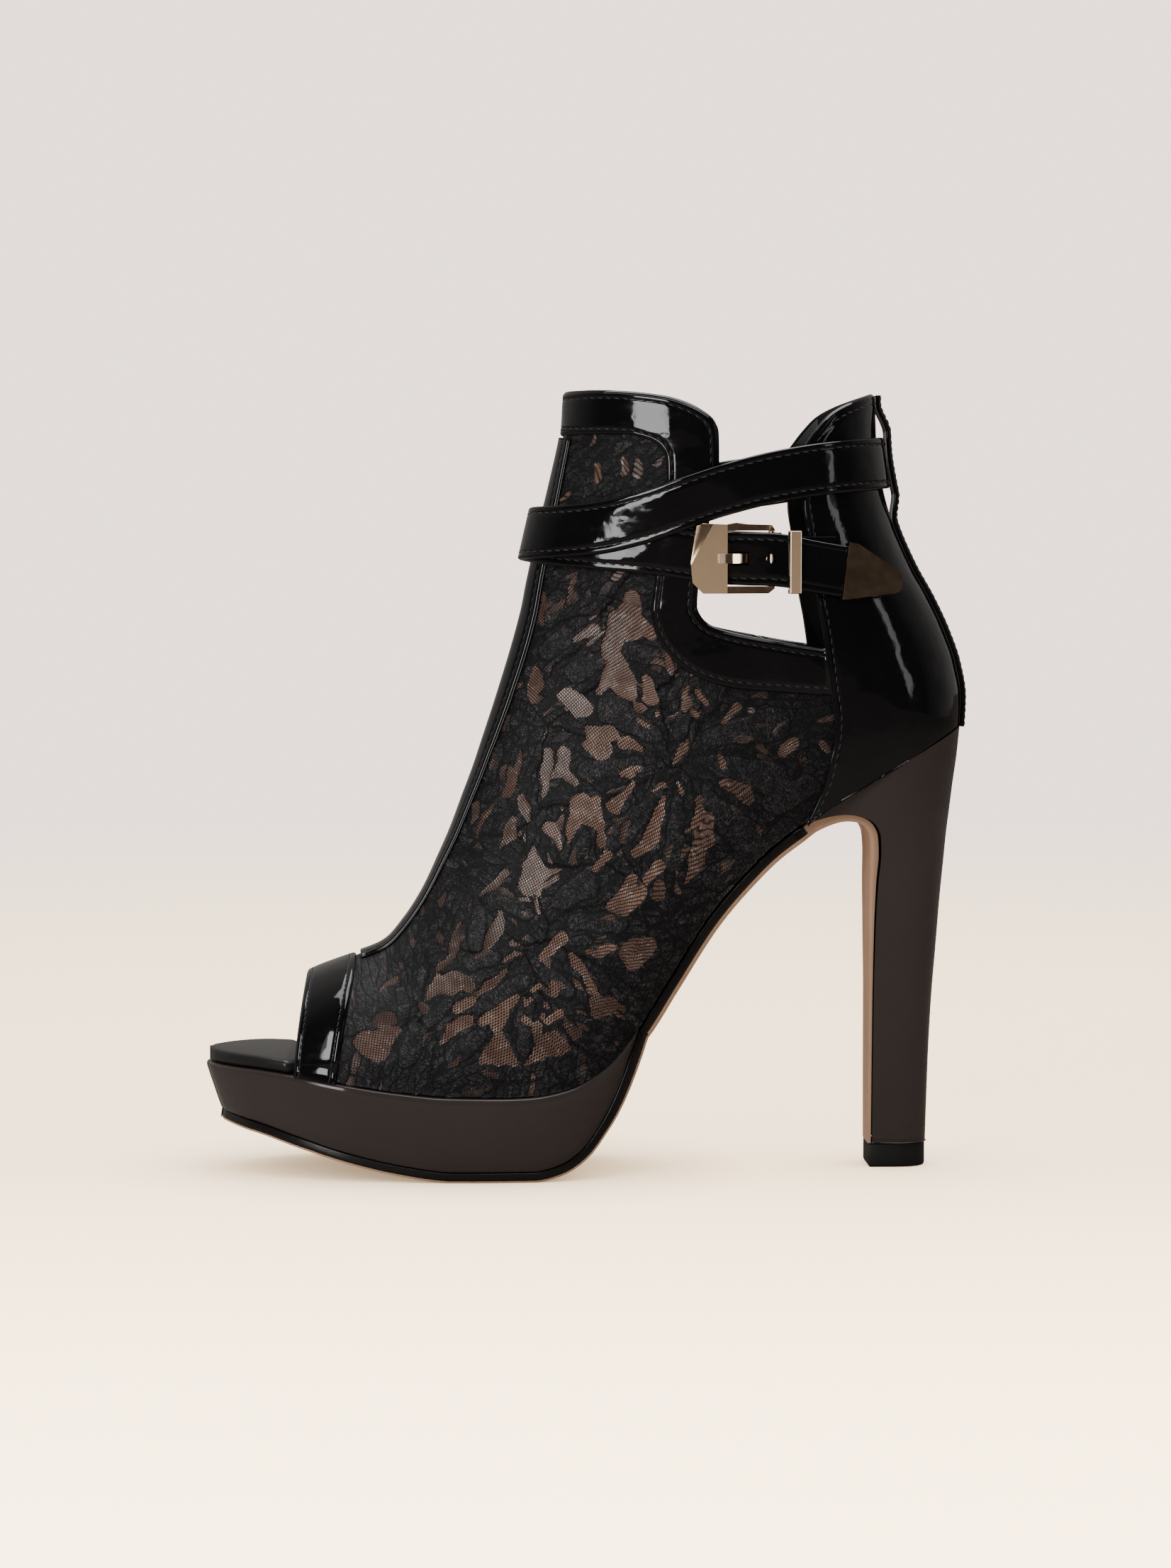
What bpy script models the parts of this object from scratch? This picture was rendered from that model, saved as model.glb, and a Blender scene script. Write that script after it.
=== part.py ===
"""Peep-toe platform ankle boot in lace, with patent trims and a crossed ankle strap: the left shoe.

The toe points to -X, the heel to +X, the outer side with the buckle to -Y, and up is +Z.
All lengths are in metres.  The upper and every overlay on it come from one surface, last_point,
whose rings fan out from the toe tip to the collar.  Side view outlines, drawn as (x, z) points,
then trim the shells that this surface gives.
"""
import math

import bpy
import bmesh
from mathutils import Vector
from mathutils.bvhtree import BVHTree

# Overall sizes
SHOE_LENGTH = 0.2440
COLLAR_HEIGHT = 0.2490
HEEL_HEIGHT = 0.1395
PLATFORM_HEIGHT = 0.0270
TOE_SPRING = 0.0076
BALL_WIDTH = 0.0760
ANKLE_WIDTH = 0.0620

# Clearance between pieces that meet
GAP = 0.0003

# Upper and overlays
UPPER_WALL = 0.0016
OVERLAY_THICKNESS = 0.0011
THROAT_STRIP_WIDTH = 0.0156
BACK_STRIP_WIDTH = 0.0100
BACK_STRIP_THICKNESS = 0.0016
LOOP_HEIGHT = 0.0215
LOOP_SLACK = 0.0011
LOOP_FOOT = 1.80
LOOP_FADE = 0.90

# Sole
PLATFORM_LEDGE = 0.0013
PLATFORM_TAPER = 0.0030
TOE_RAKE = 0.0020
TOE_RAKE_LENGTH = 0.0300
PLATFORM_EDGE = 0.0010
PLATFORM_FOOT = 0.04
PLATFORM_SHOULDER = 0.94
OUTSOLE_THICKNESS = 0.0030
WAIST_THICKNESS = 0.0042
WAIST_INSET = 0.0010
WAIST_BEVEL = 0.0016
SOLE_BEVEL = 0.0005
SOLE_EDGE_SHARE = 0.60
BREAST_HALF = 0.46
FLAP_THICKNESS = 0.0011
INSOLE_THICKNESS = 0.0040
INSOLE_TOE_INSET = 0.0012
INSOLE_STEP = 0.0020

# Heel
BREAST_SHARE = 0.37582
BREAST_PLACE = BREAST_SHARE * SHOE_LENGTH
LIP_LENGTH = 0.0257
HEEL_TIP_HEIGHT = 0.0075
HEEL_TIP_WIDTH = 0.0166
HEEL_TIP_LENGTH = 0.0182
HEEL_TIP_FRONT = 0.0008
HEEL_TIP_CHAMFER = 0.0004
HEEL_TIP_MIDDLE = 0.45
HEEL_REACH = 1.10
HEEL_SIDE_POWER = 0.86
HEEL_BACK_POWER = 0.90
HEEL_ROUND_STEPS = 12

# Strap and metal parts
STRAP_WIDTH = 0.0165
STRAP_THICKNESS = 0.0019
CHAPE_THICKNESS = 0.0011
CHAPE_WIDTH = 0.0135
CHAPE_LENGTH = 0.0205
ANKLE_SHARE = 0.1639
ANKLE_AXIS = ANKLE_SHARE * SHOE_LENGTH
TAIL_LENGTH = 0.0075
BUCKLE_SHARE = 0.1283
BUCKLE_PLACE = BUCKLE_SHARE * SHOE_LENGTH
BUCKLE_LEVEL = 0.7876
BUCKLE_MIDDLE = BUCKLE_LEVEL * COLLAR_HEIGHT
BUCKLE_LENGTH = 0.0267
BUCKLE_HEIGHT = 0.0224
BUCKLE_THICKNESS = 0.0020
BUCKLE_PLATE = 0.0115
BUCKLE_BAR = 0.0020
BUCKLE_SINK = 0.0043
PRONG_THICKNESS = 0.0015
PRONG_WIDTH = 0.0030
PRONG_OVERHANG = 0.0028
HOLE_DIAMETER = 0.0030
HOLE_PITCH = 0.0097
HOLE_STEP = 0.0040
SLOT_HALF = 0.0029
CUT_OUTWARD = 0.0120
CUT_INWARD = 0.0060
HOLE_SIDES = 12
KEEPER_SHARE = 0.2631
KEEPER_PLACE = KEEPER_SHARE * SHOE_LENGTH
KEEPER_MIDDLE = 0.7828
KEEPER_LENGTH = 0.0036
KEEPER_THICKNESS = 0.0010
TIP_LENGTH = 0.0190
TIP_WALL = 0.0006
TIP_POCKET = 0.0045

# Toe end of the sole, as a share of the length from the shoe's middle.
TOE_TIP = -0.4938
INSOLE_END = 0.4640
# Rear end of the platform, and where the outsole narrows and thickens into the waist.
PLATFORM_END = 0.0615
WAIST_START = 0.0100
WAIST_FADE = 0.0700
WAIST_ROWS = 9
PLATFORM_ROWS = 27
INSOLE_ROWS = 24
TIP_INSET = 0.0002
HEEL_TOP_START = 0.20
HEEL_CUT_START = 0.12
HEEL_TOP_END = 0.53

# Sections of the last, from the toe tip to above the collar.  Each ring lies in a plane across the
# shoe, from its throat point on top to its base point below or behind.
# throat_x, base_x: shares of the length from the shoe's middle.  throat_z, base_z: shares of the
# collar height.  widest: where the ring is widest, as a share of the way from base to throat.
# ball, ankle: half width as shares of ball width and ankle width.  axis, ridge: sideways place of
# the middle and of the throat, as shares of the ball width.  top, low, flat: roundness of the curve
# over the top, down the base, and of the base's end.
LAST = [
    # throat_x, throat_z, base_x, base_z, widest, ball, ankle, axis, ridge, top, low, flat
    (-0.4940, 0.162, -0.4940, 0.104, 0.55, 0.036, 0.000, 0.066, 0.066, 2.0, 3.0, 2.0),
    (-0.4890, 0.173, -0.4897, 0.080, 0.56, 0.102, 0.000, 0.066, 0.066, 2.0, 3.2, 2.0),
    (-0.4755, 0.186, -0.4775, 0.060, 0.57, 0.176, 0.000, 0.064, 0.066, 2.0, 3.6, 2.0),
    (-0.4500, 0.205, -0.4545, 0.044, 0.57, 0.262, 0.000, 0.058, 0.064, 2.1, 4.0, 2.0),
    (-0.4090, 0.229, -0.4150, 0.028, 0.57, 0.348, 0.000, 0.050, 0.058, 2.2, 4.0, 2.0),
    (-0.3635, 0.250, -0.3705, 0.016, 0.56, 0.411, 0.000, 0.036, 0.050, 2.2, 4.0, 2.0),
    (-0.3100, 0.270, -0.3110, 0.008, 0.53, 0.463, 0.000, 0.022, 0.042, 2.1, 4.0, 2.0),
    (-0.2630, 0.289, -0.2380, 0.000, 0.48, 0.487, 0.000, 0.012, 0.036, 1.9, 4.0, 2.0),
    (-0.2350, 0.319, -0.1840, -0.008, 0.42, 0.497, 0.000, 0.004, 0.032, 1.7, 4.0, 2.0),
    (-0.2090, 0.359, -0.1270, -0.008, 0.38, 0.497, 0.000, -0.004, 0.028, 1.55, 4.0, 2.0),
    (-0.1890, 0.401, -0.0615, 0.008, 0.33, 0.482, 0.000, -0.017, 0.024, 1.5, 3.8, 2.0),
    (-0.1725, 0.438, 0.0000, 0.040, 0.31, 0.458, 0.000, -0.030, 0.020, 1.45, 3.4, 2.0),
    (-0.1565, 0.480, 0.0575, 0.088, 0.33, 0.432, 0.000, -0.037, 0.016, 1.42, 2.9, 2.0),
    (-0.1420, 0.518, 0.1150, 0.153, 0.36, 0.412, 0.000, -0.037, 0.012, 1.4, 2.3, 2.0),
    (-0.1305, 0.552, 0.1800, 0.221, 0.38, 0.395, 0.000, -0.030, 0.010, 1.4, 1.8, 2.0),
    (-0.1150, 0.598, 0.2620, 0.289, 0.40, 0.190, 0.236, -0.022, 0.008, 1.4, 1.55, 2.0),
    (-0.1025, 0.637, 0.3440, 0.345, 0.42, 0.000, 0.470, -0.014, 0.006, 1.42, 1.5, 2.0),
    (-0.0920, 0.671, 0.4140, 0.410, 0.44, 0.000, 0.470, -0.006, 0.004, 1.44, 2.0, 2.1),
    (-0.0830, 0.703, 0.4570, 0.474, 0.45, 0.000, 0.474, 0.000, 0.002, 1.45, 3.1, 2.3),
    (-0.0775, 0.725, 0.4755, 0.526, 0.45, 0.000, 0.478, 0.000, 0.000, 1.46, 3.2, 2.3),
    (-0.0725, 0.751, 0.4870, 0.574, 0.45, 0.000, 0.482, 0.000, 0.000, 1.48, 3.0, 2.2),
    (-0.0668, 0.777, 0.4885, 0.610, 0.46, 0.000, 0.486, 0.000, 0.000, 1.5, 2.7, 2.1),
    (-0.0598, 0.807, 0.4820, 0.649, 0.47, 0.000, 0.490, 0.000, 0.000, 1.5, 2.4, 2.0),
    (-0.0529, 0.837, 0.4680, 0.689, 0.48, 0.000, 0.494, 0.000, 0.000, 1.5, 2.2, 2.0),
    (-0.0459, 0.865, 0.4480, 0.731, 0.49, 0.000, 0.496, 0.000, 0.000, 1.52, 2.1, 2.0),
    (-0.0389, 0.894, 0.4230, 0.775, 0.50, 0.000, 0.498, 0.000, 0.000, 1.54, 2.0, 2.0),
    (-0.0328, 0.920, 0.3990, 0.829, 0.50, 0.000, 0.500, 0.000, 0.000, 1.56, 2.0, 2.0),
    (-0.0279, 0.944, 0.3850, 0.878, 0.50, 0.000, 0.500, 0.000, 0.000, 1.58, 2.0, 2.0),
    (-0.0250, 0.968, 0.3770, 0.928, 0.50, 0.000, 0.500, 0.000, 0.000, 1.6, 2.0, 2.0),
    (-0.0242, 0.998, 0.3747, 0.984, 0.50, 0.000, 0.500, 0.000, 0.000, 1.6, 2.0, 2.0),
    (-0.0238, 1.032, 0.3740, 1.032, 0.50, 0.000, 0.500, 0.000, 0.000, 1.6, 2.0, 2.0),
]

# The foot bed seen from the side: place along the shoe as a share of the length, rise from ball to
# heel as a share, and toe spring as a share.
FOOT_BED = [
    # along, rise, spring
    (-0.502, 0.000, 1.00),
    (-0.440, 0.000, 0.97),
    (-0.377, 0.000, 0.80),
    (-0.328, 0.000, 0.57),
    (-0.250, 0.000, 0.22),
    (-0.180, 0.000, 0.03),
    (-0.110, 0.000, 0.00),
    (-0.075, 0.003, 0.00),
    (-0.030, 0.021, 0.00),
    (0.019, 0.076, 0.00),
    (0.054, 0.157, 0.00),
    (0.101, 0.316, 0.00),
    (0.159, 0.508, 0.00),
    (0.202, 0.617, 0.00),
    (0.236, 0.690, 0.00),
    (0.270, 0.746, 0.00),
    (0.318, 0.816, 0.00),
    (0.360, 0.868, 0.00),
    (0.423, 0.944, 0.00),
    (0.466, 0.996, 0.00),
    (0.520, 1.060, 0.00),
]

# Thickness of the platform block as a share of what lies between outsole and foot bed at the ball.
PLATFORM_BLOCK = [
    # along, block
    (-0.502, 0.640),
    (-0.430, 0.740),
    (-0.374, 0.836),
    (-0.303, 0.930),
    (-0.234, 0.985),
    (-0.172, 1.012),
    (-0.120, 1.016),
    (-0.070, 1.018),
    (-0.042, 0.998),
    (-0.010, 0.900),
    (0.009, 0.762),
    (0.031, 0.540),
    (0.048, 0.300),
    (0.062, 0.046),
]

# Front of the heel, under the lip and down the breast: place from the lip's start to the breast as
# a share of the lip, drop below the foot bed as a share of the heel height, half width of the
# outsole there as a share of the heel tip width, and outsole thickness as a share from flap to waist.
HEEL_FRONT = [
    # along, drop, half, thick
    (0.165, 0.0120, 1.22, 0.90),
    (0.390, 0.0280, 1.16, 0.60),
    (0.617, 0.0480, 1.08, 0.40),
    (0.823, 0.0750, 0.99, 0.35),
    (0.975, 0.1090, 0.92, 0.40),
    (1.045, 0.1450, 0.86, 0.45),
    (1.058, 0.1890, 0.81, 0.45),
    (1.033, 0.2520, 0.75, 0.30),
    (1.012, 0.3700, 0.67, 0.10),
    (1.004, 0.5200, 0.58, 0.00),
    (1.000, 0.7000, 0.51, 0.00),
]

# Level sections of the heel: height as a share of the heel height, back edge behind the breast as a
# share of the tip length, half width as a share of the tip width, and where it is widest.
HEEL_LEVELS = [
    # height, back, half, widest
    (0.000, 0.995, 0.500, 0.42),
    (0.137, 1.025, 0.520, 0.42),
    (0.262, 1.055, 0.575, 0.42),
    (0.390, 1.105, 0.650, 0.42),
    (0.516, 1.180, 0.760, 0.42),
    (0.620, 1.240, 0.880, 0.40),
    (0.705, 1.300, 1.030, 0.34),
    (0.770, 1.345, 1.210, 0.20),
    (0.820, 1.390, 1.390, 0.05),
    (0.890, 1.456, 1.520, -0.10),
    (0.960, 1.530, 1.580, -0.20),
    (1.060, 1.600, 1.600, -0.25),
]

# Edge of the insole from its bottom to its top: shares of its thickness and of its edge's roundness.
INSOLE_EDGE = [
    # up, inward
    (0.04, 0.50),
    (0.30, 0.06),
    (0.62, 0.00),
    (0.90, 0.35),
    (1.00, 1.00),
]

# Line of the collar and the cut-out, from the front over the top, down the shaft's rear edge and
# round to the rear quarter: shares of the length from the middle and of the collar height.
COLLAR_LINE = [
    # along, height
    (-0.0600, 0.9985),
    (0.0020, 0.9985),
    (0.0500, 0.9960),
    (0.0990, 0.9895),
    (0.1240, 0.9820),
    (0.1450, 0.9710),
    (0.1580, 0.9600),
    (0.1632, 0.9465),
    (0.1640, 0.9100),
    (0.1510, 0.8300),
    (0.1378, 0.7450),
    (0.1370, 0.7270),
    (0.1432, 0.7120),
    (0.1570, 0.7005),
    (0.1810, 0.6935),
    (0.2100, 0.6878),
    (0.2440, 0.6818),
    (0.2720, 0.6768),
]
QUARTER_FRONT = [
    # along, height
    (0.3040, 0.6720),
    (0.2995, 0.7060),
    (0.2925, 0.7410),
    (0.2820, 0.8165),
    (0.2765, 0.8550),
    (0.2770, 0.9235),
    (0.2865, 0.9370),
    (0.2975, 0.9515),
    (0.3145, 0.9695),
    (0.3335, 0.9805),
    (0.3520, 0.9880),
    (0.3720, 0.9950),
    (0.4000, 0.9985),
]
# Lower edge of the collar band, and the seam of the quarter below the cut-out.
BAND_EDGE = [
    # along, height
    (-0.0600, 0.9430),
    (0.0172, 0.9445),
    (0.0490, 0.9440),
    (0.0660, 0.9405),
    (0.0824, 0.9345),
    (0.0940, 0.9240),
    (0.0995, 0.9095),
    (0.1000, 0.8900),
    (0.0930, 0.8250),
    (0.0852, 0.7590),
    (0.0812, 0.7180),
    (0.0844, 0.6980),
    (0.0985, 0.6715),
    (0.1217, 0.6480),
    (0.1516, 0.6325),
    (0.1914, 0.6230),
    (0.2442, 0.6190),
    (0.3125, 0.6145),
]
QUARTER_SEAM = [
    # along, height
    (0.3125, 0.6145),
    (0.3175, 0.5800),
    (0.3170, 0.5560),
    (0.3120, 0.5300),
    (0.3040, 0.4980),
    (0.2920, 0.4700),
    (0.2800, 0.4450),
]
# Front and rear edge of the toe band.
TOE_FRONT = [
    # along, height
    (-0.3550, 0.3000),
    (-0.3610, 0.2700),
    (-0.3650, 0.2510),
    (-0.3725, 0.2050),
    (-0.3770, 0.1700),
    (-0.3810, 0.1300),
    (-0.3830, 0.1000),
]
TOE_REAR = [
    # along, height
    (-0.2990, 0.3000),
    (-0.3040, 0.2550),
    (-0.3110, 0.2210),
    (-0.3195, 0.1750),
    (-0.3265, 0.1280),
    (-0.3300, 0.1000),
]
# Depth of the throat strip behind the throat, as a share of its width, is enough to hold its edge.
THROAT_DEPTH_SHARE = 0.62

# Route of the ankle strap's middle, from the tail on the outer side round the front, the inner side,
# the back, the outer side again and the front to its end on the inner side.  Azimuth is in degrees
# about the ankle axis, 0 at the front, 90 on the outer side.  height: share of the collar height.
# lift: share of a strap's thickness that it stands off the surface.
STRAP_ROUTE = [
    # azimuth, height, lift
    (142.0, 0.7715, 0.84),
    (134.0, 0.7775, 0.84),
    (126.0, 0.7835, 0.86),
    (117.0, 0.7865, 0.94),
    (108.0, 0.7875, 0.62),
    (98.0, 0.7885, 0.12),
    (92.0, 0.7890, 0.00),
    (76.0, 0.7935, 0.00),
    (53.0, 0.8000, 0.00),
    (21.0, 0.8080, 0.00),
    (0.0, 0.8150, 0.00),
    (-21.0, 0.8290, 0.00),
    (-53.0, 0.8530, 0.00),
    (-76.0, 0.8700, 0.00),
    (-100.0, 0.8800, 0.00),
    (-125.0, 0.8880, 0.00),
    (-155.0, 0.9020, 0.00),
    (-180.0, 0.9080, 0.00),
    (-205.0, 0.9040, 0.00),
    (-235.0, 0.8920, 0.00),
    (-270.0, 0.8710, 0.10),
    (-290.0, 0.8560, 1.00),
    (-315.0, 0.8370, 1.15),
    (-335.0, 0.8240, 1.15),
    (-360.0, 0.8140, 1.15),
    (-385.0, 0.8060, 1.15),
    (-405.0, 0.8030, 1.15),
    (-430.0, 0.7980, 1.00),
    (-450.0, 0.7930, 0.10),
    (-470.0, 0.7890, 0.00),
    (-492.0, 0.7860, 0.00),
]
LOOP_AZIMUTH = -180.0
STRAP_STEP = 7.0
FRONT_STEP = 3.5
FRONT_REACH = 21.0

# Outline of the strap's metal tip: along it as a share of its length, across as a share of the strap.
TIP_OUTLINE = [
    # along, across
    (0.00, -0.56),
    (0.00, 0.56),
    (0.17, 0.55),
    (0.93, 0.15),
    (0.99, 0.08),
    (1.00, 0.00),
    (1.00, -0.12),
    (0.97, -0.22),
    (0.89, -0.27),
]
# Outline of the buckle's plate and arms on its outer edge: along from the plate's end as a share of
# the buckle's length, across as a share of its height.
BUCKLE_OUTLINE = [
    # along, across
    (0.000, -0.06),
    (0.067, 0.455),
    (0.140, 0.490),
    (0.420, 0.475),
    (0.540, 0.500),
    (0.660, 0.480),
    (0.965, 0.470),
    (1.000, 0.400),
    (1.000, -0.420),
    (0.925, -0.490),
    (0.150, -0.490),
    (0.022, -0.340),
]

# Turns of a ring where its points lie: close together near the throat, evenly spread round the base.
TOP_STEPS = 9
LOW_STEPS = 6
FINE_STEPS = 24

# Rows of the sole pieces round the toe tip, how far those reach, and the height over the foot bed at
# which the last's outline is taken.
TIP_ROWS = 7
RAY_START = 0.20
TIP_REACH = 0.0120
SEAM_LEVEL = 0.0010

MATERIALS = {
    "lace_fabric": ((0.020, 0.017, 0.016), 0.75, 0.0),
    "black_patent": ((0.006, 0.006, 0.007), 0.12, 0.0),
    "padded_lining": ((0.012, 0.012, 0.012), 0.45, 0.0),
    "platform_wrap": ((0.010, 0.009, 0.009), 0.25, 0.0),
    "tan_sole": ((0.480, 0.300, 0.170), 0.55, 0.0),
    "heel_rubber": ((0.015, 0.015, 0.015), 0.50, 0.0),
    "rose_gold": ((0.830, 0.560, 0.400), 0.22, 1.0),
}


def clear_scene():
    """Remove what the file opens with."""
    for item in list(bpy.data.objects):
        bpy.data.objects.remove(item, do_unlink=True)


def make_material(name):
    """Principled material from its row in MATERIALS."""
    colour, roughness, metallic = MATERIALS[name]
    material = bpy.data.materials.new(name)
    material.use_nodes = True
    shader = material.node_tree.nodes["Principled BSDF"]
    shader.inputs["Base Color"].default_value = (*colour, 1.0)
    shader.inputs["Roughness"].default_value = roughness
    shader.inputs["Metallic"].default_value = metallic
    material.diffuse_color = (*colour, 1.0)
    return material


def curve_value(places, values, place):
    """Smooth curve through values, without overshoot: cubic pieces with limited slopes."""
    last = len(places) - 1
    if place <= places[0]:
        return values[0]
    if place >= places[last]:
        return values[last]
    index = 0
    while places[index + 1] < place:
        index += 1

    def secant(step):
        return (values[step + 1] - values[step]) / (places[step + 1] - places[step])

    def slope(knot):
        if knot == 0:
            return secant(0)
        if knot == last:
            return secant(last - 1)
        before = secant(knot - 1)
        after = secant(knot)
        if before * after <= 0.0:
            return 0.0
        return 2.0 * before * after / (before + after)

    span = places[index + 1] - places[index]
    t = (place - places[index]) / span
    rest = 1.0 - t
    start = values[index] * (1.0 + 2.0 * t) * rest * rest + slope(index) * span * t * rest * rest
    end = values[index + 1] * (3.0 - 2.0 * t) * t * t - slope(index + 1) * span * t * t * rest
    return start + end


def column(rows, number):
    """One named column of a table."""
    return [row[number] for row in rows]


def table_value(rows, number, place):
    """Value of a column at a place, where the first column holds the places in order."""
    return curve_value(column(rows, 0), column(rows, number), place)


def foot_bed(x):
    """Height of the foot bed, which is the seam between upper and sole, at x."""
    along = x / SHOE_LENGTH
    rise = table_value(FOOT_BED, 1, along) * (HEEL_HEIGHT - PLATFORM_HEIGHT)
    return PLATFORM_HEIGHT + rise + table_value(FOOT_BED, 2, along) * TOE_SPRING


def platform_bottom(x):
    """Height of the top of the outsole at x: flat under the ball, then up along the arch."""
    block = table_value(PLATFORM_BLOCK, 1, x / SHOE_LENGTH) * (PLATFORM_HEIGHT - OUTSOLE_THICKNESS)
    return max(OUTSOLE_THICKNESS, foot_bed(x) - block)


def last_section(station):
    """All columns of the last at a station, which may lie between two rows."""
    knots = list(range(len(LAST)))
    return [curve_value(knots, column(LAST, number), station) for number in range(len(LAST[0]))]


def ring_point(station, turn):
    """Point of the last.  Turn 0 is the throat, 1 the base by the outer side, 2 the throat again."""
    (throat_x, throat_z, base_x, base_z, widest, ball, ankle,
     axis, ridge, top, low, flat) = last_section(station)
    throat = Vector((throat_x * SHOE_LENGTH, 0.0, throat_z * COLLAR_HEIGHT))
    base = Vector((base_x * SHOE_LENGTH, 0.0, base_z * COLLAR_HEIGHT))
    half = ball * BALL_WIDTH + ankle * ANKLE_WIDTH
    side = -1.0 if turn <= 1.0 else 1.0
    way = turn if turn <= 1.0 else 2.0 - turn
    middle = axis * BALL_WIDTH
    if way <= 0.5:
        angle = math.pi / 2.0 * (1.0 - way / 0.5)
        rise = max(math.sin(angle), 0.0) ** (2.0 / top)
        wide = max(math.cos(angle), 0.0)
        share = widest + (1.0 - widest) * rise
        middle += (ridge - axis) * BALL_WIDTH * rise
    else:
        angle = math.pi / 2.0 * (way - 0.5) / 0.5
        rise = max(math.sin(angle), 0.0) ** (2.0 / low)
        wide = max(math.cos(angle), 0.0) ** (2.0 / flat)
        share = widest * (1.0 - rise)
    point = base.lerp(throat, share)
    point.y = middle + side * half * wide
    return point


def last_point(station, turn, offset=0.0):
    """Point of the last moved outwards by an offset along the surface's normal."""
    point = ring_point(station, turn)
    if offset == 0.0:
        return point
    step = 0.02
    top_station = len(LAST) - 1
    along = (ring_point(min(station + step, top_station), turn)
             - ring_point(max(station - step, 0.0), turn))
    around = ring_point(station, (turn + step) % 2.0) - ring_point(station, (turn - step) % 2.0)
    normal = along.cross(around)
    if normal.length == 0.0:
        return point
    return point + normal.normalized() * -offset


def ring_turns(top_steps, low_steps):
    """Turns of a ring's points, outer side first, then back up the inner side."""
    outer = [0.5 * (step / top_steps) ** 1.6 for step in range(top_steps)]
    outer += [0.5 + 0.5 * step / low_steps for step in range(low_steps)]
    inner = [2.0 - turn for turn in reversed(outer) if turn > 0.0]
    return outer + [1.0] + inner


def ring_stations():
    """Stations of the shell's rings: the table's rows, and one between where they lie far apart."""
    stations = []
    for index in range(len(LAST)):
        stations.append(float(index))
    return stations


def mesh_object(name, points, faces, material=None):
    """Closed mesh object with its faces pointing out."""
    mesh = bpy.data.meshes.new(name)
    mesh.from_pydata([tuple(point) for point in points], [], faces)
    shape = bmesh.new()
    shape.from_mesh(mesh)
    bmesh.ops.recalc_face_normals(shape, faces=shape.faces)
    shape.to_mesh(mesh)
    shape.free()
    item = bpy.data.objects.new(name, mesh)
    bpy.context.scene.collection.objects.link(item)
    if material is not None:
        mesh.materials.append(material)
    return item


def loft(name, rings, material=None):
    """Solid through rings of equal point counts, closed by a flat face at each end."""
    count = len(rings[0])
    points = [point for ring in rings for point in ring]
    faces = []
    for index in range(len(rings) - 1):
        for step in range(count):
            after = (step + 1) % count
            faces.append((index * count + step, index * count + after,
                          (index + 1) * count + after, (index + 1) * count + step))
    faces.append(tuple(range(count)))
    start = (len(rings) - 1) * count
    faces.append(tuple(start + step for step in reversed(range(count))))
    return mesh_object(name, points, faces, material)


def last_solid(name, offset):
    """Whole last as one closed solid, at an offset from its surface."""
    turns = ring_turns(TOP_STEPS, LOW_STEPS)
    rings = [[last_point(station, turn, offset) for turn in turns] for station in ring_stations()]
    return loft(name, rings)


def side_prism(name, outline, low_y=-0.09, high_y=0.09):
    """Solid that a side view outline of (x, z) points sweeps across the shoe."""
    count = len(outline)
    points = [(x, low_y, z) for x, z in outline] + [(x, high_y, z) for x, z in outline]
    faces = [tuple(range(count)), tuple(count + step for step in reversed(range(count)))]
    for step in range(count):
        after = (step + 1) % count
        faces.append((step, after, count + after, count + step))
    return mesh_object(name, points, faces)


def combine(item, tool, operation):
    """Apply an exact Boolean of a tool to an object, and remove the tool."""
    modifier = item.modifiers.new(operation.title(), "BOOLEAN")
    modifier.operation = operation
    modifier.solver = "EXACT"
    modifier.object = tool
    graph = bpy.context.evaluated_depsgraph_get()
    mesh = bpy.data.meshes.new_from_object(item.evaluated_get(graph))
    item.modifiers.clear()
    spent = item.data
    item.data = mesh
    bpy.data.meshes.remove(spent)
    bpy.data.objects.remove(tool, do_unlink=True)
    return item


def finish(item, material, sharp_angle=35.0):
    """Give a piece its material, weld its loose points and shade it smooth between sharp edges."""
    mesh = item.data
    shape = bmesh.new()
    shape.from_mesh(mesh)
    bmesh.ops.remove_doubles(shape, verts=shape.verts, dist=0.000002)
    bmesh.ops.dissolve_degenerate(shape, edges=shape.edges, dist=0.000002)
    shape.to_mesh(mesh)
    shape.free()
    mesh.materials.clear()
    mesh.materials.append(material)
    mesh.shade_smooth()
    mesh.set_sharp_from_angle(angle=math.radians(sharp_angle))
    return item


def to_outline(rows):
    """Side view points in metres from a table of shares."""
    return [(along * SHOE_LENGTH, height * COLLAR_HEIGHT) for along, height in rows]


def smooth_outline(rows, pieces=3):
    """Side view points along a smooth curve through a table's rows."""
    points = [Vector((x, z)) for x, z in to_outline(rows)]
    knots = [0.0]
    for before, after in zip(points, points[1:]):
        knots.append(knots[-1] + (after - before).length)
    xs = [point.x for point in points]
    zs = [point.y for point in points]
    line = []
    for index in range(len(points) - 1):
        for piece in range(pieces):
            place = knots[index] + (knots[index + 1] - knots[index]) * piece / pieces
            line.append((curve_value(knots, xs, place), curve_value(knots, zs, place)))
    line.append((xs[-1], zs[-1]))
    return line


def foot_bed_line(start_x, end_x, count, lift):
    """Points along the foot bed, lifted by a clearance."""
    line = []
    for step in range(count + 1):
        x = start_x + (end_x - start_x) * step / count
        line.append((x, foot_bed(x) + lift))
    return line


FAR = 0.16
HIGH = COLLAR_HEIGHT * 1.2
DEEP = -0.03


def below_foot_bed():
    """Everything under the seam between upper and sole."""
    line = foot_bed_line(-SHOE_LENGTH * 0.53, SHOE_LENGTH * 0.53, 44, GAP)
    return side_prism("below", line + [(FAR, DEEP), (-FAR, DEEP)])


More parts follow.
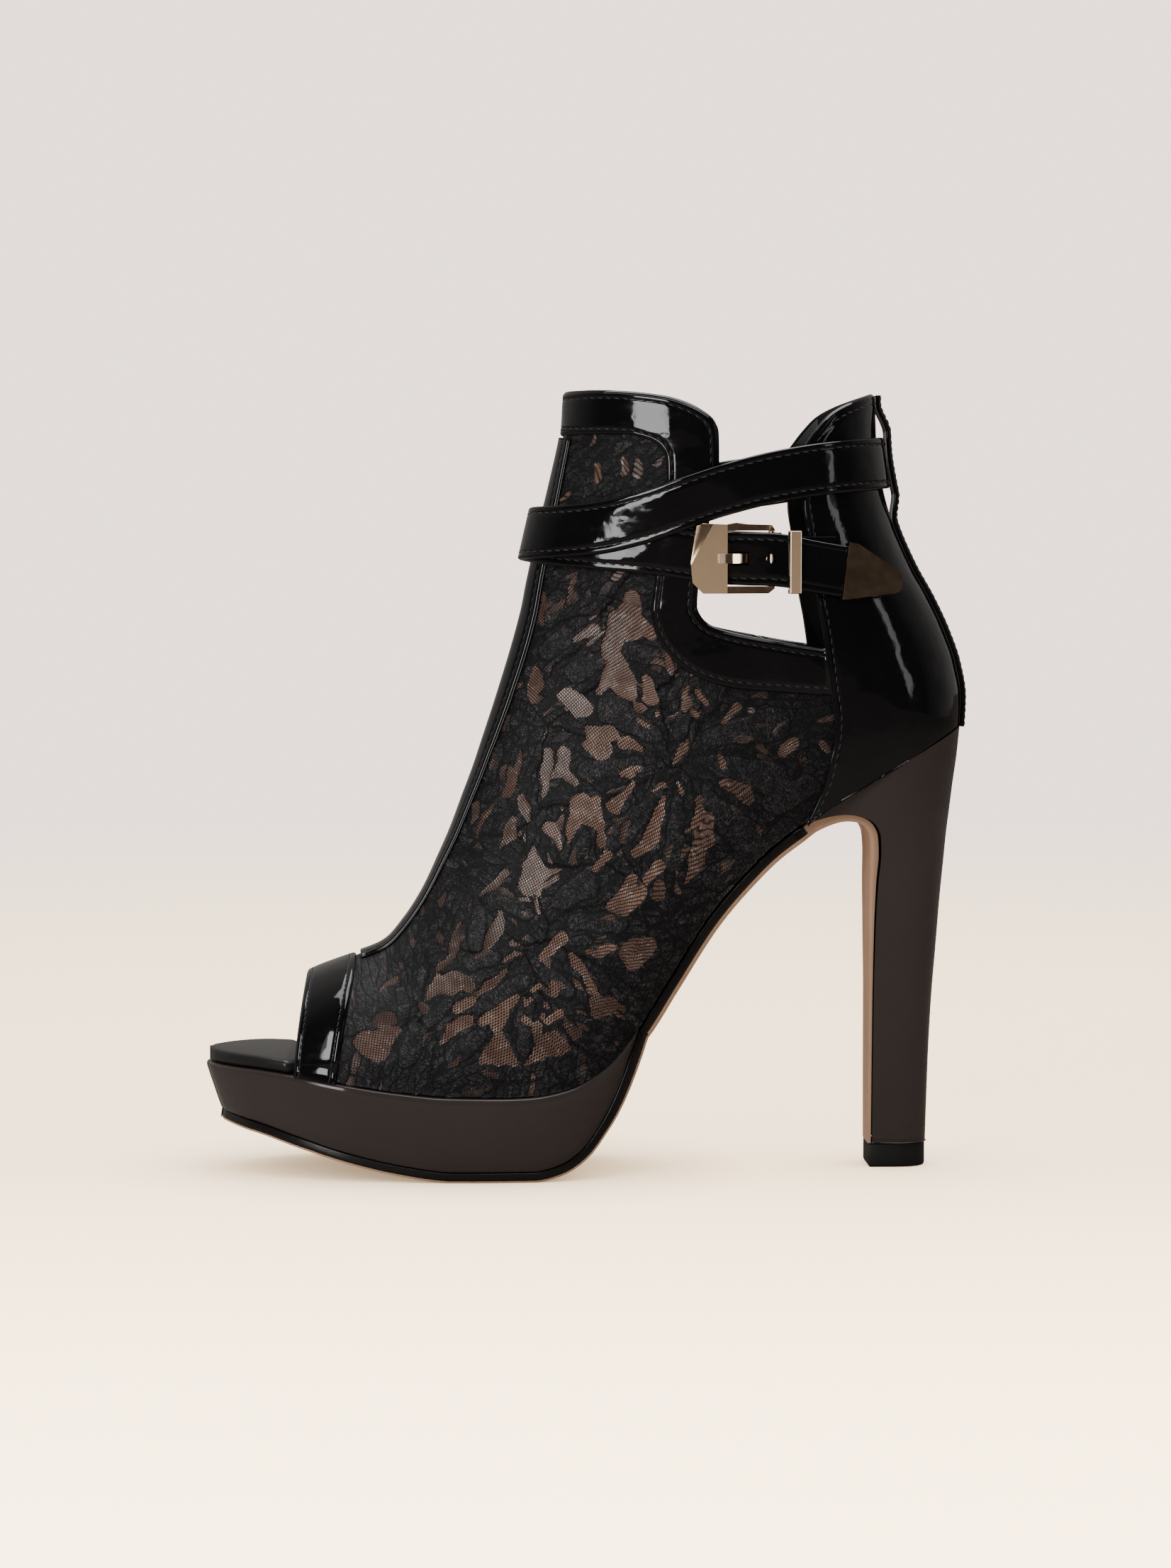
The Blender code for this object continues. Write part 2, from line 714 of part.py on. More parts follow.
def top_cut():
    """Everything above the collar and inside the cut-outs on both sides."""
    front = smooth_outline(COLLAR_LINE, 2)
    rear = smooth_outline(QUARTER_FRONT, 2)
    outline = [(-0.10, front[0][1])] + front + rear
    outline += [(FAR, rear[-1][1]), (FAR, HIGH), (-0.10, HIGH)]
    return side_prism("top_cut", outline)


def shell(name, inner, outer):
    """Closed shell between two offsets of the last, trimmed at sole, collar and cut-outs."""
    item = last_solid(name, outer)
    combine(item, last_solid("core", inner), "DIFFERENCE")
    combine(item, below_foot_bed(), "DIFFERENCE")
    combine(item, top_cut(), "DIFFERENCE")
    return item


def toe_opening():
    """Everything in front of the toe band."""
    line = smooth_outline(TOE_FRONT, 2)
    return side_prism("toe_opening", [(-FAR, line[0][1]), (-FAR, line[-1][1])] + line[::-1])


def build_upper(material):
    """Hollow upper, open at the toe, the collar, the cut-outs and underneath."""
    item = shell("upper", -UPPER_WALL, 0.0)
    combine(item, toe_opening(), "DIFFERENCE")
    return finish(item, material)


def overlay(name, region, material):
    """Overlay: a thin shell over the upper, kept inside a side view region."""
    item = shell(name, GAP, GAP + OVERLAY_THICKNESS)
    combine(item, side_prism("region", region), "INTERSECT")
    return finish(item, material)


def build_toe_band(material):
    """Patent band round the open toe."""
    front = smooth_outline(TOE_FRONT, 2)
    rear = smooth_outline(TOE_REAR, 2)
    return overlay("toe_band", front + rear[::-1], material)


def build_collar_band(material):
    """Patent binding over the front collar and down round both cut-outs."""
    edge = smooth_outline(BAND_EDGE, 2)
    seam_x = edge[-1][0] - 2.0 * GAP
    edge = [(min(x, seam_x), z) for x, z in edge]
    rear_top = (QUARTER_FRONT[0][0] * SHOE_LENGTH - 2.0 * GAP, QUARTER_FRONT[0][1] * COLLAR_HEIGHT)
    notch_x = (COLLAR_LINE[-2][0] + COLLAR_LINE[-6][0]) / 2.0 * SHOE_LENGTH
    outline = [(-0.10, edge[0][1])] + edge + [rear_top, (notch_x, rear_top[1] * 1.1), (notch_x, HIGH)]
    return overlay("collar_band", outline + [(-0.10, HIGH)], material)


def build_quarter(material):
    """Patent rear quarter round the back, from seam to seam."""
    seam = smooth_outline(QUARTER_SEAM, 2)
    edge = smooth_outline(QUARTER_FRONT, 2)[:14]
    rear = edge[:1] + [(x - 3.0 * GAP, z) for x, z in edge[1:]]
    outline = seam[::-1] + rear + [(rear[-1][0], HIGH), (FAR, HIGH), (FAR, seam[-1][1])]
    return overlay("quarter", outline, material)


def throat_line(offset, first, last):
    """Side view points along the throat between two stations."""
    line = []
    for step in range(int(first), int(last) + 1):
        point = last_point(float(step), 0.0, offset)
        line.append((point.x, point.z))
    return line


def build_throat_strip(material):
    """Patent strip down the middle of the front, from the collar band to the toe band."""
    item = shell("throat_strip", GAP, GAP + OVERLAY_THICKNESS)
    outer = throat_line(0.02, 5, 30)
    inner = throat_line(-THROAT_STRIP_WIDTH * THROAT_DEPTH_SHARE, 5, 30)
    combine(item, side_prism("throat_region", outer + inner[::-1]), "INTERSECT")
    toe_edge = smooth_outline(TOE_REAR, 2)
    front = [(x + 2.0 * GAP, z) for x, z in toe_edge]
    top = BAND_EDGE[0][1] * COLLAR_HEIGHT - 2.0 * GAP
    region = front + [(0.02, front[-1][1]), (0.02, top), (-0.10, top), (-0.10, front[0][1])]
    combine(item, side_prism("strip_ends", region), "INTERSECT")
    rings = []
    half = THROAT_STRIP_WIDTH / 2.0
    for station in range(4, len(LAST)):
        point = last_point(float(station), 0.0)
        middle = point.y
        rings.append([(point.x - 0.05, middle - half, point.z), (point.x + 0.05, middle - half, point.z),
                      (point.x + 0.05, middle + half, point.z), (point.x - 0.05, middle + half, point.z)])
    combine(item, loft("strip_width", rings), "INTERSECT")
    return finish(item, material)


def fine_surface():
    """Search tree of the last's surface in fine facets."""
    turns = ring_turns(FINE_STEPS, FINE_STEPS)
    rows = 4 * (len(LAST) - 1) + 1
    points = [last_point(row / 4.0, turn) for row in range(rows) for turn in turns]
    count = len(turns)
    faces = []
    for row in range(rows - 1):
        for step in range(count):
            after = (step + 1) % count
            faces.append((row * count + step, row * count + after,
                          (row + 1) * count + after, (row + 1) * count + step))
    return BVHTree.FromPolygons(points, faces)


def side_y(tree, x, z, side):
    """Sideways place of the last's surface at (x, z); side is -1 on the outer side, 1 on the inner."""
    hit = tree.ray_cast(Vector((x, side * RAY_START, z)), Vector((0.0, -side, 0.0)))[0]
    return None if hit is None else hit.y


def seam_places(start_x, end_x, count, tip_count=TIP_ROWS):
    """Places along a seam: close together round its start, then evenly spread."""
    places = []
    for step in range(tip_count):
        places.append(start_x + TIP_REACH * (1.0 - math.cos(math.pi / 2.0 * step / tip_count)))
    for step in range(count + 1):
        places.append(start_x + TIP_REACH + (end_x - start_x - TIP_REACH) * step / count)
    return places


def seam_outline(tree, places):
    """Plan of the last at the foot bed: rows of (x, outer y, inner y)."""
    rows = []
    for x in places:
        level = foot_bed(x) + SEAM_LEVEL
        outer = side_y(tree, x, level, -1.0)
        inner = side_y(tree, x, level, 1.0)
        if outer is not None and inner is not None:
            rows.append((x, outer, inner))
    return rows


def grown(rows, ledge):
    """Plan rows moved outwards by a ledge, square to the outline."""
    result = []
    for index, (x, outer, inner) in enumerate(rows):
        before = rows[max(index - 1, 0)]
        after = rows[min(index + 1, len(rows) - 1)]
        run = after[0] - before[0]
        outer_slope = (after[1] - before[1]) / run
        inner_slope = (after[2] - before[2]) / run
        outer_size = math.hypot(1.0, outer_slope)
        inner_size = math.hypot(1.0, inner_slope)
        result.append(((x + ledge * outer_slope / outer_size, outer - ledge / outer_size),
                       (x - ledge * inner_slope / inner_size, inner + ledge / inner_size)))
    return result


def platform_places():
    """Places of the platform's rows, which the outsole under it shares."""
    return seam_places(TOE_TIP * SHOE_LENGTH, PLATFORM_END * SHOE_LENGTH, PLATFORM_ROWS)


def waist_share(x):
    """Share from the forefoot's outsole, 0, to the waist's, 1."""
    return min(max((x / SHOE_LENGTH - WAIST_START) / WAIST_FADE, 0.0), 1.0)


def toe_rake(x):
    """How far the sole's lower edge stands back from its upper edge near the toe tip."""
    return TOE_RAKE * max(0.0, 1.0 - (x - TOE_TIP * SHOE_LENGTH) / TOE_RAKE_LENGTH)


def build_platform(tree, material):
    """Wrapped platform block, with its top along the foot bed and its sides tapering down."""
    rows = seam_outline(tree, platform_places())
    levels = []
    for ledge, share in ((PLATFORM_LEDGE - PLATFORM_TAPER - PLATFORM_EDGE, 0.0),
                         (PLATFORM_LEDGE - PLATFORM_TAPER, PLATFORM_FOOT),
                         (PLATFORM_LEDGE, PLATFORM_SHOULDER),
                         (PLATFORM_LEDGE - PLATFORM_EDGE, 1.0)):
        levels.append((grown(rows, ledge), share))
    rings = []
    for index in range(len(rows)):
        outer = []
        inner = []
        for places, share in levels:
            for side, edge in ((0, outer), (1, inner)):
                x, y = places[index][side]
                low = platform_bottom(x) + GAP
                edge.append((x + toe_rake(x) * (1.0 - share), y, low + (foot_bed(x) - low) * share))
        rings.append(outer + inner[::-1])
    return finish(loft("platform", rings), material, 40.0)


def outsole_path():
    """Top line of the outsole, toe to heel tip: rows of (x, z, thickness, half width or None)."""
    path = []
    lip = BREAST_PLACE - LIP_LENGTH
    places = platform_places()
    for step in range(1, WAIST_ROWS + 1):
        places.append(PLATFORM_END * SHOE_LENGTH + (lip - PLATFORM_END * SHOE_LENGTH) * step / WAIST_ROWS)
    for x in places:
        thickness = OUTSOLE_THICKNESS + (WAIST_THICKNESS - OUTSOLE_THICKNESS) * waist_share(x)
        path.append((x, platform_bottom(x), thickness, None))
    for along, drop, half, thick in HEEL_FRONT:
        x = lip + LIP_LENGTH * along
        thickness = FLAP_THICKNESS + (WAIST_THICKNESS - FLAP_THICKNESS) * thick
        path.append((x, foot_bed(x) - drop * HEEL_HEIGHT, thickness, half * HEEL_TIP_WIDTH))
    path.append((BREAST_PLACE, HEEL_TIP_HEIGHT + GAP, FLAP_THICKNESS, BREAST_HALF * HEEL_TIP_WIDTH))
    return path


def path_normals(path):
    """Unit vectors square to a side view path, pointing down and away from the foot."""
    normals = []
    for index in range(len(path)):
        before = path[max(index - 1, 0)]
        after = path[min(index + 1, len(path) - 1)]
        run = Vector((after[0] - before[0], after[1] - before[1])).normalized()
        normals.append((run.y, -run.x))
    normals[-1] = (-1.0, 0.0)
    return normals


def build_outsole(tree, material):
    """Outsole: under the platform, along the waist and down the heel's breast, in one sheet."""
    path = outsole_path()
    normals = path_normals(path)
    rings = []
    for (x, z, thickness, half), (nx, nz) in zip(path, normals):
        if half is None:
            seam = foot_bed(x) + SEAM_LEVEL
            place = max(x, (TOE_TIP + TIP_INSET) * SHOE_LENGTH)
            outer = side_y(tree, place, seam, -1.0)
            inner = side_y(tree, place, seam, 1.0)
            waist = waist_share(x)
            inset = (PLATFORM_TAPER - PLATFORM_LEDGE) * (1.0 - waist) + WAIST_INSET * waist
            outer += inset
            inner -= inset
            bevel = SOLE_BEVEL + WAIST_BEVEL * waist
        else:
            outer = -half
            inner = half
            bevel = WAIST_BEVEL * 0.5
        tip = 1.0 - min((x - TOE_TIP * SHOE_LENGTH) / TIP_REACH, 1.0)
        shift = toe_rake(x) + (PLATFORM_TAPER - PLATFORM_LEDGE) * tip
        edge = SOLE_EDGE_SHARE * thickness
        rings.append([
            (x + shift, outer, z),
            (x + shift + nx * edge, outer, z + nz * edge),
            (x + shift + nx * thickness, outer + bevel, z + nz * thickness),
            (x + shift + nx * thickness, inner - bevel, z + nz * thickness),
            (x + shift + nx * edge, inner, z + nz * edge),
            (x + shift, inner, z),
        ])
    return finish(loft("outsole", rings), material, 40.0)


def heel_front_line(clearance):
    """Side view line of the heel's front, from the lip's start to the heel tip."""
    path = outsole_path()
    normals = path_normals(path)
    first = len(path) - len(HEEL_FRONT) - 1
    line = []
    for (x, z, _, _), (nx, nz) in list(zip(path, normals))[first:]:
        line.append((x - nx * clearance, z - nz * clearance))
    return line


def heel_level(height, back, half, widest):
    """Level section of the heel: round behind, straight along the sides to the front."""
    z = height * HEEL_HEIGHT
    back_x = BREAST_PLACE + back * HEEL_TIP_LENGTH
    widest_x = BREAST_PLACE + widest * HEEL_TIP_LENGTH
    wide = half * HEEL_TIP_WIDTH
    front_x = BREAST_PLACE - LIP_LENGTH * HEEL_REACH
    ring = [(front_x, -wide * HEEL_SIDE_POWER, z)]
    for step in range(HEEL_ROUND_STEPS + 1):
        angle = math.pi * step / HEEL_ROUND_STEPS
        x = widest_x + (back_x - widest_x) * math.sin(angle) ** HEEL_BACK_POWER
        y = -wide * math.copysign(abs(math.cos(angle)) ** HEEL_SIDE_POWER, math.cos(angle))
        ring.append((x, y, z))
    ring.append((front_x, wide * HEEL_SIDE_POWER, z))
    return ring


def heel_columns():
    """Interpolated level sections of the heel, bottom to top."""
    return [heel_level(*row) for row in HEEL_LEVELS]


def build_heel(material):
    """Wrapped block heel under the seat, with its lip running forward under the waist."""
    item = loft("heel", heel_columns())
    top = foot_bed_line(SHOE_LENGTH * HEEL_TOP_START, SHOE_LENGTH * HEEL_TOP_END, 20, 0.0)
    start_x = SHOE_LENGTH * HEEL_CUT_START
    above = side_prism("above", top + [(FAR, HIGH), (start_x, HIGH), (start_x, top[0][1])])
    combine(item, above, "DIFFERENCE")
    line = heel_front_line(GAP)
    start = line[0]
    front = side_prism("front", [(0.0, start[1])] + line + [(line[-1][0], DEEP), (0.0, DEEP)])
    combine(item, front, "DIFFERENCE")
    floor = HEEL_TIP_HEIGHT + GAP
    low = side_prism("low", [(0.0, floor), (FAR, floor), (FAR, DEEP), (0.0, DEEP)])
    combine(item, low, "DIFFERENCE")
    return finish(item, material, 40.0)


def build_heel_tip(material):
    """Top piece under the heel, flat on the floor."""
    outline = heel_level(*HEEL_LEVELS[0])
    front = BREAST_PLACE - HEEL_TIP_FRONT
    rings = []
    for z, inset in ((0.0, HEEL_TIP_CHAMFER), (HEEL_TIP_CHAMFER, 0.0), (HEEL_TIP_HEIGHT, 0.0)):
        ring = []
        middle_x = BREAST_PLACE + HEEL_TIP_MIDDLE * HEEL_TIP_LENGTH
        for x, y, _ in outline:
            place = max(x, front)
            scale = 1.0 - inset / (HEEL_TIP_WIDTH / 2.0)
            ring.append((middle_x + (place - middle_x) * scale, y * scale, z))
        rings.append(ring)
    return finish(loft("heel_tip", rings), material, 40.0)


def insole_places(start_x):
    """Places along the insole inside the upper: evenly spread, then close together round the heel."""
    end_x = INSOLE_END * SHOE_LENGTH
    back = [start_x + end_x - x for x in seam_places(start_x, end_x, INSOLE_ROWS, 5)]
    return back[::-1]


def build_insole(tree, material):
    """Padded insole: wide and thick in the open toe, then inside the upper to the heel."""
    toe_end = TOE_FRONT[-2][0] * SHOE_LENGTH - INSOLE_STEP
    toe = grown(seam_outline(tree, seam_places(TOE_TIP * SHOE_LENGTH, toe_end, 3)),
                PLATFORM_LEDGE - INSOLE_TOE_INSET)
    inset = UPPER_WALL + 3.0 * GAP
    rest = grown(seam_outline(tree, insole_places(toe_end + GAP)), -inset)
    rings = []
    for (outer_x, outer_y), (inner_x, inner_y) in toe + rest:
        edge = min(0.45 * INSOLE_THICKNESS, 0.20 * (inner_y - outer_y))
        outer = []
        inner = []
        for up, into in INSOLE_EDGE:
            for x, y, sign, side in ((outer_x, outer_y, 1.0, outer), (inner_x, inner_y, -1.0, inner)):
                side.append((x, y + sign * edge * into, foot_bed(x) + GAP + INSOLE_THICKNESS * up))
        rings.append(outer + inner[::-1])
    return finish(loft("insole", rings), material, 40.0)


def back_line(offset, first, last, pieces=2):
    """Side view points up the back of the last between two stations."""
    line = []
    steps = int((last - first) * pieces)
    for step in range(steps + 1):
        point = last_point(first + step / pieces, 1.0, offset)
        line.append((point.x, point.z))
    return line


def build_back_strip(material):
    """Back stay from the seat to the collar, standing out as a loop over the strap."""
    rest = GAP + OVERLAY_THICKNESS + GAP
    loop = rest + STRAP_THICKNESS + LOOP_SLACK
    middle = strap_sample(LOOP_AZIMUTH)[1]
    rings = []
    for x, z in back_line(0.0, 19.6, 29.4, 4):
        low = foot_bed(x) + GAP
        if z < low or z > COLLAR_HEIGHT * 0.9960:
            continue
        away = abs(z - middle) / (LOOP_HEIGHT / 2.0)
        share = min(max((LOOP_FOOT - away) / LOOP_FADE, 0.0), 1.0)
        share = share * share * (3.0 - 2.0 * share)
        rings.append((x, z, rest + (loop - rest) * share))
    line = [(x, z) for x, z, _ in rings]
    sections = []
    half = BACK_STRIP_WIDTH / 2.0
    sag = 0.0007
    for index, (x, z, lift) in enumerate(rings):
        before = line[max(index - 1, 0)]
        after = line[min(index + 1, len(line) - 1)]
        run = Vector((after[0] - before[0], after[1] - before[1])).normalized()
        nx, nz = run.y, -run.x
        inner = (x + nx * lift, z + nz * lift)
        outer = (x + nx * (lift + BACK_STRIP_THICKNESS), z + nz * (lift + BACK_STRIP_THICKNESS))
        sections.append([
            (inner[0] - sag * nx, -half, inner[1] - sag * nz),
            (outer[0] - sag * nx, -half, outer[1] - sag * nz),
            (outer[0], -half * 0.45, outer[1]),
            (outer[0], half * 0.45, outer[1]),
            (outer[0] - sag * nx, half, outer[1] - sag * nz),
            (inner[0] - sag * nx, half, inner[1] - sag * nz),
            (inner[0], half * 0.45, inner[1]),
            (inner[0], -half * 0.45, inner[1]),
        ])
    return finish(loft("back_strip", sections), material, 40.0)


def ankle_point(tree, azimuth, height, offset):
    """Point round the ankle at an azimuth and a height, at an offset from the surface."""
    def hit(angle, level):
        turn = math.radians(angle)
        way = Vector((-math.cos(turn), -math.sin(turn), 0.0))
        return tree.ray_cast(Vector((ANKLE_AXIS, 0.0, level)), way)[0]

    point = hit(azimuth, height)
    around = hit(azimuth + 2.0, height) - hit(azimuth - 2.0, height)
    upward = hit(azimuth, height + 0.002) - hit(azimuth, height - 0.002)
    normal = upward.cross(around).normalized()
    if normal.dot(point - Vector((ANKLE_AXIS, 0.0, height))) < 0.0:
        normal = -normal
    return point + normal * offset, normal


def band_sections(tree, samples, width, thickness, base):
    """Sections of a flat band from samples of (azimuth, height, lift in metres)."""
    sections = []
    for azimuth, height, lift in samples:
        low, low_normal = ankle_point(tree, azimuth, height - width / 2.0, base + lift)
        high, high_normal = ankle_point(tree, azimuth, height + width / 2.0, base + lift)
        normal = (low_normal + high_normal).normalized()
        sections.append([low, high, high + normal * thickness, low + normal * thickness])
    return sections


def strap_base():
    """Offset of a band that lies on the overlays."""
    return 2.0 * GAP + OVERLAY_THICKNESS + 0.5 * GAP


def strap_sample(azimuth):
    """Height and lift of the strap's middle at an azimuth of its route."""
    places = [-row[0] for row in STRAP_ROUTE]
    height = curve_value(places, column(STRAP_ROUTE, 1), -azimuth) * COLLAR_HEIGHT
    lift = curve_value(places, column(STRAP_ROUTE, 2), -azimuth) * STRAP_THICKNESS
    return azimuth, height, lift


def strap_samples():
    """Samples along the strap's route, closer together round the narrow front."""
    azimuth = STRAP_ROUTE[0][0]
    end = STRAP_ROUTE[-1][0]
    samples = []
    while azimuth > end:
        samples.append(strap_sample(azimuth))
        from_front = abs((azimuth + 180.0) % 360.0 - 180.0)
        azimuth -= FRONT_STEP if from_front <= FRONT_REACH else STRAP_STEP
    samples.append(strap_sample(end))
    return samples


def strap_sections(tree):
    """Sections of the strap from its tail's root to its other end."""
    return band_sections(tree, strap_samples(), STRAP_WIDTH, STRAP_THICKNESS, strap_base())


def tail_frame(sections):
    """Middle, direction, up and outward vectors of the straight tail at its root."""
    first = sections[0]
    middle = sum(first, Vector()) / 4.0
    along = (middle - sum(sections[1], Vector()) / 4.0).normalized()
    up = (first[1] - first[0]).normalized()
    up = (up - along * up.dot(along)).normalized()
    out = (first[2] - first[1]).normalized()
    out = (out - along * out.dot(along) - up * out.dot(up)).normalized()
    return middle, along, up, out


def framed_prism(name, frame, outline, low, high):
    """Solid over an outline of (along, up) points in a frame, from a low to a high outward place."""
    middle, along, up, out = frame
    rings = []
    for level in (low, high):
        rings.append([middle + along * a + up * b + out * level for a, b in outline])
    return loft(name, rings)


def build_strap(tree, material):
    """Ankle strap: one band crossed at the front and held behind by the loop."""
    sections = strap_sections(tree)
    frame = tail_frame(sections)
    middle, along, up, out = frame
    tail = []
    for place in (TAIL_LENGTH, TAIL_LENGTH - TIP_POCKET):
        tail.append([middle + along * place + up * STRAP_WIDTH * across + out * STRAP_THICKNESS * over
                     for across, over in ((-0.5, -0.5), (0.5, -0.5), (0.5, 0.5), (-0.5, 0.5))])
    item = loft("ankle_strap", tail + sections)
    y = side_frame(tree)
    slot_x = prong_hole_place()
    half = PRONG_WIDTH / 2.0 + 2.0 * GAP
    slot = [(slot_x - SLOT_HALF, BUCKLE_MIDDLE - half), (slot_x + SLOT_HALF, BUCKLE_MIDDLE - half),
            (slot_x + SLOT_HALF, BUCKLE_MIDDLE + half), (slot_x - SLOT_HALF, BUCKLE_MIDDLE + half)]
    combine(item, side_prism("slot", slot, y - CUT_OUTWARD, y + CUT_INWARD), "DIFFERENCE")
    hole_x = slot_x + HOLE_PITCH
    hole = []
    for step in range(HOLE_SIDES):
        angle = math.tau * step / HOLE_SIDES
        hole.append((hole_x + HOLE_DIAMETER / 2.0 * math.cos(angle),
                     BUCKLE_MIDDLE + HOLE_DIAMETER / 2.0 * math.sin(angle)))
    combine(item, side_prism("hole", hole, y - CUT_OUTWARD, y + CUT_INWARD), "DIFFERENCE")
    return finish(item, material)


def bar_place():
    """Place of the buckle's bar along the shoe."""
    return BUCKLE_PLACE + BUCKLE_LENGTH - BUCKLE_BAR / 2.0


def prong_hole_place():
    """Place of the strap hole that the prong comes through."""
    return BUCKLE_PLACE + BUCKLE_PLATE + HOLE_STEP


def side_frame(tree):
    """Place of the last's outer side beside the buckle, from which buckle offsets are measured."""
    return side_y(tree, BUCKLE_PLACE + BUCKLE_LENGTH / 2.0, BUCKLE_MIDDLE, -1.0)


def plate_level():
    """Offset of the middle of the buckle's plate, just over the strap."""
    return strap_base() + STRAP_THICKNESS + 1.5 * GAP + BUCKLE_THICKNESS / 2.0


def bar_level():
    """Offset of the buckle's bar, sunk below the plate so that the strap passes over it."""
    return plate_level() - BUCKLE_SINK


def upright_rod(name, x, y, radius, low, high, sides=12):
    """Upright round rod."""
    rings = []
    for z in (low, high):
        ring = []
        for step in range(sides):
            angle = math.tau * step / sides
            ring.append((x + radius * math.cos(angle), y + radius * math.sin(angle), z))
        rings.append(ring)
    return loft(name, rings)


def build_buckle_frame(tree, material):
    """Buckle frame: a wide plate over the strap, two arms and the bar under the strap."""
    y = side_frame(tree)
    half = BUCKLE_THICKNESS / 2.0
    window = STRAP_WIDTH / 2.0 + 1.5 * GAP
    plate_end = BUCKLE_PLACE + BUCKLE_PLATE
    arm_end = BUCKLE_PLACE + BUCKLE_LENGTH
    outline = [(BUCKLE_PLACE + along * BUCKLE_LENGTH, BUCKLE_MIDDLE + across * BUCKLE_HEIGHT)
               for along, across in BUCKLE_OUTLINE]
    item = side_prism("buckle_frame", outline, y - 0.02, y + 0.01)
    cut = [(plate_end, BUCKLE_MIDDLE - window), (FAR, BUCKLE_MIDDLE - window),
           (FAR, BUCKLE_MIDDLE + window), (plate_end, BUCKLE_MIDDLE + window)]
    combine(item, side_prism("window", cut), "DIFFERENCE")
    plate = y - plate_level()
    bar = y - bar_level()
    top = [(BUCKLE_PLACE - 0.01, plate - half), (plate_end, plate - half),
           (arm_end - BUCKLE_BAR, bar - half), (arm_end + 0.01, bar - half)]
    low = [(x, place + BUCKLE_THICKNESS) for x, place in top]
    profile = top + low[::-1]
    rings = [[(x, place, z) for x, place in profile]
             for z in (BUCKLE_MIDDLE - BUCKLE_HEIGHT, BUCKLE_MIDDLE + BUCKLE_HEIGHT)]
    combine(item, loft("bend", rings), "INTERSECT")
    reach = window + 0.0008
    rod = upright_rod("bar", bar_place(), bar, BUCKLE_BAR / 2.0 * 0.98,
                      BUCKLE_MIDDLE - reach, BUCKLE_MIDDLE + reach)
    combine(item, rod, "UNION")
    return finish(item, material)


def build_prong(tree, material):
    """Buckle prong: an eye on the bar, under the strap, up through its hole and onto the plate."""
    y = side_frame(tree)
    bar = y - bar_level()
    eye_inner = BUCKLE_BAR / 2.0 + GAP
    eye_outer = eye_inner + CHAPE_THICKNESS
    half = PRONG_WIDTH / 2.0
    thick = PRONG_THICKNESS / 2.0
    rest = y - plate_level() - BUCKLE_THICKNESS / 2.0 - GAP - thick
    plate_end = BUCKLE_PLACE + BUCKLE_PLATE
    hole = prong_hole_place()
    path = [(bar_place() - eye_inner - 0.0002, bar), (hole + 0.0034, bar), (hole + 0.0018, bar - 0.0010),
            (plate_end + 0.0018, rest + 0.0008), (plate_end + 0.0003, rest),
            (plate_end - PRONG_OVERHANG, rest)]
    outer = []
    inner = []
    for index, (x, place) in enumerate(path):
        before = Vector(path[max(index - 1, 0)])
        after = Vector(path[min(index + 1, len(path) - 1)])
        run = (after - before).normalized()
        outer.append((x - run.y * thick, place + run.x * thick))
        inner.append((x + run.y * thick, place - run.x * thick))
    profile = outer + inner[::-1]
    rings = [[(x, place, z) for x, place in profile]
             for z in (BUCKLE_MIDDLE - half, BUCKLE_MIDDLE + half)]
    item = loft("buckle_prong", rings)
    eye = upright_rod("eye", bar_place(), bar, eye_outer, BUCKLE_MIDDLE - half, BUCKLE_MIDDLE + half)
    combine(item, eye, "UNION")
    hole_rod = upright_rod("eye_hole", bar_place(), bar, eye_inner,
                           BUCKLE_MIDDLE - 2.0 * half, BUCKLE_MIDDLE + 2.0 * half)
    combine(item, hole_rod, "DIFFERENCE")
    return finish(item, material)


def build_chape(tree, material):
    """Chape strap: folded round the bar and sewn down on the quarter under the ankle strap."""
    y = side_frame(tree)
    bar = y - bar_level()
    inner = BUCKLE_BAR / 2.0 + GAP
    outer = inner + CHAPE_THICKNESS
    half = CHAPE_WIDTH / 2.0
    low = BUCKLE_MIDDLE - half
    high = BUCKLE_MIDDLE + half
    start = bar_place()
    seat = QUARTER_FRONT[3][0] * SHOE_LENGTH
    end = start + CHAPE_LENGTH
    base = 2.0 * GAP + OVERLAY_THICKNESS + 0.5 * GAP
    sections = []
    count = 8
    for step in range(count + 1):
        x = start + (end - start) * step / count
        section = []
        for z in (low, high):
            surface = side_y(tree, x, z, -1.0)
            settled = min(max((x - start) / (seat - start), 0.0), 1.0)
            back = (bar + outer) * (1.0 - settled) + (surface - base) * settled
            front = (bar - outer) * (1.0 - settled) + (surface - base - CHAPE_THICKNESS) * settled
            section.append((x, back, z))
            section.append((x, front, z))
        sections.append([section[0], section[1], section[3], section[2]])
    item = loft("chape_strap", sections)
    combine(item, upright_rod("fold", start, bar, outer, low, high), "UNION")
    hole = upright_rod("bar_hole", start, bar, inner, low - 0.01, high + 0.01)
    combine(item, hole, "DIFFERENCE")
    slot = PRONG_WIDTH / 2.0 + 2.0 * GAP
    slot_end = start + outer + 2.0 * GAP
    outline = [(0.0, BUCKLE_MIDDLE - slot), (slot_end, BUCKLE_MIDDLE - slot),
               (slot_end, BUCKLE_MIDDLE + slot), (0.0, BUCKLE_MIDDLE + slot)]
    combine(item, side_prism("prong_slot", outline), "DIFFERENCE")
    return finish(item, material)


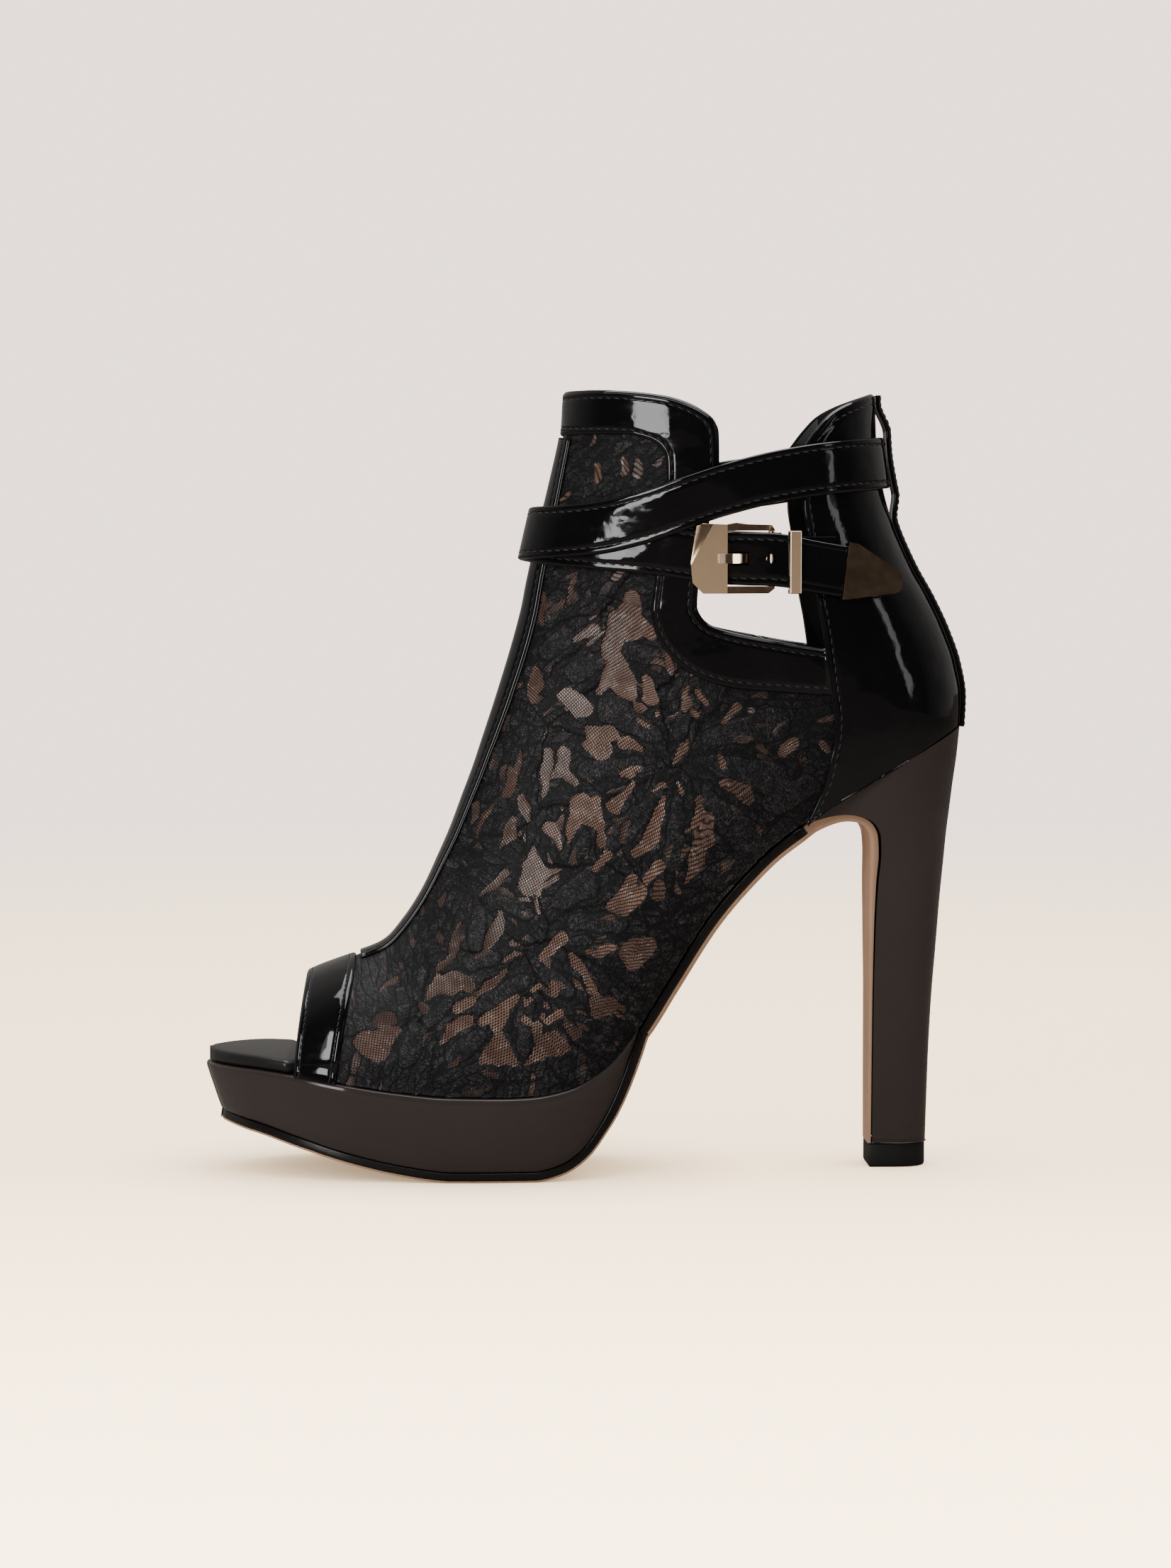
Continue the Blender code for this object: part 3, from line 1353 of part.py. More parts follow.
def build_keeper(tree, material):
    """Keeper: a metal loop round the chape and the ankle strap."""
    x = KEEPER_PLACE
    middle = KEEPER_MIDDLE * COLLAR_HEIGHT
    y = side_y(tree, x, middle, -1.0)
    lift = STRAP_ROUTE[2][2] * STRAP_THICKNESS
    front = y - strap_base() - lift - STRAP_THICKNESS - 1.5 * GAP
    back = y + 0.0004
    reach = STRAP_WIDTH / 2.0 + 2.0 * GAP
    rings = []
    for wall, place in ((0.0, -1.0), (KEEPER_THICKNESS, -1.0), (KEEPER_THICKNESS, 1.0), (0.0, 1.0)):
        at = x + place * KEEPER_LENGTH / 2.0
        rings.append([(at, front - wall, middle - reach - wall), (at, front - wall, middle + reach + wall),
                      (at, back + wall, middle + reach + wall), (at, back + wall, middle - reach - wall)])
    points = [point for ring in rings for point in ring]
    faces = []
    for index in range(4):
        after = (index + 1) % 4
        for step in range(4):
            beside = (step + 1) % 4
            faces.append((index * 4 + step, index * 4 + beside, after * 4 + beside, after * 4 + step))
    return finish(mesh_object("keeper", points, faces), material)


def build_strap_tip(tree, material):
    """Metal tip capping the strap's end."""
    frame = tail_frame(strap_sections(tree))
    root = TAIL_LENGTH - TIP_POCKET + GAP
    outline = [(root + along * TIP_LENGTH, across * STRAP_WIDTH) for along, across in TIP_OUTLINE]
    half = STRAP_THICKNESS / 2.0
    item = framed_prism("strap_tip", frame, outline, -half - GAP - TIP_WALL, half + GAP + TIP_WALL)
    reach = STRAP_WIDTH / 2.0 + GAP
    pocket = [(root - 0.01, -reach), (root - 0.01, reach),
              (root + TIP_POCKET, reach), (root + TIP_POCKET, -reach)]
    combine(item, framed_prism("pocket", frame, pocket, -half - GAP, half + GAP), "DIFFERENCE")
    return finish(item, material)


def centre_pieces():
    """Move every piece so that the origin lies under the middle of the whole shoe."""
    items = list(bpy.context.scene.collection.objects)
    points = [vertex.co for item in items for vertex in item.data.vertices]
    move = Vector((min(point.x for point in points) + max(point.x for point in points),
                   min(point.y for point in points) + max(point.y for point in points), 0.0)) / -2.0
    for item in items:
        for vertex in item.data.vertices:
            vertex.co += move


def main():
    """Build every piece."""
    clear_scene()
    materials = {name: make_material(name) for name in MATERIALS}
    tree = fine_surface()
    build_outsole(tree, materials["tan_sole"])
    build_platform(tree, materials["platform_wrap"])
    build_heel(materials["platform_wrap"])
    build_heel_tip(materials["heel_rubber"])
    build_insole(tree, materials["padded_lining"])
    build_upper(materials["lace_fabric"])
    build_toe_band(materials["black_patent"])
    build_collar_band(materials["black_patent"])
    build_quarter(materials["black_patent"])
    build_throat_strip(materials["black_patent"])
    build_back_strip(materials["black_patent"])
    build_strap(tree, materials["black_patent"])
    build_chape(tree, materials["black_patent"])
    build_buckle_frame(tree, materials["rose_gold"])
    build_prong(tree, materials["rose_gold"])
    build_keeper(tree, materials["rose_gold"])
    build_strap_tip(tree, materials["rose_gold"])
    centre_pieces()


main()
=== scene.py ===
"""Looks of the lace ankle boot: the left shoe, toe to -X, heel to +X, outer side to -Y, up +Z."""
import math

import bpy
import bmesh
import numpy as np
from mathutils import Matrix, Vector
from mathutils.bvhtree import BVHTree


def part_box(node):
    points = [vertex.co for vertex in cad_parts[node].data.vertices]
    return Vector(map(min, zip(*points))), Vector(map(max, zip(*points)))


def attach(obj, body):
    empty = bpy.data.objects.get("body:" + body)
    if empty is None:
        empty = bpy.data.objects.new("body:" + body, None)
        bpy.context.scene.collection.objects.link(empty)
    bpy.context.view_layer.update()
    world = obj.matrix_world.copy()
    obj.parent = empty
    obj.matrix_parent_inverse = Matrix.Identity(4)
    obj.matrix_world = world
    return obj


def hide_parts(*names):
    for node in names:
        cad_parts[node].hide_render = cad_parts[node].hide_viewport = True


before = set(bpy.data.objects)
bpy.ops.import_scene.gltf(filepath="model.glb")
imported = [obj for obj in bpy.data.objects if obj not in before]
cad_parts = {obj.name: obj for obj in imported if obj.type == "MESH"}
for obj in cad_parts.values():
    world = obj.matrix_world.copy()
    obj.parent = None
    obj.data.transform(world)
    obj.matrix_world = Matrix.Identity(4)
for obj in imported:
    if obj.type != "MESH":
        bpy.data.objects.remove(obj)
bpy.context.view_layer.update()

# Sizes shared with the part's source, in metres
SHOE_LENGTH = 0.2440
COLLAR_HEIGHT = 0.2490
HEEL_HEIGHT = 0.1395
PLATFORM_HEIGHT = 0.0270
TOE_SPRING = 0.0076
BALL_WIDTH = 0.0760
ANKLE_WIDTH = 0.0620
GAP = 0.0003
UPPER_WALL = 0.0016
OVERLAY_THICKNESS = 0.0011
THROAT_STRIP_WIDTH = 0.0156
ANKLE_AXIS = 0.1639 * SHOE_LENGTH
BREAST_PLACE = 0.37582 * SHOE_LENGTH
HEEL_TIP_FRONT = 0.0008

# The part is centred on its box, so its pieces stand a little off the places in the tables.
MOVE_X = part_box("heel_tip")[0].x - (BREAST_PLACE - HEEL_TIP_FRONT)

LAST = [
    # throat_x, throat_z, base_x, base_z, widest, ball, ankle, axis, ridge, top, low, flat
    (-0.494, 0.162, -0.494, 0.104, 0.55, 0.036, 0.0, 0.066, 0.066, 2.0, 3.0, 2.0),
    (-0.489, 0.173, -0.4897, 0.08, 0.56, 0.102, 0.0, 0.066, 0.066, 2.0, 3.2, 2.0),
    (-0.4755, 0.186, -0.4775, 0.06, 0.57, 0.176, 0.0, 0.064, 0.066, 2.0, 3.6, 2.0),
    (-0.45, 0.205, -0.4545, 0.044, 0.57, 0.262, 0.0, 0.058, 0.064, 2.1, 4.0, 2.0),
    (-0.409, 0.229, -0.415, 0.028, 0.57, 0.348, 0.0, 0.05, 0.058, 2.2, 4.0, 2.0),
    (-0.3635, 0.25, -0.3705, 0.016, 0.56, 0.411, 0.0, 0.036, 0.05, 2.2, 4.0, 2.0),
    (-0.31, 0.27, -0.311, 0.008, 0.53, 0.463, 0.0, 0.022, 0.042, 2.1, 4.0, 2.0),
    (-0.263, 0.289, -0.238, 0.0, 0.48, 0.487, 0.0, 0.012, 0.036, 1.9, 4.0, 2.0),
    (-0.235, 0.319, -0.184, -0.008, 0.42, 0.497, 0.0, 0.004, 0.032, 1.7, 4.0, 2.0),
    (-0.209, 0.359, -0.127, -0.008, 0.38, 0.497, 0.0, -0.004, 0.028, 1.55, 4.0, 2.0),
    (-0.189, 0.401, -0.0615, 0.008, 0.33, 0.482, 0.0, -0.017, 0.024, 1.5, 3.8, 2.0),
    (-0.1725, 0.438, 0.0, 0.04, 0.31, 0.458, 0.0, -0.03, 0.02, 1.45, 3.4, 2.0),
    (-0.1565, 0.48, 0.0575, 0.088, 0.33, 0.432, 0.0, -0.037, 0.016, 1.42, 2.9, 2.0),
    (-0.142, 0.518, 0.115, 0.153, 0.36, 0.412, 0.0, -0.037, 0.012, 1.4, 2.3, 2.0),
    (-0.1305, 0.552, 0.18, 0.221, 0.38, 0.395, 0.0, -0.03, 0.01, 1.4, 1.8, 2.0),
    (-0.115, 0.598, 0.262, 0.289, 0.4, 0.19, 0.236, -0.022, 0.008, 1.4, 1.55, 2.0),
    (-0.1025, 0.637, 0.344, 0.345, 0.42, 0.0, 0.47, -0.014, 0.006, 1.42, 1.5, 2.0),
    (-0.092, 0.671, 0.414, 0.41, 0.44, 0.0, 0.47, -0.006, 0.004, 1.44, 2.0, 2.1),
    (-0.083, 0.703, 0.457, 0.474, 0.45, 0.0, 0.474, 0.0, 0.002, 1.45, 3.1, 2.3),
    (-0.0775, 0.725, 0.4755, 0.526, 0.45, 0.0, 0.478, 0.0, 0.0, 1.46, 3.2, 2.3),
    (-0.0725, 0.751, 0.487, 0.574, 0.45, 0.0, 0.482, 0.0, 0.0, 1.48, 3.0, 2.2),
    (-0.0668, 0.777, 0.4885, 0.61, 0.46, 0.0, 0.486, 0.0, 0.0, 1.5, 2.7, 2.1),
    (-0.0598, 0.807, 0.482, 0.649, 0.47, 0.0, 0.49, 0.0, 0.0, 1.5, 2.4, 2.0),
    (-0.0529, 0.837, 0.468, 0.689, 0.48, 0.0, 0.494, 0.0, 0.0, 1.5, 2.2, 2.0),
    (-0.0459, 0.865, 0.448, 0.731, 0.49, 0.0, 0.496, 0.0, 0.0, 1.52, 2.1, 2.0),
    (-0.0389, 0.894, 0.423, 0.775, 0.5, 0.0, 0.498, 0.0, 0.0, 1.54, 2.0, 2.0),
    (-0.0328, 0.92, 0.399, 0.829, 0.5, 0.0, 0.5, 0.0, 0.0, 1.56, 2.0, 2.0),
    (-0.0279, 0.944, 0.385, 0.878, 0.5, 0.0, 0.5, 0.0, 0.0, 1.58, 2.0, 2.0),
    (-0.025, 0.968, 0.377, 0.928, 0.5, 0.0, 0.5, 0.0, 0.0, 1.6, 2.0, 2.0),
    (-0.0242, 0.998, 0.3747, 0.984, 0.5, 0.0, 0.5, 0.0, 0.0, 1.6, 2.0, 2.0),
    (-0.0238, 1.032, 0.374, 1.032, 0.5, 0.0, 0.5, 0.0, 0.0, 1.6, 2.0, 2.0),
]

FOOT_BED = [
    # along, rise, spring
    (-0.502, 0.0, 1.0), (-0.44, 0.0, 0.97), (-0.377, 0.0, 0.8), (-0.328, 0.0, 0.57), (-0.25, 0.0, 0.22),
    (-0.18, 0.0, 0.03), (-0.11, 0.0, 0.0), (-0.075, 0.003, 0.0), (-0.03, 0.021, 0.0), (0.019, 0.076, 0.0),
    (0.054, 0.157, 0.0), (0.101, 0.316, 0.0), (0.159, 0.508, 0.0), (0.202, 0.617, 0.0), (0.236, 0.69, 0.0),
    (0.27, 0.746, 0.0), (0.318, 0.816, 0.0), (0.36, 0.868, 0.0), (0.423, 0.944, 0.0), (0.466, 0.996, 0.0),
    (0.52, 1.06, 0.0),
]

PLATFORM_BLOCK = [
    # along, block
    (-0.502, 0.64), (-0.43, 0.74), (-0.374, 0.836), (-0.303, 0.93), (-0.234, 0.985), (-0.172, 1.012),
    (-0.12, 1.016), (-0.07, 1.018), (-0.042, 0.998), (-0.01, 0.9), (0.009, 0.762), (0.031, 0.54),
    (0.048, 0.3), (0.062, 0.046),
]

HEEL_FRONT = [
    # along, drop, half, thick
    (0.165, 0.012, 1.22, 0.9), (0.39, 0.028, 1.16, 0.6), (0.617, 0.048, 1.08, 0.4),
    (0.823, 0.075, 0.99, 0.35), (0.975, 0.109, 0.92, 0.4), (1.045, 0.145, 0.86, 0.45),
    (1.058, 0.189, 0.81, 0.45), (1.033, 0.252, 0.75, 0.3), (1.012, 0.37, 0.67, 0.1),
    (1.004, 0.52, 0.58, 0.0), (1.0, 0.7, 0.51, 0.0),
]

HEEL_LEVELS = [
    # height, back, half, widest
    (0.0, 0.995, 0.5, 0.42), (0.137, 1.025, 0.52, 0.42), (0.262, 1.055, 0.575, 0.42),
    (0.39, 1.105, 0.65, 0.42), (0.516, 1.18, 0.76, 0.42), (0.62, 1.24, 0.88, 0.4),
    (0.705, 1.3, 1.03, 0.34), (0.77, 1.345, 1.21, 0.2), (0.82, 1.39, 1.39, 0.05),
    (0.89, 1.456, 1.52, -0.1), (0.96, 1.53, 1.58, -0.2), (1.06, 1.6, 1.6, -0.25),
]

COLLAR_LINE = [
    # along, height
    (-0.06, 0.9985), (0.002, 0.9985), (0.05, 0.996), (0.099, 0.9895), (0.124, 0.982), (0.145, 0.971),
    (0.158, 0.96), (0.1632, 0.9465), (0.164, 0.91), (0.151, 0.83), (0.1378, 0.745), (0.137, 0.727),
    (0.1432, 0.712), (0.157, 0.7005), (0.181, 0.6935), (0.21, 0.6878), (0.244, 0.6818), (0.272, 0.6768),
]
QUARTER_FRONT = [
    # along, height
    (0.304, 0.672), (0.2995, 0.706), (0.2925, 0.741), (0.282, 0.8165), (0.2765, 0.855), (0.277, 0.9235),
    (0.2865, 0.937), (0.2975, 0.9515), (0.3145, 0.9695), (0.3335, 0.9805), (0.352, 0.988), (0.372, 0.995),
    (0.4, 0.9985),
]
# Lower edge of the collar band, and the seam of the quarter below the cut-out.
BAND_EDGE = [
    # along, height
    (-0.06, 0.943), (0.0172, 0.9445), (0.049, 0.944), (0.066, 0.9405), (0.0824, 0.9345), (0.094, 0.924),
    (0.0995, 0.9095), (0.1, 0.89), (0.093, 0.825), (0.0852, 0.759), (0.0812, 0.718), (0.0844, 0.698),
    (0.0985, 0.6715), (0.1217, 0.648), (0.1516, 0.6325), (0.1914, 0.623), (0.2442, 0.619),
    (0.3125, 0.6145),
]
QUARTER_SEAM = [
    # along, height
    (0.3125, 0.6145), (0.3175, 0.58), (0.317, 0.556), (0.312, 0.53), (0.304, 0.498), (0.292, 0.47),
    (0.28, 0.445),
]
# Front and rear edge of the toe band.
TOE_FRONT = [
    # along, height
    (-0.355, 0.3), (-0.361, 0.27), (-0.365, 0.251), (-0.3725, 0.205), (-0.377, 0.17), (-0.381, 0.13),
    (-0.383, 0.1),
]
TOE_REAR = [
    # along, height
    (-0.299, 0.3), (-0.304, 0.255), (-0.311, 0.221), (-0.3195, 0.175), (-0.3265, 0.128), (-0.33, 0.1),
]

# More sizes shared with the part's source, in metres or as shares
STRAP_WIDTH = 0.0165
STRAP_THICKNESS = 0.0019
TAIL_LENGTH = 0.0075
BACK_STRIP_WIDTH = 0.0100
BACK_STRIP_THICKNESS = 0.0016
LOOP_HEIGHT = 0.0215
LOOP_SLACK = 0.0011
LOOP_FOOT = 1.80
LOOP_FADE = 0.90
BUCKLE_LENGTH = 0.0267
BUCKLE_PLATE = 0.0115
HOLE_STEP = 0.0040
SLOT_HALF = 0.0029
HOLE_PITCH = 0.0097
HOLE_DIAMETER = 0.0030
PRONG_WIDTH = 0.0030
CUT_OUTWARD = 0.0120
CUT_INWARD = 0.0060
PLATFORM_LEDGE = 0.0013
PLATFORM_TAPER = 0.0030
TOE_RAKE = 0.0020
TOE_RAKE_LENGTH = 0.0300
OUTSOLE_THICKNESS = 0.0030
WAIST_THICKNESS = 0.0042
WAIST_INSET = 0.0010
WAIST_BEVEL = 0.0016
SOLE_BEVEL = 0.0005
BREAST_HALF = 0.46
FLAP_THICKNESS = 0.0011
INSOLE_THICKNESS = 0.0040
INSOLE_TOE_INSET = 0.0012
INSOLE_STEP = 0.0020
LIP_LENGTH = 0.0257
HEEL_TIP_HEIGHT = 0.0075
HEEL_TIP_WIDTH = 0.0166
HEEL_TIP_LENGTH = 0.0182
HEEL_TIP_MIDDLE = 0.45
HEEL_REACH = 1.10
HEEL_SIDE_POWER = 0.86
HEEL_BACK_POWER = 0.90
TOE_TIP = -0.4938
INSOLE_END = 0.4640
PLATFORM_END = 0.0615
WAIST_START = 0.0100
WAIST_FADE = 0.0700
HEEL_TOP_START = 0.20
HEEL_CUT_START = 0.12
HEEL_TOP_END = 0.53
TIP_REACH = 0.0120
SEAM_LEVEL = 0.0010
TIP_INSET = 0.0002
BUCKLE_PLACE = 0.1283 * SHOE_LENGTH
BUCKLE_MIDDLE = 0.7876 * COLLAR_HEIGHT

# Route of the ankle strap's middle: azimuth in degrees round the ankle, height and lift as shares.
STRAP_ROUTE = [
    # azimuth, height, lift
    (142.0, 0.7715, 0.84), (134.0, 0.7775, 0.84), (126.0, 0.7835, 0.86), (117.0, 0.7865, 0.94),
    (108.0, 0.7875, 0.62), (98.0, 0.7885, 0.12), (92.0, 0.789, 0.0), (76.0, 0.7935, 0.0), (53.0, 0.8, 0.0),
    (21.0, 0.808, 0.0), (0.0, 0.815, 0.0), (-21.0, 0.829, 0.0), (-53.0, 0.853, 0.0), (-76.0, 0.87, 0.0),
    (-100.0, 0.88, 0.0), (-125.0, 0.888, 0.0), (-155.0, 0.902, 0.0), (-180.0, 0.908, 0.0),
    (-205.0, 0.904, 0.0), (-235.0, 0.892, 0.0), (-270.0, 0.871, 0.1), (-290.0, 0.856, 1.0),
    (-315.0, 0.837, 1.15), (-335.0, 0.824, 1.15), (-360.0, 0.814, 1.15), (-385.0, 0.806, 1.15),
    (-405.0, 0.803, 1.15), (-430.0, 0.798, 1.0), (-450.0, 0.793, 0.1), (-470.0, 0.789, 0.0),
    (-492.0, 0.786, 0.0),
]


STRAP_STEP = 1.5
STRAP_TAIL = (0.97, 0.80, 0.60, 0.40, 0.20)
BACK_SAG = 0.0007
STITCH_PITCH = 0.0030
FINE_PITCH = 0.0021
PANEL_TOP = 0.00128
STITCH_LENGTH = 0.0021
STITCH_RADIUS = 0.00021
SEAM_INSET = 0.0022
TOE_SEAM = 0.0020
QUARTER_INSET = 0.0024
STAY_SEAM = 0.0016
GROOVE_DEPTH = 0.00022
GROOVE_WIDTH = 0.0004
SHEET_REACH = 0.0009
FINE_REACH = 0.0016
COARSE_STEP = 0.0013
ANKLE_SCALE = 0.035
SQUARE = ((-1.0, -1.0), (1.0, -1.0), (1.0, 1.0), (-1.0, 1.0))

# Radius of a rolled edge and its level under the surface, after its distance in from the edge
ROLL = (0.0008, 0.0013, -0.0001)

# Places that stand opposite each other on the collar binding's two edges, and the rows between them
BAND_ANCHORS = [((0.1450, 0.9710), (0.0824, 0.9345)), ((0.1632, 0.9465), (0.0995, 0.9095)),
                ((0.1378, 0.7450), (0.0852, 0.7590)), ((0.1570, 0.7005), (0.0985, 0.6715)),
                ((0.2100, 0.6880), (0.1914, 0.6230))]
BAND_COUNTS = (46, 16, 44, 22, 16, 22)

# Top of the back, and how the quarter's columns crowd towards its seam
QUARTER_TOP = 0.9960 * COLLAR_HEIGHT
QUARTER_ROWS = 96
NEAR_SEAM = (0.0, 0.0035, 0.010, 0.020, 0.032, 0.042, 0.049, 0.056, 0.066)
QUARTER_STEPS = np.concatenate([NEAR_SEAM, np.linspace(NEAR_SEAM[-1], 1.0, 56)[1:]])

# Edge of the platform from bottom to top: how far it stands out from the ledge, and its height share
PLATFORM_PROFILE = [
    # out, height
    (-0.0046, 0.0), (-0.0038, 0.001), (-0.0033, 0.008), (-0.003, 0.03), (-0.0024, 0.16), (-0.0018, 0.32),
    (-0.0012, 0.5), (-0.0006, 0.68), (-0.0002, 0.82), (0.0, 0.91), (-0.0001, 0.95), (-0.0004, 0.975),
    (-0.0009, 0.993), (-0.0016, 1.0),
]

# Section of the outsole's side: how far it is bevelled in, and its depth, as shares
SOLE_PROFILE = [
    # in, deep
    (0.02, 0.0), (0.0, 0.08), (0.0, 0.42), (0.0, 0.6), (0.1, 0.68), (0.5, 0.88), (0.85, 0.98), (1.0, 1.0),
]
SOLE_PAINT = 0.64
FOREPART_PAINT = 0.22

# Edge of the insole from bottom to top, as shares
PAD_PROFILE = [
    # up, in
    (0.04, 0.5), (0.12, 0.22), (0.28, 0.06), (0.48, 0.0), (0.62, 0.0), (0.78, 0.12), (0.9, 0.35),
    (0.97, 0.65), (1.0, 1.1), (1.05, 2.2),
]

# Side of the top piece from bottom to top: height as a share, and inset
TOP_PIECE_PROFILE = [
    # height, inset
    (0.0, 0.0006), (0.02, 0.0003), (0.06, 0.0001), (0.12, 0.0), (0.95, 0.0), (1.0, 0.0002),
]
HEEL_STEPS = 49
FACET_LINE = ((BUCKLE_PLACE + 0.0072, 0.2072), (BUCKLE_PLACE, 0.1940))
FACET_SLOPE = 0.16
TIP_COVER = 0.0225
NOSE_TURNS = (84.0, 70.0, 50.0, 25.0)
NOSE_DEPTH = 0.0005


class Tree:
    """Short calls that build the nodes of a material or a world."""

    def __init__(self, owner, output="OutputMaterial"):
        owner.use_nodes = True
        self.nodes = owner.node_tree.nodes
        self.links = owner.node_tree.links
        self.nodes.clear()
        self.surface = self.node(output).inputs["Surface"]

    def node(self, kind, settings=(), *values, **sockets):
        """Node with its settings; values join its sockets in order or by names with underscores."""
        node = self.nodes.new("ShaderNode" + kind)
        for name, value in dict(settings).items():
            setattr(node, name, value)
        for value, socket in zip(values, node.inputs):
            self.join(value, socket)
        for name, value in sockets.items():
            self.join(value, node.inputs[name.replace("_", " ")])
        return node

    def join(self, value, socket):
        """Link a socket to a socket, or set a plain value; a colour may come without its alpha."""
        if isinstance(value, bpy.types.NodeSocket):
            self.links.new(value, socket)
        else:
            socket.default_value = (*value, 1.0)[:4] if socket.type == "RGBA" else value

    def place(self):
        """Object coordinates, which are the row frame's metres."""
        return self.node("TexCoord").outputs["Object"]

    def attribute(self, name):
        """Vector kept at a piece's points under a name."""
        return self.node("Attribute", {"attribute_name": name}).outputs["Vector"]

    def step(self, value, low, high):
        """Number from 0 at low to 1 at high, with soft ends."""
        return self.node("MapRange", {"interpolation_type": "SMOOTHSTEP"},
                         Value=value, From_Min=low, From_Max=high).outputs["Result"]

    def math(self, operation, first, *more):
        """Math on one number, or on several from the left."""
        if not more:
            return self.node("Math", {"operation": operation}, first).outputs[0]
        for value in more:
            first = self.node("Math", {"operation": operation}, first, value).outputs[0]
        return first

    def plus(self, *values):
        return self.math("ADD", *values)

    def minus(self, *values):
        return self.math("SUBTRACT", *values)

    def times(self, *values):
        return self.math("MULTIPLY", *values)

    def stretch(self, vector, scale):
        """Vector times a vector."""
        return self.node("VectorMath", {"operation": "MULTIPLY"}, vector, scale).outputs[0]

    def noise(self, vector, scale, detail=2.0, rough=0.5):
        """Smooth noise from 0 to 1; scale in waves per metre."""
        return self.node("TexNoise", Vector=vector, Scale=scale, Detail=detail,
                         Roughness=rough).outputs["Fac"]

    def cells(self, vector, scale):
        """Distance from the nearest border between random cells, and the cell's random number."""
        edge = self.node("TexVoronoi", {"feature": "DISTANCE_TO_EDGE"}, Vector=vector, Scale=scale)
        cell = self.node("TexVoronoi", Vector=vector, Scale=scale)
        return edge.outputs["Distance"], self.split(cell.outputs["Color"])[0]

    def split(self, vector):
        """The three parts of a vector."""
        return self.node("SeparateXYZ", (), vector).outputs

    def ramp(self, value, stops, scale=1.0, shift=0.0):
        """Number, shifted and then scaled, through a ramp of (place, grey or colour) stops."""
        if shift != 0.0:
            value = self.plus(value, shift)
        if scale != 1.0:
            value = self.times(value, scale)
        node = self.node("ValToRGB", (), value)
        elements = node.color_ramp.elements
        while len(elements) < len(stops):
            elements.new(0.5)
        for element, (place, colour) in zip(elements, stops):
            element.position = place
            element.color = (*colour, 1.0) if isinstance(colour, tuple) else (colour, colour, colour, 1.0)
        return node.outputs[0]

    def mix(self, share, first, second):
        """Mix of two colours."""
        node = self.node("Mix", {"data_type": "RGBA"}, Factor=share)
        self.join(first, node.inputs[6])
        self.join(second, node.inputs[7])
        return node.outputs[2]

    def bump(self, *layers, strength=1.0):
        """Bump normal from layers of (height of 0 to 1, distance in metres), the lowest first."""
        normal = None
        for height, distance in layers:
            node = self.node("Bump", Strength=strength, Distance=distance, Height=height)
            if normal is not None:
                self.join(normal, node.inputs["Normal"])
            normal = node.outputs[0]
        return normal

    def shader(self, **values):
        """Principled shader as the surface, with socket names written with underscores."""
        self.join(self.node("BsdfPrincipled", **values).outputs[0], self.surface)


def new_material(name):
    """Empty node material and its tree."""
    material = bpy.data.materials.new(name)
    return material, Tree(material)


def make_patent():
    """Black patent: a deep gloss that ripples gently, with dust-fine grain and faint handling marks."""
    material, tree = new_material("patent")
    place = tree.place()
    slow = tree.noise(place, 75.0, 1.5)
    dents = tree.noise(place, 190.0, 1.0)
    quick = tree.noise(place, 420.0, 2.0)
    marks = tree.noise(tree.stretch(place, (60.0, 60.0, 140.0)), 2.0, 4.0)
    tree.shader(Base_Color=tree.mix(slow, (0.0035, 0.0035, 0.0042), (0.0065, 0.0063, 0.0070)),
                Roughness=tree.ramp(marks, [(0.45, 0.045), (0.62, 0.09), (0.75, 0.16)]),
                Normal=tree.bump((slow, 0.0004), (dents, 0.00009), (quick, 0.000018)),
                IOR=1.50, Coat_Weight=0.15, Coat_Roughness=0.03)
    return material


def make_wrap():
    """Black wrap of platform and heel: smoother and a little duller than the patent."""
    material, tree = new_material("wrap")
    place = tree.place()
    slow = tree.noise(place, 38.0, 1.0)
    quick = tree.noise(place, 260.0, 2.0)
    marks = tree.noise(place, 130.0, 5.0)
    tree.shader(Base_Color=tree.mix(slow, (0.0480, 0.0375, 0.0345), (0.0580, 0.0455, 0.0420)),
                Roughness=tree.ramp(marks, [(0.40, 0.10), (0.60, 0.15), (0.78, 0.26)]),
                Normal=tree.bump((slow, 0.00012), (quick, 0.000012)),
                IOR=1.42, Coat_Weight=0.08, Coat_Roughness=0.08)
    return material


def make_gold(name, low, high, smooth, dull):
    """Pale rose gold: brushed one way, a little cloudy."""
    material, tree = new_material(name)
    place = tree.place()
    brushed = tree.noise(tree.stretch(place, (900.0, 900.0, 2600.0)), 1.0, 3.0)
    cloud = tree.noise(place, 320.0, 3.0)
    tree.shader(Base_Color=tree.mix(cloud, low, high), Metallic=1.0, Normal=tree.bump((brushed, 0.0000008)),
                Roughness=tree.ramp(cloud, [(0.35, smooth), (0.70, dull)]))
    return material


def leather(tree, low, high):
    """Colour and grain of tan sole leather."""
    place = tree.place()
    grain = tree.noise(tree.stretch(place, (240.0, 900.0, 240.0)), 1.0, 3.0)
    return tree.mix(tree.noise(place, 60.0, 3.0), low, high), tree.bump((grain, 0.00003))


def make_tan():
    """Tan sole leather with a faint grain."""
    material, tree = new_material("tan_sole")
    colour, normal = leather(tree, (0.56, 0.37, 0.235), (0.66, 0.46, 0.31))
    tree.shader(Base_Color=colour, Roughness=0.42, Normal=normal, Specular_IOR_Level=0.4)
    return material


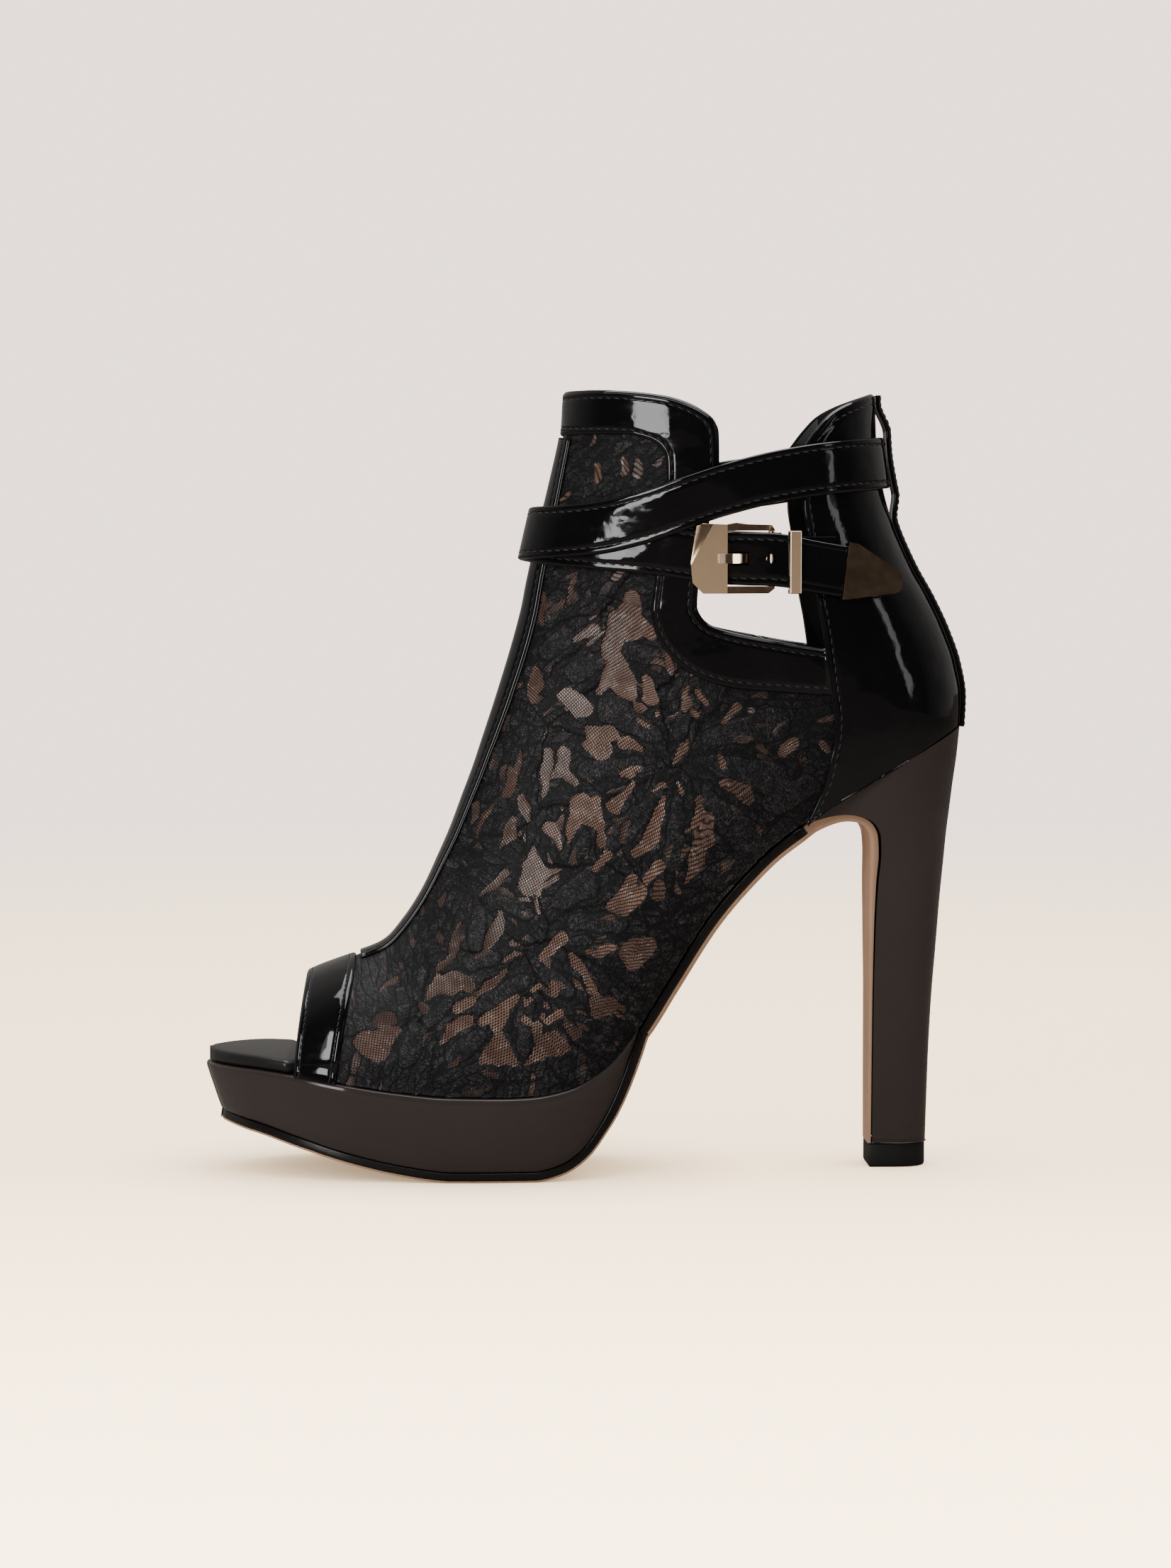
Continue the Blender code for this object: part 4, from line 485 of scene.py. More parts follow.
def make_sole():
    """Tan sole leather whose edge is blacked, with the black worn a little at its border."""
    material, tree = new_material("sole_leather")
    tan, normal = leather(tree, (0.56, 0.335, 0.205), (0.70, 0.450, 0.295))
    paint = tree.split(tree.attribute("paint"))[0]
    worn = tree.plus(paint, tree.times(tree.noise(tree.place(), 700.0, 3.0), 0.25))
    black = tree.step(worn, 0.50, 0.66)
    tree.shader(Base_Color=tree.mix(black, tan, (0.012, 0.010, 0.009)), Normal=normal,
                Roughness=tree.ramp(black, [(0.0, 0.42), (1.0, 0.24)]))
    return material


def make_rubber():
    """Matte black rubber of the heel's top piece."""
    material, tree = new_material("heel_rubber")
    grain = tree.noise(tree.place(), 1500.0, 3.0)
    tree.shader(Base_Color=(0.012, 0.012, 0.012), Roughness=0.55, Normal=tree.bump((grain, 0.00002)))
    return material


def make_lining():
    """Smooth black lining leather of the insole."""
    material, tree = new_material("lining")
    place = tree.place()
    normal = tree.bump((tree.noise(place, 60.0, 2.0), 0.00020), (tree.noise(place, 900.0, 3.0), 0.00002))
    tree.shader(Base_Color=(0.014, 0.013, 0.013), Roughness=0.36, Normal=normal, Coat_Weight=0.15,
                Coat_Roughness=0.25)
    return material


def make_thread():
    """Waxed black thread, a little greyer than the patent."""
    material, tree = new_material("thread")
    fibre = tree.noise(tree.place(), 5200.0, 2.0)
    colour = tree.mix(fibre, (0.018, 0.018, 0.020), (0.060, 0.060, 0.066))
    tree.shader(Base_Color=colour, Roughness=0.42, Normal=tree.bump((fibre, 0.00005)))
    return material


THREAD = make_thread()
PATENT = make_patent()
WRAP = make_wrap()
GOLD = make_gold("rose_gold", (0.66, 0.440, 0.265), (0.78, 0.535, 0.335), 0.17, 0.22)
# The rim gold is the same rose gold in a brighter colour, a painted highlight on the bevelled rims and the
# prong, and smoother as polished rims are
GOLD_HIGHLIGHT_RIM = make_gold("rose_gold_highlight_rim", (0.93, 0.700, 0.480), (0.97, 0.760, 0.540), 0.10, 0.14)
TAN = make_tan()
SOLE = make_sole()
RUBBER = make_rubber()
LINING = make_lining()


def knot_slopes(knots, values):
    """Limited slopes of a smooth curve through a table's rows."""
    secants = (values[1:] - values[:-1]) / (knots[1:] - knots[:-1])[:, None]
    before = secants[:-1]
    after = secants[1:]
    total = before + after
    safe = np.where(np.abs(total) < 1e-12, 1.0, total)
    inner = np.where(before * after > 0.0, 2.0 * before * after / safe, 0.0)
    return np.vstack([secants[:1], inner, secants[-1:]])


def curve_rows(table, places, knots=None):
    """Columns of a table at many places, on the same smooth curve as the part's."""
    values = np.asarray(table, float)
    if knots is None:
        knots = values[:, 0]
    slopes = knot_slopes(knots, values)
    places = np.clip(np.asarray(places, float), knots[0], knots[-1])
    index = np.clip(np.searchsorted(knots, places, side="right") - 1, 0, len(knots) - 2)
    span = (knots[index + 1] - knots[index])[..., None]
    t = (places - knots[index])[..., None] / span
    rest = 1.0 - t
    return (values[index] * (1.0 + 2.0 * t) * rest * rest + slopes[index] * span * t * rest * rest
            + values[index + 1] * (3.0 - 2.0 * t) * t * t - slopes[index + 1] * span * t * t * rest)


LAST_ROWS = np.array(LAST)
STATIONS = np.arange(len(LAST), dtype=float)
TOP_STATION = float(len(LAST) - 1)


def foot_bed(x):
    """Height of the seam between upper and sole at x."""
    rows = curve_rows(FOOT_BED, np.asarray(x) / SHOE_LENGTH)
    return PLATFORM_HEIGHT + rows[..., 1] * (HEEL_HEIGHT - PLATFORM_HEIGHT) + rows[..., 2] * TOE_SPRING


def ring_points(station, turn):
    """Points of the last.  Turn 0 is the throat, 1 the base by the outer side, 2 the throat again."""
    station = np.clip(station, 0.0, TOP_STATION)
    turn = np.mod(turn, 2.0)
    (throat_x, throat_z, base_x, base_z, widest, ball, ankle,
     axis, ridge, top, low, flat) = np.moveaxis(curve_rows(LAST_ROWS, station, STATIONS), -1, 0)
    half = ball * BALL_WIDTH + ankle * ANKLE_WIDTH
    side = np.where(turn <= 1.0, -1.0, 1.0)
    way = np.where(turn <= 1.0, turn, 2.0 - turn)
    upper = way <= 0.5
    first = math.pi / 2.0 * (1.0 - way / 0.5)
    second = math.pi / 2.0 * (way - 0.5) / 0.5
    rise_first = np.maximum(np.sin(first), 0.0) ** (2.0 / top)
    rise_second = np.maximum(np.sin(second), 0.0) ** (2.0 / low)
    wide = np.where(upper, np.maximum(np.cos(first), 0.0),
                    np.maximum(np.cos(second), 0.0) ** (2.0 / flat))
    share = np.where(upper, widest + (1.0 - widest) * rise_first, widest * (1.0 - rise_second))
    middle = axis * BALL_WIDTH + np.where(upper, (ridge - axis) * BALL_WIDTH * rise_first, 0.0)
    x = (base_x + (throat_x - base_x) * share) * SHOE_LENGTH
    z = (base_z + (throat_z - base_z) * share) * COLLAR_HEIGHT
    return np.stack([x, middle + side * half * wide, z], axis=-1)


def normals(station, turn):
    """Unit vectors out of the last's surface."""
    step = 0.02
    along = (ring_points(np.minimum(station + step, TOP_STATION), turn)
             - ring_points(np.maximum(station - step, 0.0), turn))
    around = ring_points(station, turn + step) - ring_points(station, turn - step)
    out = -np.cross(along, around)
    return out / np.maximum(np.linalg.norm(out, axis=-1, keepdims=True), 1e-12)


def side_view(points):
    """(x, z) of points."""
    return points[..., [0, 2]]


def distances(points, axis=0):
    """Distance run along an axis of points, from 0 at its start."""
    steps = np.linalg.norm(np.diff(points, axis=axis), axis=-1)
    return np.insert(np.cumsum(steps, axis=axis), 0, 0.0, axis=axis)


def at_distance(places, run, line):
    """Points of a line at distances along it."""
    return np.stack([np.interp(places, run, column) for column in line.T], axis=-1)


def unit(vectors):
    """Vectors scaled to length 1."""
    return vectors / np.linalg.norm(vectors, axis=-1, keepdims=True)


def soft_share(value, low, high):
    """Share from 0 at low to 1 at high, with soft ends."""
    share = np.clip((value - low) / (high - low), 0.0, 1.0)
    return share * share * (3.0 - 2.0 * share)


def x_at(line, z):
    """Where a side view line stands at heights."""
    order = np.argsort(line[:, 1])
    return np.interp(z, line[order, 1], line[order, 0])


def ankle_view(points, way=-1.0):
    """(azimuth scaled to metres, z) of points: azimuth 0 in front, positive to the outer side."""
    azimuth = np.arctan2(-points[..., 1], way * (points[..., 0] - ANKLE_AXIS))
    return np.stack([azimuth * ANKLE_SCALE, points[..., 2]], axis=-1)


GUESS_STATIONS, GUESS_TURNS = np.meshgrid(np.arange(0.0, TOP_STATION + 0.01, 0.25),
                                          np.arange(0.0, 2.0, 1.0 / 40.0), indexing="ij")
GUESS_POINTS = ring_points(GUESS_STATIONS, GUESS_TURNS)


def locate(view, target, side=None, rounds=14):
    """Stations and turns whose points have the target in a view; side -1 keeps to the outer side."""
    target = np.asarray(target, float)
    flat = target.reshape(-1, 2)
    keep = np.ones(GUESS_TURNS.shape, bool)
    low, high = (1.002, 1.998)
    if side is not None:
        keep = GUESS_TURNS < 1.0 if side < 0 else GUESS_TURNS > 1.0
        low, high = (0.002, 0.998) if side < 0 else (low, high)
    seen = view(GUESS_POINTS)[keep]
    s = np.empty(len(flat))
    t = np.empty(len(flat))
    for start in range(0, len(flat), 400):
        part = slice(start, start + 400)
        nearest = ((flat[part, None, :] - seen[None]) ** 2).sum(-1).argmin(1)
        s[part] = GUESS_STATIONS[keep][nearest]
        t[part] = GUESS_TURNS[keep][nearest]
    for _ in range(rounds):
        error = flat - view(ring_points(s, t))
        by_station = (view(ring_points(s + 1e-3, t)) - view(ring_points(s - 1e-3, t))) / 2e-3
        by_turn = (view(ring_points(s, t + 1e-4)) - view(ring_points(s, t - 1e-4))) / 2e-4
        det = by_station[:, 0] * by_turn[:, 1] - by_station[:, 1] * by_turn[:, 0]
        det = np.where(np.abs(det) < 1e-9, 1e-9, det)
        step_s = (error[:, 0] * by_turn[:, 1] - error[:, 1] * by_turn[:, 0]) / det
        step_t = (by_station[:, 0] * error[:, 1] - by_station[:, 1] * error[:, 0]) / det
        s = np.clip(s + np.clip(step_s, -0.6, 0.6), 0.0, TOP_STATION)
        t = t + np.clip(step_t, -0.04, 0.04)
        if side is not None:
            t = np.clip(t, low, high)
    shape = target.shape[:-1]
    return s.reshape(shape), np.mod(t, 2.0).reshape(shape)


def add_piece(name, points, faces, material, *nodes, slot="black_patent"):
    """Mesh piece on the part's body, in place of CAD nodes if they are named."""
    mesh = bpy.data.meshes.new(name)
    points = np.asarray(points, float) + np.array([MOVE_X, 0.0, 0.0])
    mesh.from_pydata(points.tolist(), [], [tuple(int(i) for i in face) for face in faces])
    mesh.shade_smooth()
    mesh.materials.append(material)
    item = bpy.data.objects.new(name, mesh)
    bpy.context.scene.collection.objects.link(item)
    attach(item, "root")
    if nodes:
        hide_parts(*nodes)
    return item


def grid_faces(rows, columns, around=False, start=0):
    """Quads of a grid of points; around joins the last column to the first."""
    index = np.arange(rows * columns).reshape(rows, columns) + start
    after = np.roll(index, -1, axis=1)
    count = columns if around else columns - 1
    quads = np.stack([index[:-1, :count], index[1:, :count], after[1:, :count], after[:-1, :count]], -1)
    return quads.reshape(-1, 4)


def tube_faces(rows, columns, start=0):
    """Grid closed round its columns, with a face at each end."""
    faces = [tuple(face) for face in grid_faces(rows, columns, True, start)]
    faces.append(tuple(range(start + columns - 1, start - 1, -1)))
    last = start + (rows - 1) * columns
    faces.append(tuple(range(last, last + columns)))
    return faces


def add_loop(name, loop, material, *nodes, slot="black_patent"):
    """Solid from rows of points, each row closed round it."""
    return add_piece(name, np.reshape(loop, (-1, 3)), tube_faces(*np.shape(loop)[:2]), material, *nodes,
                     slot=slot)


def rim_loop(rows, columns):
    """Indices once round the edge of a grid of points."""
    index = np.arange(rows * columns).reshape(rows, columns)
    return np.concatenate([index[0, :], index[1:, -1], index[-1, -2::-1], index[-2:0:-1, 0]])


def edge_steps(width, seam):
    """Shares across a panel: close together at its two edges and at its seams."""
    places = {0.0}
    places.update(FINE_REACH * share for share in (0.10, 0.30, 0.60, 1.0))
    places.update(seam + off for off in (-0.0006, -0.0003, 0.0, 0.0003, 0.0006))
    half = width / 2.0
    start = max(places)
    count = max(int(math.ceil((half - start) / COARSE_STEP)), 1)
    places.update(start + (half - start) * step / count for step in range(1, count + 1))
    near = np.array(sorted(places))
    return np.concatenate([near, width - near[::-1][1:]]) / width


def edge_round(distance, thickness, reach):
    """Height of a rounded edge at a distance from it."""
    share = np.clip(distance / reach, 0.0, 1.0)
    return thickness * np.sqrt(np.clip(1.0 - (1.0 - share) ** 2, 0.0, 1.0))


def soft_edge(distance, reach):
    """Height of a leather panel at a distance from its edge."""
    return 0.25 * OVERLAY_THICKNESS + edge_round(distance, 0.75 * OVERLAY_THICKNESS, reach)


def groove(distance, seam):
    """Depth that a seam's stitches pull in at a distance from the edge."""
    return GROOVE_DEPTH * np.exp(-((distance - seam) / GROOVE_WIDTH) ** 2)


def panel(name, s, t, node, seam, reach, crown):
    """Patent panel over the last: rows run along it and columns across, with soft edges and seams."""
    points, out = ring_points(s, t), normals(s, t)
    run = distances(points, 1)
    width = run[:, -1:]
    height = np.full(run.shape, OVERLAY_THICKNESS)
    for distance in (run, width - run):
        height = np.minimum(height, soft_edge(distance, reach)) - groove(distance, seam)
    height = height + crown * np.sin(math.pi * run / width)
    low = points + out * GAP
    top = points + out * (GAP + height)[..., None]
    add_loop(name, np.concatenate([top, low[:, [-1, points.shape[1] // 2, 0]]], axis=1), PATENT, node)


def smooth_line(rows, pieces=12):
    """Side view points in metres along a smooth curve through a table's rows."""
    points = np.array(rows) * (SHOE_LENGTH, COLLAR_HEIGHT)
    knots = distances(points)
    places = np.unique(np.concatenate([np.linspace(a, b, pieces + 1) for a, b in zip(knots, knots[1:])]))
    return curve_rows(points, places, knots)


def resample(line, count=None, warp=None):
    """Points spread along a line of any dimension, evenly or by shares of its length."""
    run = distances(line)
    return at_distance(run[-1] * (np.linspace(0.0, 1.0, count + 1) if warp is None else warp), run, line)


def seen_line(view, line, side):
    """Side view points in another view, where the last has them."""
    found = ring_points(*locate(side_view, line, side))
    return view(found)[np.linalg.norm(side_view(found) - line, axis=1) < 2e-5]


def ankle_line(rows, side):
    """Line on the ankle in (azimuth scaled, z), from a side view table that starts in front."""
    line = smooth_line(rows)
    seen = seen_line(ankle_view, line, side)
    start = np.array([0.0, line[0, 1]])
    steps = np.linspace(0.0, 1.0, 24)[:-1, None]
    return np.vstack([start + (seen[0] - start) * np.hstack([steps, steps ** 2]), seen])


def nearest_index(line, point):
    """Index of a line's point nearest to another."""
    return int(((line - point) ** 2).sum(1).argmin())


def ankle_at(x, z, side):
    """(azimuth scaled, z) of a side view place given as shares."""
    s, t = locate(side_view, np.array([[x * SHOE_LENGTH, z * COLLAR_HEIGHT]]), side)
    return ankle_view(ring_points(s, t))[0]


def paired(first, second, anchors, counts):
    """Two lines resampled so that the named anchor points on both stand opposite each other."""
    rows_first = []
    rows_second = []
    ends = [(0, 0)] + [(nearest_index(first, a), nearest_index(second, b)) for a, b in anchors]
    ends.append((len(first) - 1, len(second) - 1))
    for (a0, b0), (a1, b1), count in zip(ends, ends[1:], counts):
        piece_first = resample(first[a0:a1 + 1], count)
        piece_second = resample(second[b0:b1 + 1], count)
        skip = 1 if rows_first else 0
        rows_first.append(piece_first[skip:])
        rows_second.append(piece_second[skip:])
    return np.vstack(rows_first), np.vstack(rows_second)


def sheet(name, points, out, thickness, node, seam, lift=0.0):
    """Patent band from rows of points and their outward vectors, rounded and grooved at both edges."""
    run = distances(points, 1)
    near = np.minimum(run, run[:, -1:] - run)
    half = thickness / 2.0
    middle = np.reshape(lift, (-1, 1)) + half
    bulge = 0.25 * half + 0.75 * edge_round(near, half, SHEET_REACH)
    top = points + out * (middle + bulge - groove(near, seam))[..., None]
    under = points + out * (middle - bulge)[..., None]
    return add_loop(name, np.concatenate([top, under[:, ::-1]], axis=1), PATENT, node)


def cut(item, name, outline, near, far):
    """Take a prism over a side view outline out of a piece; the outline is in unshifted places."""
    count = len(outline)
    points = [(x + MOVE_X, y, z) for y in (near, far) for x, z in outline]
    faces = [tuple(range(count)), tuple(range(2 * count - 1, count - 1, -1))]
    faces += [(i, i + count, (i + 1) % count + count, (i + 1) % count) for i in range(count)]
    mesh = bpy.data.meshes.new(name)
    mesh.from_pydata(points, [], faces)
    shape = bmesh.new()
    shape.from_mesh(mesh)
    bmesh.ops.recalc_face_normals(shape, faces=shape.faces)
    shape.to_mesh(mesh)
    shape.free()
    tool = bpy.data.objects.new(name, mesh)
    bpy.context.scene.collection.objects.link(tool)
    change = item.modifiers.new(name, "BOOLEAN")
    change.operation = "DIFFERENCE"
    change.solver = "EXACT"
    change.object = tool
    bake(item)
    bpy.data.objects.remove(tool, do_unlink=True)


def bake(item):
    """Turn a piece's modifiers into its mesh."""
    bpy.context.view_layer.update()
    ready = item.evaluated_get(bpy.context.evaluated_depsgraph_get())
    mesh = bpy.data.meshes.new_from_object(ready)
    item.modifiers.clear()
    item.data = mesh


def bevel(item, width, segments, degrees, **settings):
    """Round a piece's edges that are sharper than an angle."""
    change = item.modifiers.new("round", "BEVEL")
    change.width = width
    change.segments = segments
    change.limit_method = "ANGLE"
    change.angle_limit = math.radians(degrees)
    for name, value in settings.items():
        setattr(change, name, value)
    bake(item)
    item.data.shade_smooth()


def cad_mesh(node):
    """Points of a CAD node before the part's shift, and its faces."""
    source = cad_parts[node]
    shift = Vector((MOVE_X, 0.0, 0.0))
    points = [source.matrix_world @ vertex.co - shift for vertex in source.data.vertices]
    return points, [tuple(face.vertices) for face in source.data.polygons]


def rounded_copy(name, node, material, slot, width, rim=None):
    """Copy of a CAD node with its edges rounded, and the rounding in a material of its own if named."""
    item = add_piece(name, *cad_mesh(node), material, node, slot=slot)
    shape = bmesh.new()
    shape.from_mesh(item.data)
    bmesh.ops.remove_doubles(shape, verts=shape.verts, dist=1e-6)
    bmesh.ops.dissolve_limit(shape, angle_limit=math.radians(1.0), verts=shape.verts, edges=shape.edges)
    shape.to_mesh(item.data)
    shape.free()
    if rim is not None:
        item.data.materials.append(rim)
    bevel(item, width, 3, 35.0, harden_normals=True, material=-1 if rim is None else 1)
    return item


def inset_line(grid, edge, distance):
    """Points and outward vectors at a distance in from the first or last column of a panel's grid."""
    s, t = grid
    if (t < 0.5).any() and (t > 1.5).any():
        t = np.where(t > 1.5, t - 2.0, t)
    if edge:
        s, t = s[:, ::-1], t[:, ::-1]
    run = distances(ring_points(s, t), 1)
    s, t = (np.array([np.interp(distance, r, row) for r, row in zip(run, values)]) for values in (s, t))
    t = np.mod(t, 2.0)
    return ring_points(s, t), normals(s, t)


def thread_line(points, out, pitch, level):
    """Stitches along a line: (middle, along, side, way out) of each."""
    run = distances(points)
    count = max(int(run[-1] / pitch), 1)
    made = []
    for place in (np.arange(count) + 0.5) * run[-1] / count:
        along = at_distance(place + 0.0006, run, points) - at_distance(place - 0.0006, run, points)
        if np.linalg.norm(along) < 1e-9:
            continue
        along = unit(along)
        way = at_distance(place, run, out)
        way = unit(way - along * way.dot(along))
        made.append((at_distance(place, run, points) + way * level, along, np.cross(along, way), way))
    return made


def add_stitches(name, stitches):
    """One piece from many stitches, each a small rounded bar that leans and dips in at its ends."""
    sides = 6
    rings = ((-0.50, 0.30, -0.9), (-0.40, 0.80, -0.3), (-0.18, 1.0, 0.25), (0.18, 1.0, 0.25),
             (0.40, 0.80, -0.3), (0.50, 0.30, -0.9))
    points = []
    faces = []
    for centre, along, side, way in stitches:
        start = len(points)
        last = start + (len(rings) - 1) * sides
        for a in range(start, last, sides):
            faces += [(a + i, a + (i + 1) % sides, a + sides + (i + 1) % sides, a + sides + i)
                      for i in range(sides)]
        faces += [range(start + sides - 1, start - 1, -1), range(last, last + sides)]
        lean = along + side * 0.12
        for place, size, up in rings:
            middle = centre + lean * place * STITCH_LENGTH + way * up * STITCH_RADIUS
            for angle in np.arange(sides) * math.tau / sides:
                ray = side * math.cos(angle) + way * math.sin(angle)
                points.append(middle + ray * STITCH_RADIUS * size)
    add_piece(name, points, faces, THREAD)


def grid_between(first, second, shares):
    """Points between two lines: one row per pair and one column per share."""
    shares = np.asarray(shares)[None, :, None]
    return first[:, None] * (1.0 - shares) + second[:, None] * shares


def make_collar_band():
    """Binding over the front collar, down round both cut-outs to the rear quarter."""
    halves = []
    for side in (-1.0, 1.0):
        rim = ankle_line(COLLAR_LINE + QUARTER_FRONT[:1], side)
        hem = ankle_line(BAND_EDGE, side)
        anchors = [(ankle_at(*a, side), ankle_at(*b, side)) for a, b in BAND_ANCHORS]
        halves.append(paired(rim, hem, anchors, BAND_COUNTS))
    rim, hem = (np.vstack([halves[1][k][::-1], halves[0][k][1:]]) for k in (0, 1))
    grid = locate(ankle_view, grid_between(rim, hem, edge_steps(0.0125, SEAM_INSET)))
    panel("collar_binding", *grid, "collar_band", SEAM_INSET, 0.0012, 0.0002)
    return grid


def heel_view(points):
    """The same with azimuth 0 in the middle of the back."""
    return ankle_view(points, 1.0)


def back_line(line, side, end_z):
    """Side view points in the heel view, led on to a height in the middle of the back."""
    seen = seen_line(heel_view, line, side)
    steps = np.linspace(0.0, 1.0, 16)[1:, None]
    last = seen[-1]
    tail = last + (np.array([0.0, end_z]) - last) * steps
    tail[:, 1] = end_z + (last[1] - end_z) * (1.0 - steps[:, 0]) ** 2
    return np.vstack([seen, tail])


def seat_line(side, start_x):
    """Line in the heel view along the seam between quarter and sole, to the middle of the back."""
    base = ring_points(np.linspace(16.0, 22.0, 400), np.ones(400))
    cross = base[int(np.argmax(base[:, 2] - foot_bed(base[:, 0]) - GAP > 0.0))]
    xs = start_x + (cross[0] - start_x) * np.sin(np.linspace(0.0, math.pi / 2.0, 60))
    return back_line(np.stack([xs, foot_bed(xs) + GAP], axis=1), side, cross[2])


def coons(bottom, top, front, back):
    """Grid inside four lines of points: bottom and top run the same way, as do front and back."""
    u = np.linspace(0.0, 1.0, len(bottom))[:, None, None]
    v = np.linspace(0.0, 1.0, len(front))[None, :, None]
    sides = bottom[:, None] * (1.0 - v) + top[:, None] * v
    ends = front[None] * (1.0 - u) + back[None] * u
    corners = (bottom[0] * (1 - u) * (1 - v) + bottom[-1] * u * (1 - v)
               + top[0] * (1 - u) * v + top[-1] * u * v)
    return sides + ends - corners


def make_quarter():
    """Rear quarter, wrapped round the back from seam to seam."""
    rows = []
    for side in (-1.0, 1.0):
        bottom = seat_line(side, QUARTER_SEAM[-1][0] * SHOE_LENGTH)
        top = back_line(smooth_line(QUARTER_FRONT[5:-1]), side, QUARTER_TOP)
        bottom, top = (resample(line, warp=QUARTER_STEPS) for line in (bottom, top))
        edge = smooth_line(QUARTER_SEAM[::-1] + QUARTER_FRONT[1:6])
        front = resample(heel_view(ring_points(*locate(side_view, edge, side))), QUARTER_ROWS)
        front[0], front[-1] = bottom[0], top[0]
        back = np.linspace(bottom[-1], top[-1], QUARTER_ROWS + 1) * (0.0, 1.0)
        rows.append(locate(heel_view, coons(bottom, top, front, back)))
    s, t = (np.vstack([rows[0][k], rows[1][k][::-1][1:]]) for k in (0, 1))
    points, out = ring_points(s, t), normals(s, t)
    run, rise = distances(points), distances(points, 1)
    distance = np.minimum(np.minimum(run, run[-1] - run), rise[:, -1:] - rise)
    height = soft_edge(distance, 0.0012) - groove(distance, QUARTER_INSET)
    top = points + out * (GAP + height)[..., None]
    quads = grid_faces(*s.shape)
    ring = rim_loop(*s.shape)
    after = np.roll(ring, -1)
    faces = [*quads, *(quads[:, ::-1] + s.size), *zip(ring, after, after + s.size, ring + s.size)]
    add_piece("rear_quarter", np.concatenate([top.reshape(-1, 3), (points + out * GAP).reshape(-1, 3)]),
              faces, PATENT, "quarter")
    return s, t


def edge_station(table, turn):
    """Stations where turns of the toe meet a side view edge given from top to bottom."""
    line = smooth_line(table)
    low = np.full(turn.shape, 1.0)
    high = np.full(turn.shape, 9.5)
    for _ in range(40):
        middle = (low + high) / 2.0
        points = ring_points(middle, turn)
        past = points[..., 0] > x_at(line, points[..., 2])
        high = np.where(past, middle, high)
        low = np.where(past, low, middle)
    return (low + high) / 2.0


def toe_edge(table, count):
    """Stations and turns along a toe edge, from the outer seam over the top to the inner seam."""
    turn = np.linspace(0.0, 0.9, 900)
    ends = []
    for turns in (turn, 2.0 - turn):
        points = ring_points(edge_station(table, turns), turns)
        under = points[:, 2] < foot_bed(points[:, 0]) + GAP
        ends.append(turns[int(np.argmax(under))] if under.any() else turns[-1])
    turns = np.linspace(ends[0], ends[1] - 2.0, count)
    return edge_station(table, np.mod(turns, 2.0)), turns


def make_toe_band():
    """Band round the open toe."""
    shares = edge_steps(0.0138, TOE_SEAM)[None]
    front, rear = toe_edge(TOE_FRONT, 150), toe_edge(TOE_REAR, 150)
    grid = [a[:, None] * (1.0 - shares) + b[:, None] * shares for a, b in zip(front, rear)]
    panel("toe_binding", *grid, "toe_band", TOE_SEAM, 0.0011, 0.0002)
    return grid


def make_throat_strip():
    """Strip down the middle of the front, from the collar binding to the toe band."""
    stations = np.linspace(4.6, 28.5, 240)
    crest = ring_points(stations, np.zeros(240))
    clear = crest[:, 0] > x_at(smooth_line(TOE_REAR), crest[:, 2]) + 2.0 * GAP
    last = np.interp(BAND_EDGE[0][1] * COLLAR_HEIGHT - 2.0 * GAP, crest[:, 2], stations)
    rows = np.linspace(stations[int(np.argmax(clear))], last, 150)
    across = (edge_steps(THROAT_STRIP_WIDTH, SEAM_INSET) - 0.5) * THROAT_STRIP_WIDTH
    s = np.repeat(rows[:, None], len(across), axis=1)
    middle = ring_points(rows, np.zeros(len(rows)))[:, 1][:, None]
    t = -across[None] * 10.0 * np.ones((len(rows), 1))
    for _ in range(25):
        y = ring_points(s, t)[..., 1]
        slope = (ring_points(s, t + 1e-4)[..., 1] - ring_points(s, t - 1e-4)[..., 1]) / 2e-4
        slope = np.where(np.abs(slope) < 1e-3, -1e-3, slope)
        t = t - np.clip((y - middle - across[None]) / slope, -0.03, 0.03)
    panel("throat_piece", s, t, "throat_strip", SEAM_INSET, 0.0011, 0.0003)
    return s, t


COLLAR_GRID = make_collar_band()
QUARTER_GRID = make_quarter()
TOE_GRID = make_toe_band()
THROAT_GRID = make_throat_strip()


def around_ankle(azimuth, height):
    """Points and outward vectors on the last at azimuths in degrees and heights."""
    wrapped = np.mod(azimuth + 180.0, 360.0) - 180.0
    front = np.abs(wrapped) <= 90.0
    behind = np.where(wrapped >= 0.0, 180.0 - wrapped, -180.0 - wrapped)
    s = np.empty(azimuth.shape)
    t = np.empty(azimuth.shape)
    for pick, view, angle in ((front, ankle_view, wrapped), (~front, heel_view, behind)):
        target = np.stack([np.radians(angle[pick]) * ANKLE_SCALE, height[pick]], axis=-1)
        s[pick], t[pick] = locate(view, target)
    return ring_points(s, t), normals(s, t)


def strap_rows():
    """Middle of the strap's route: azimuths, heights and lifts."""
    table = np.array(STRAP_ROUTE)
    azimuth = np.arange(table[0, 0], table[-1, 0], -STRAP_STEP)
    rows = curve_rows(table, -azimuth, -table[:, 0])
    return azimuth, rows[:, 1] * COLLAR_HEIGHT, rows[:, 2] * STRAP_THICKNESS


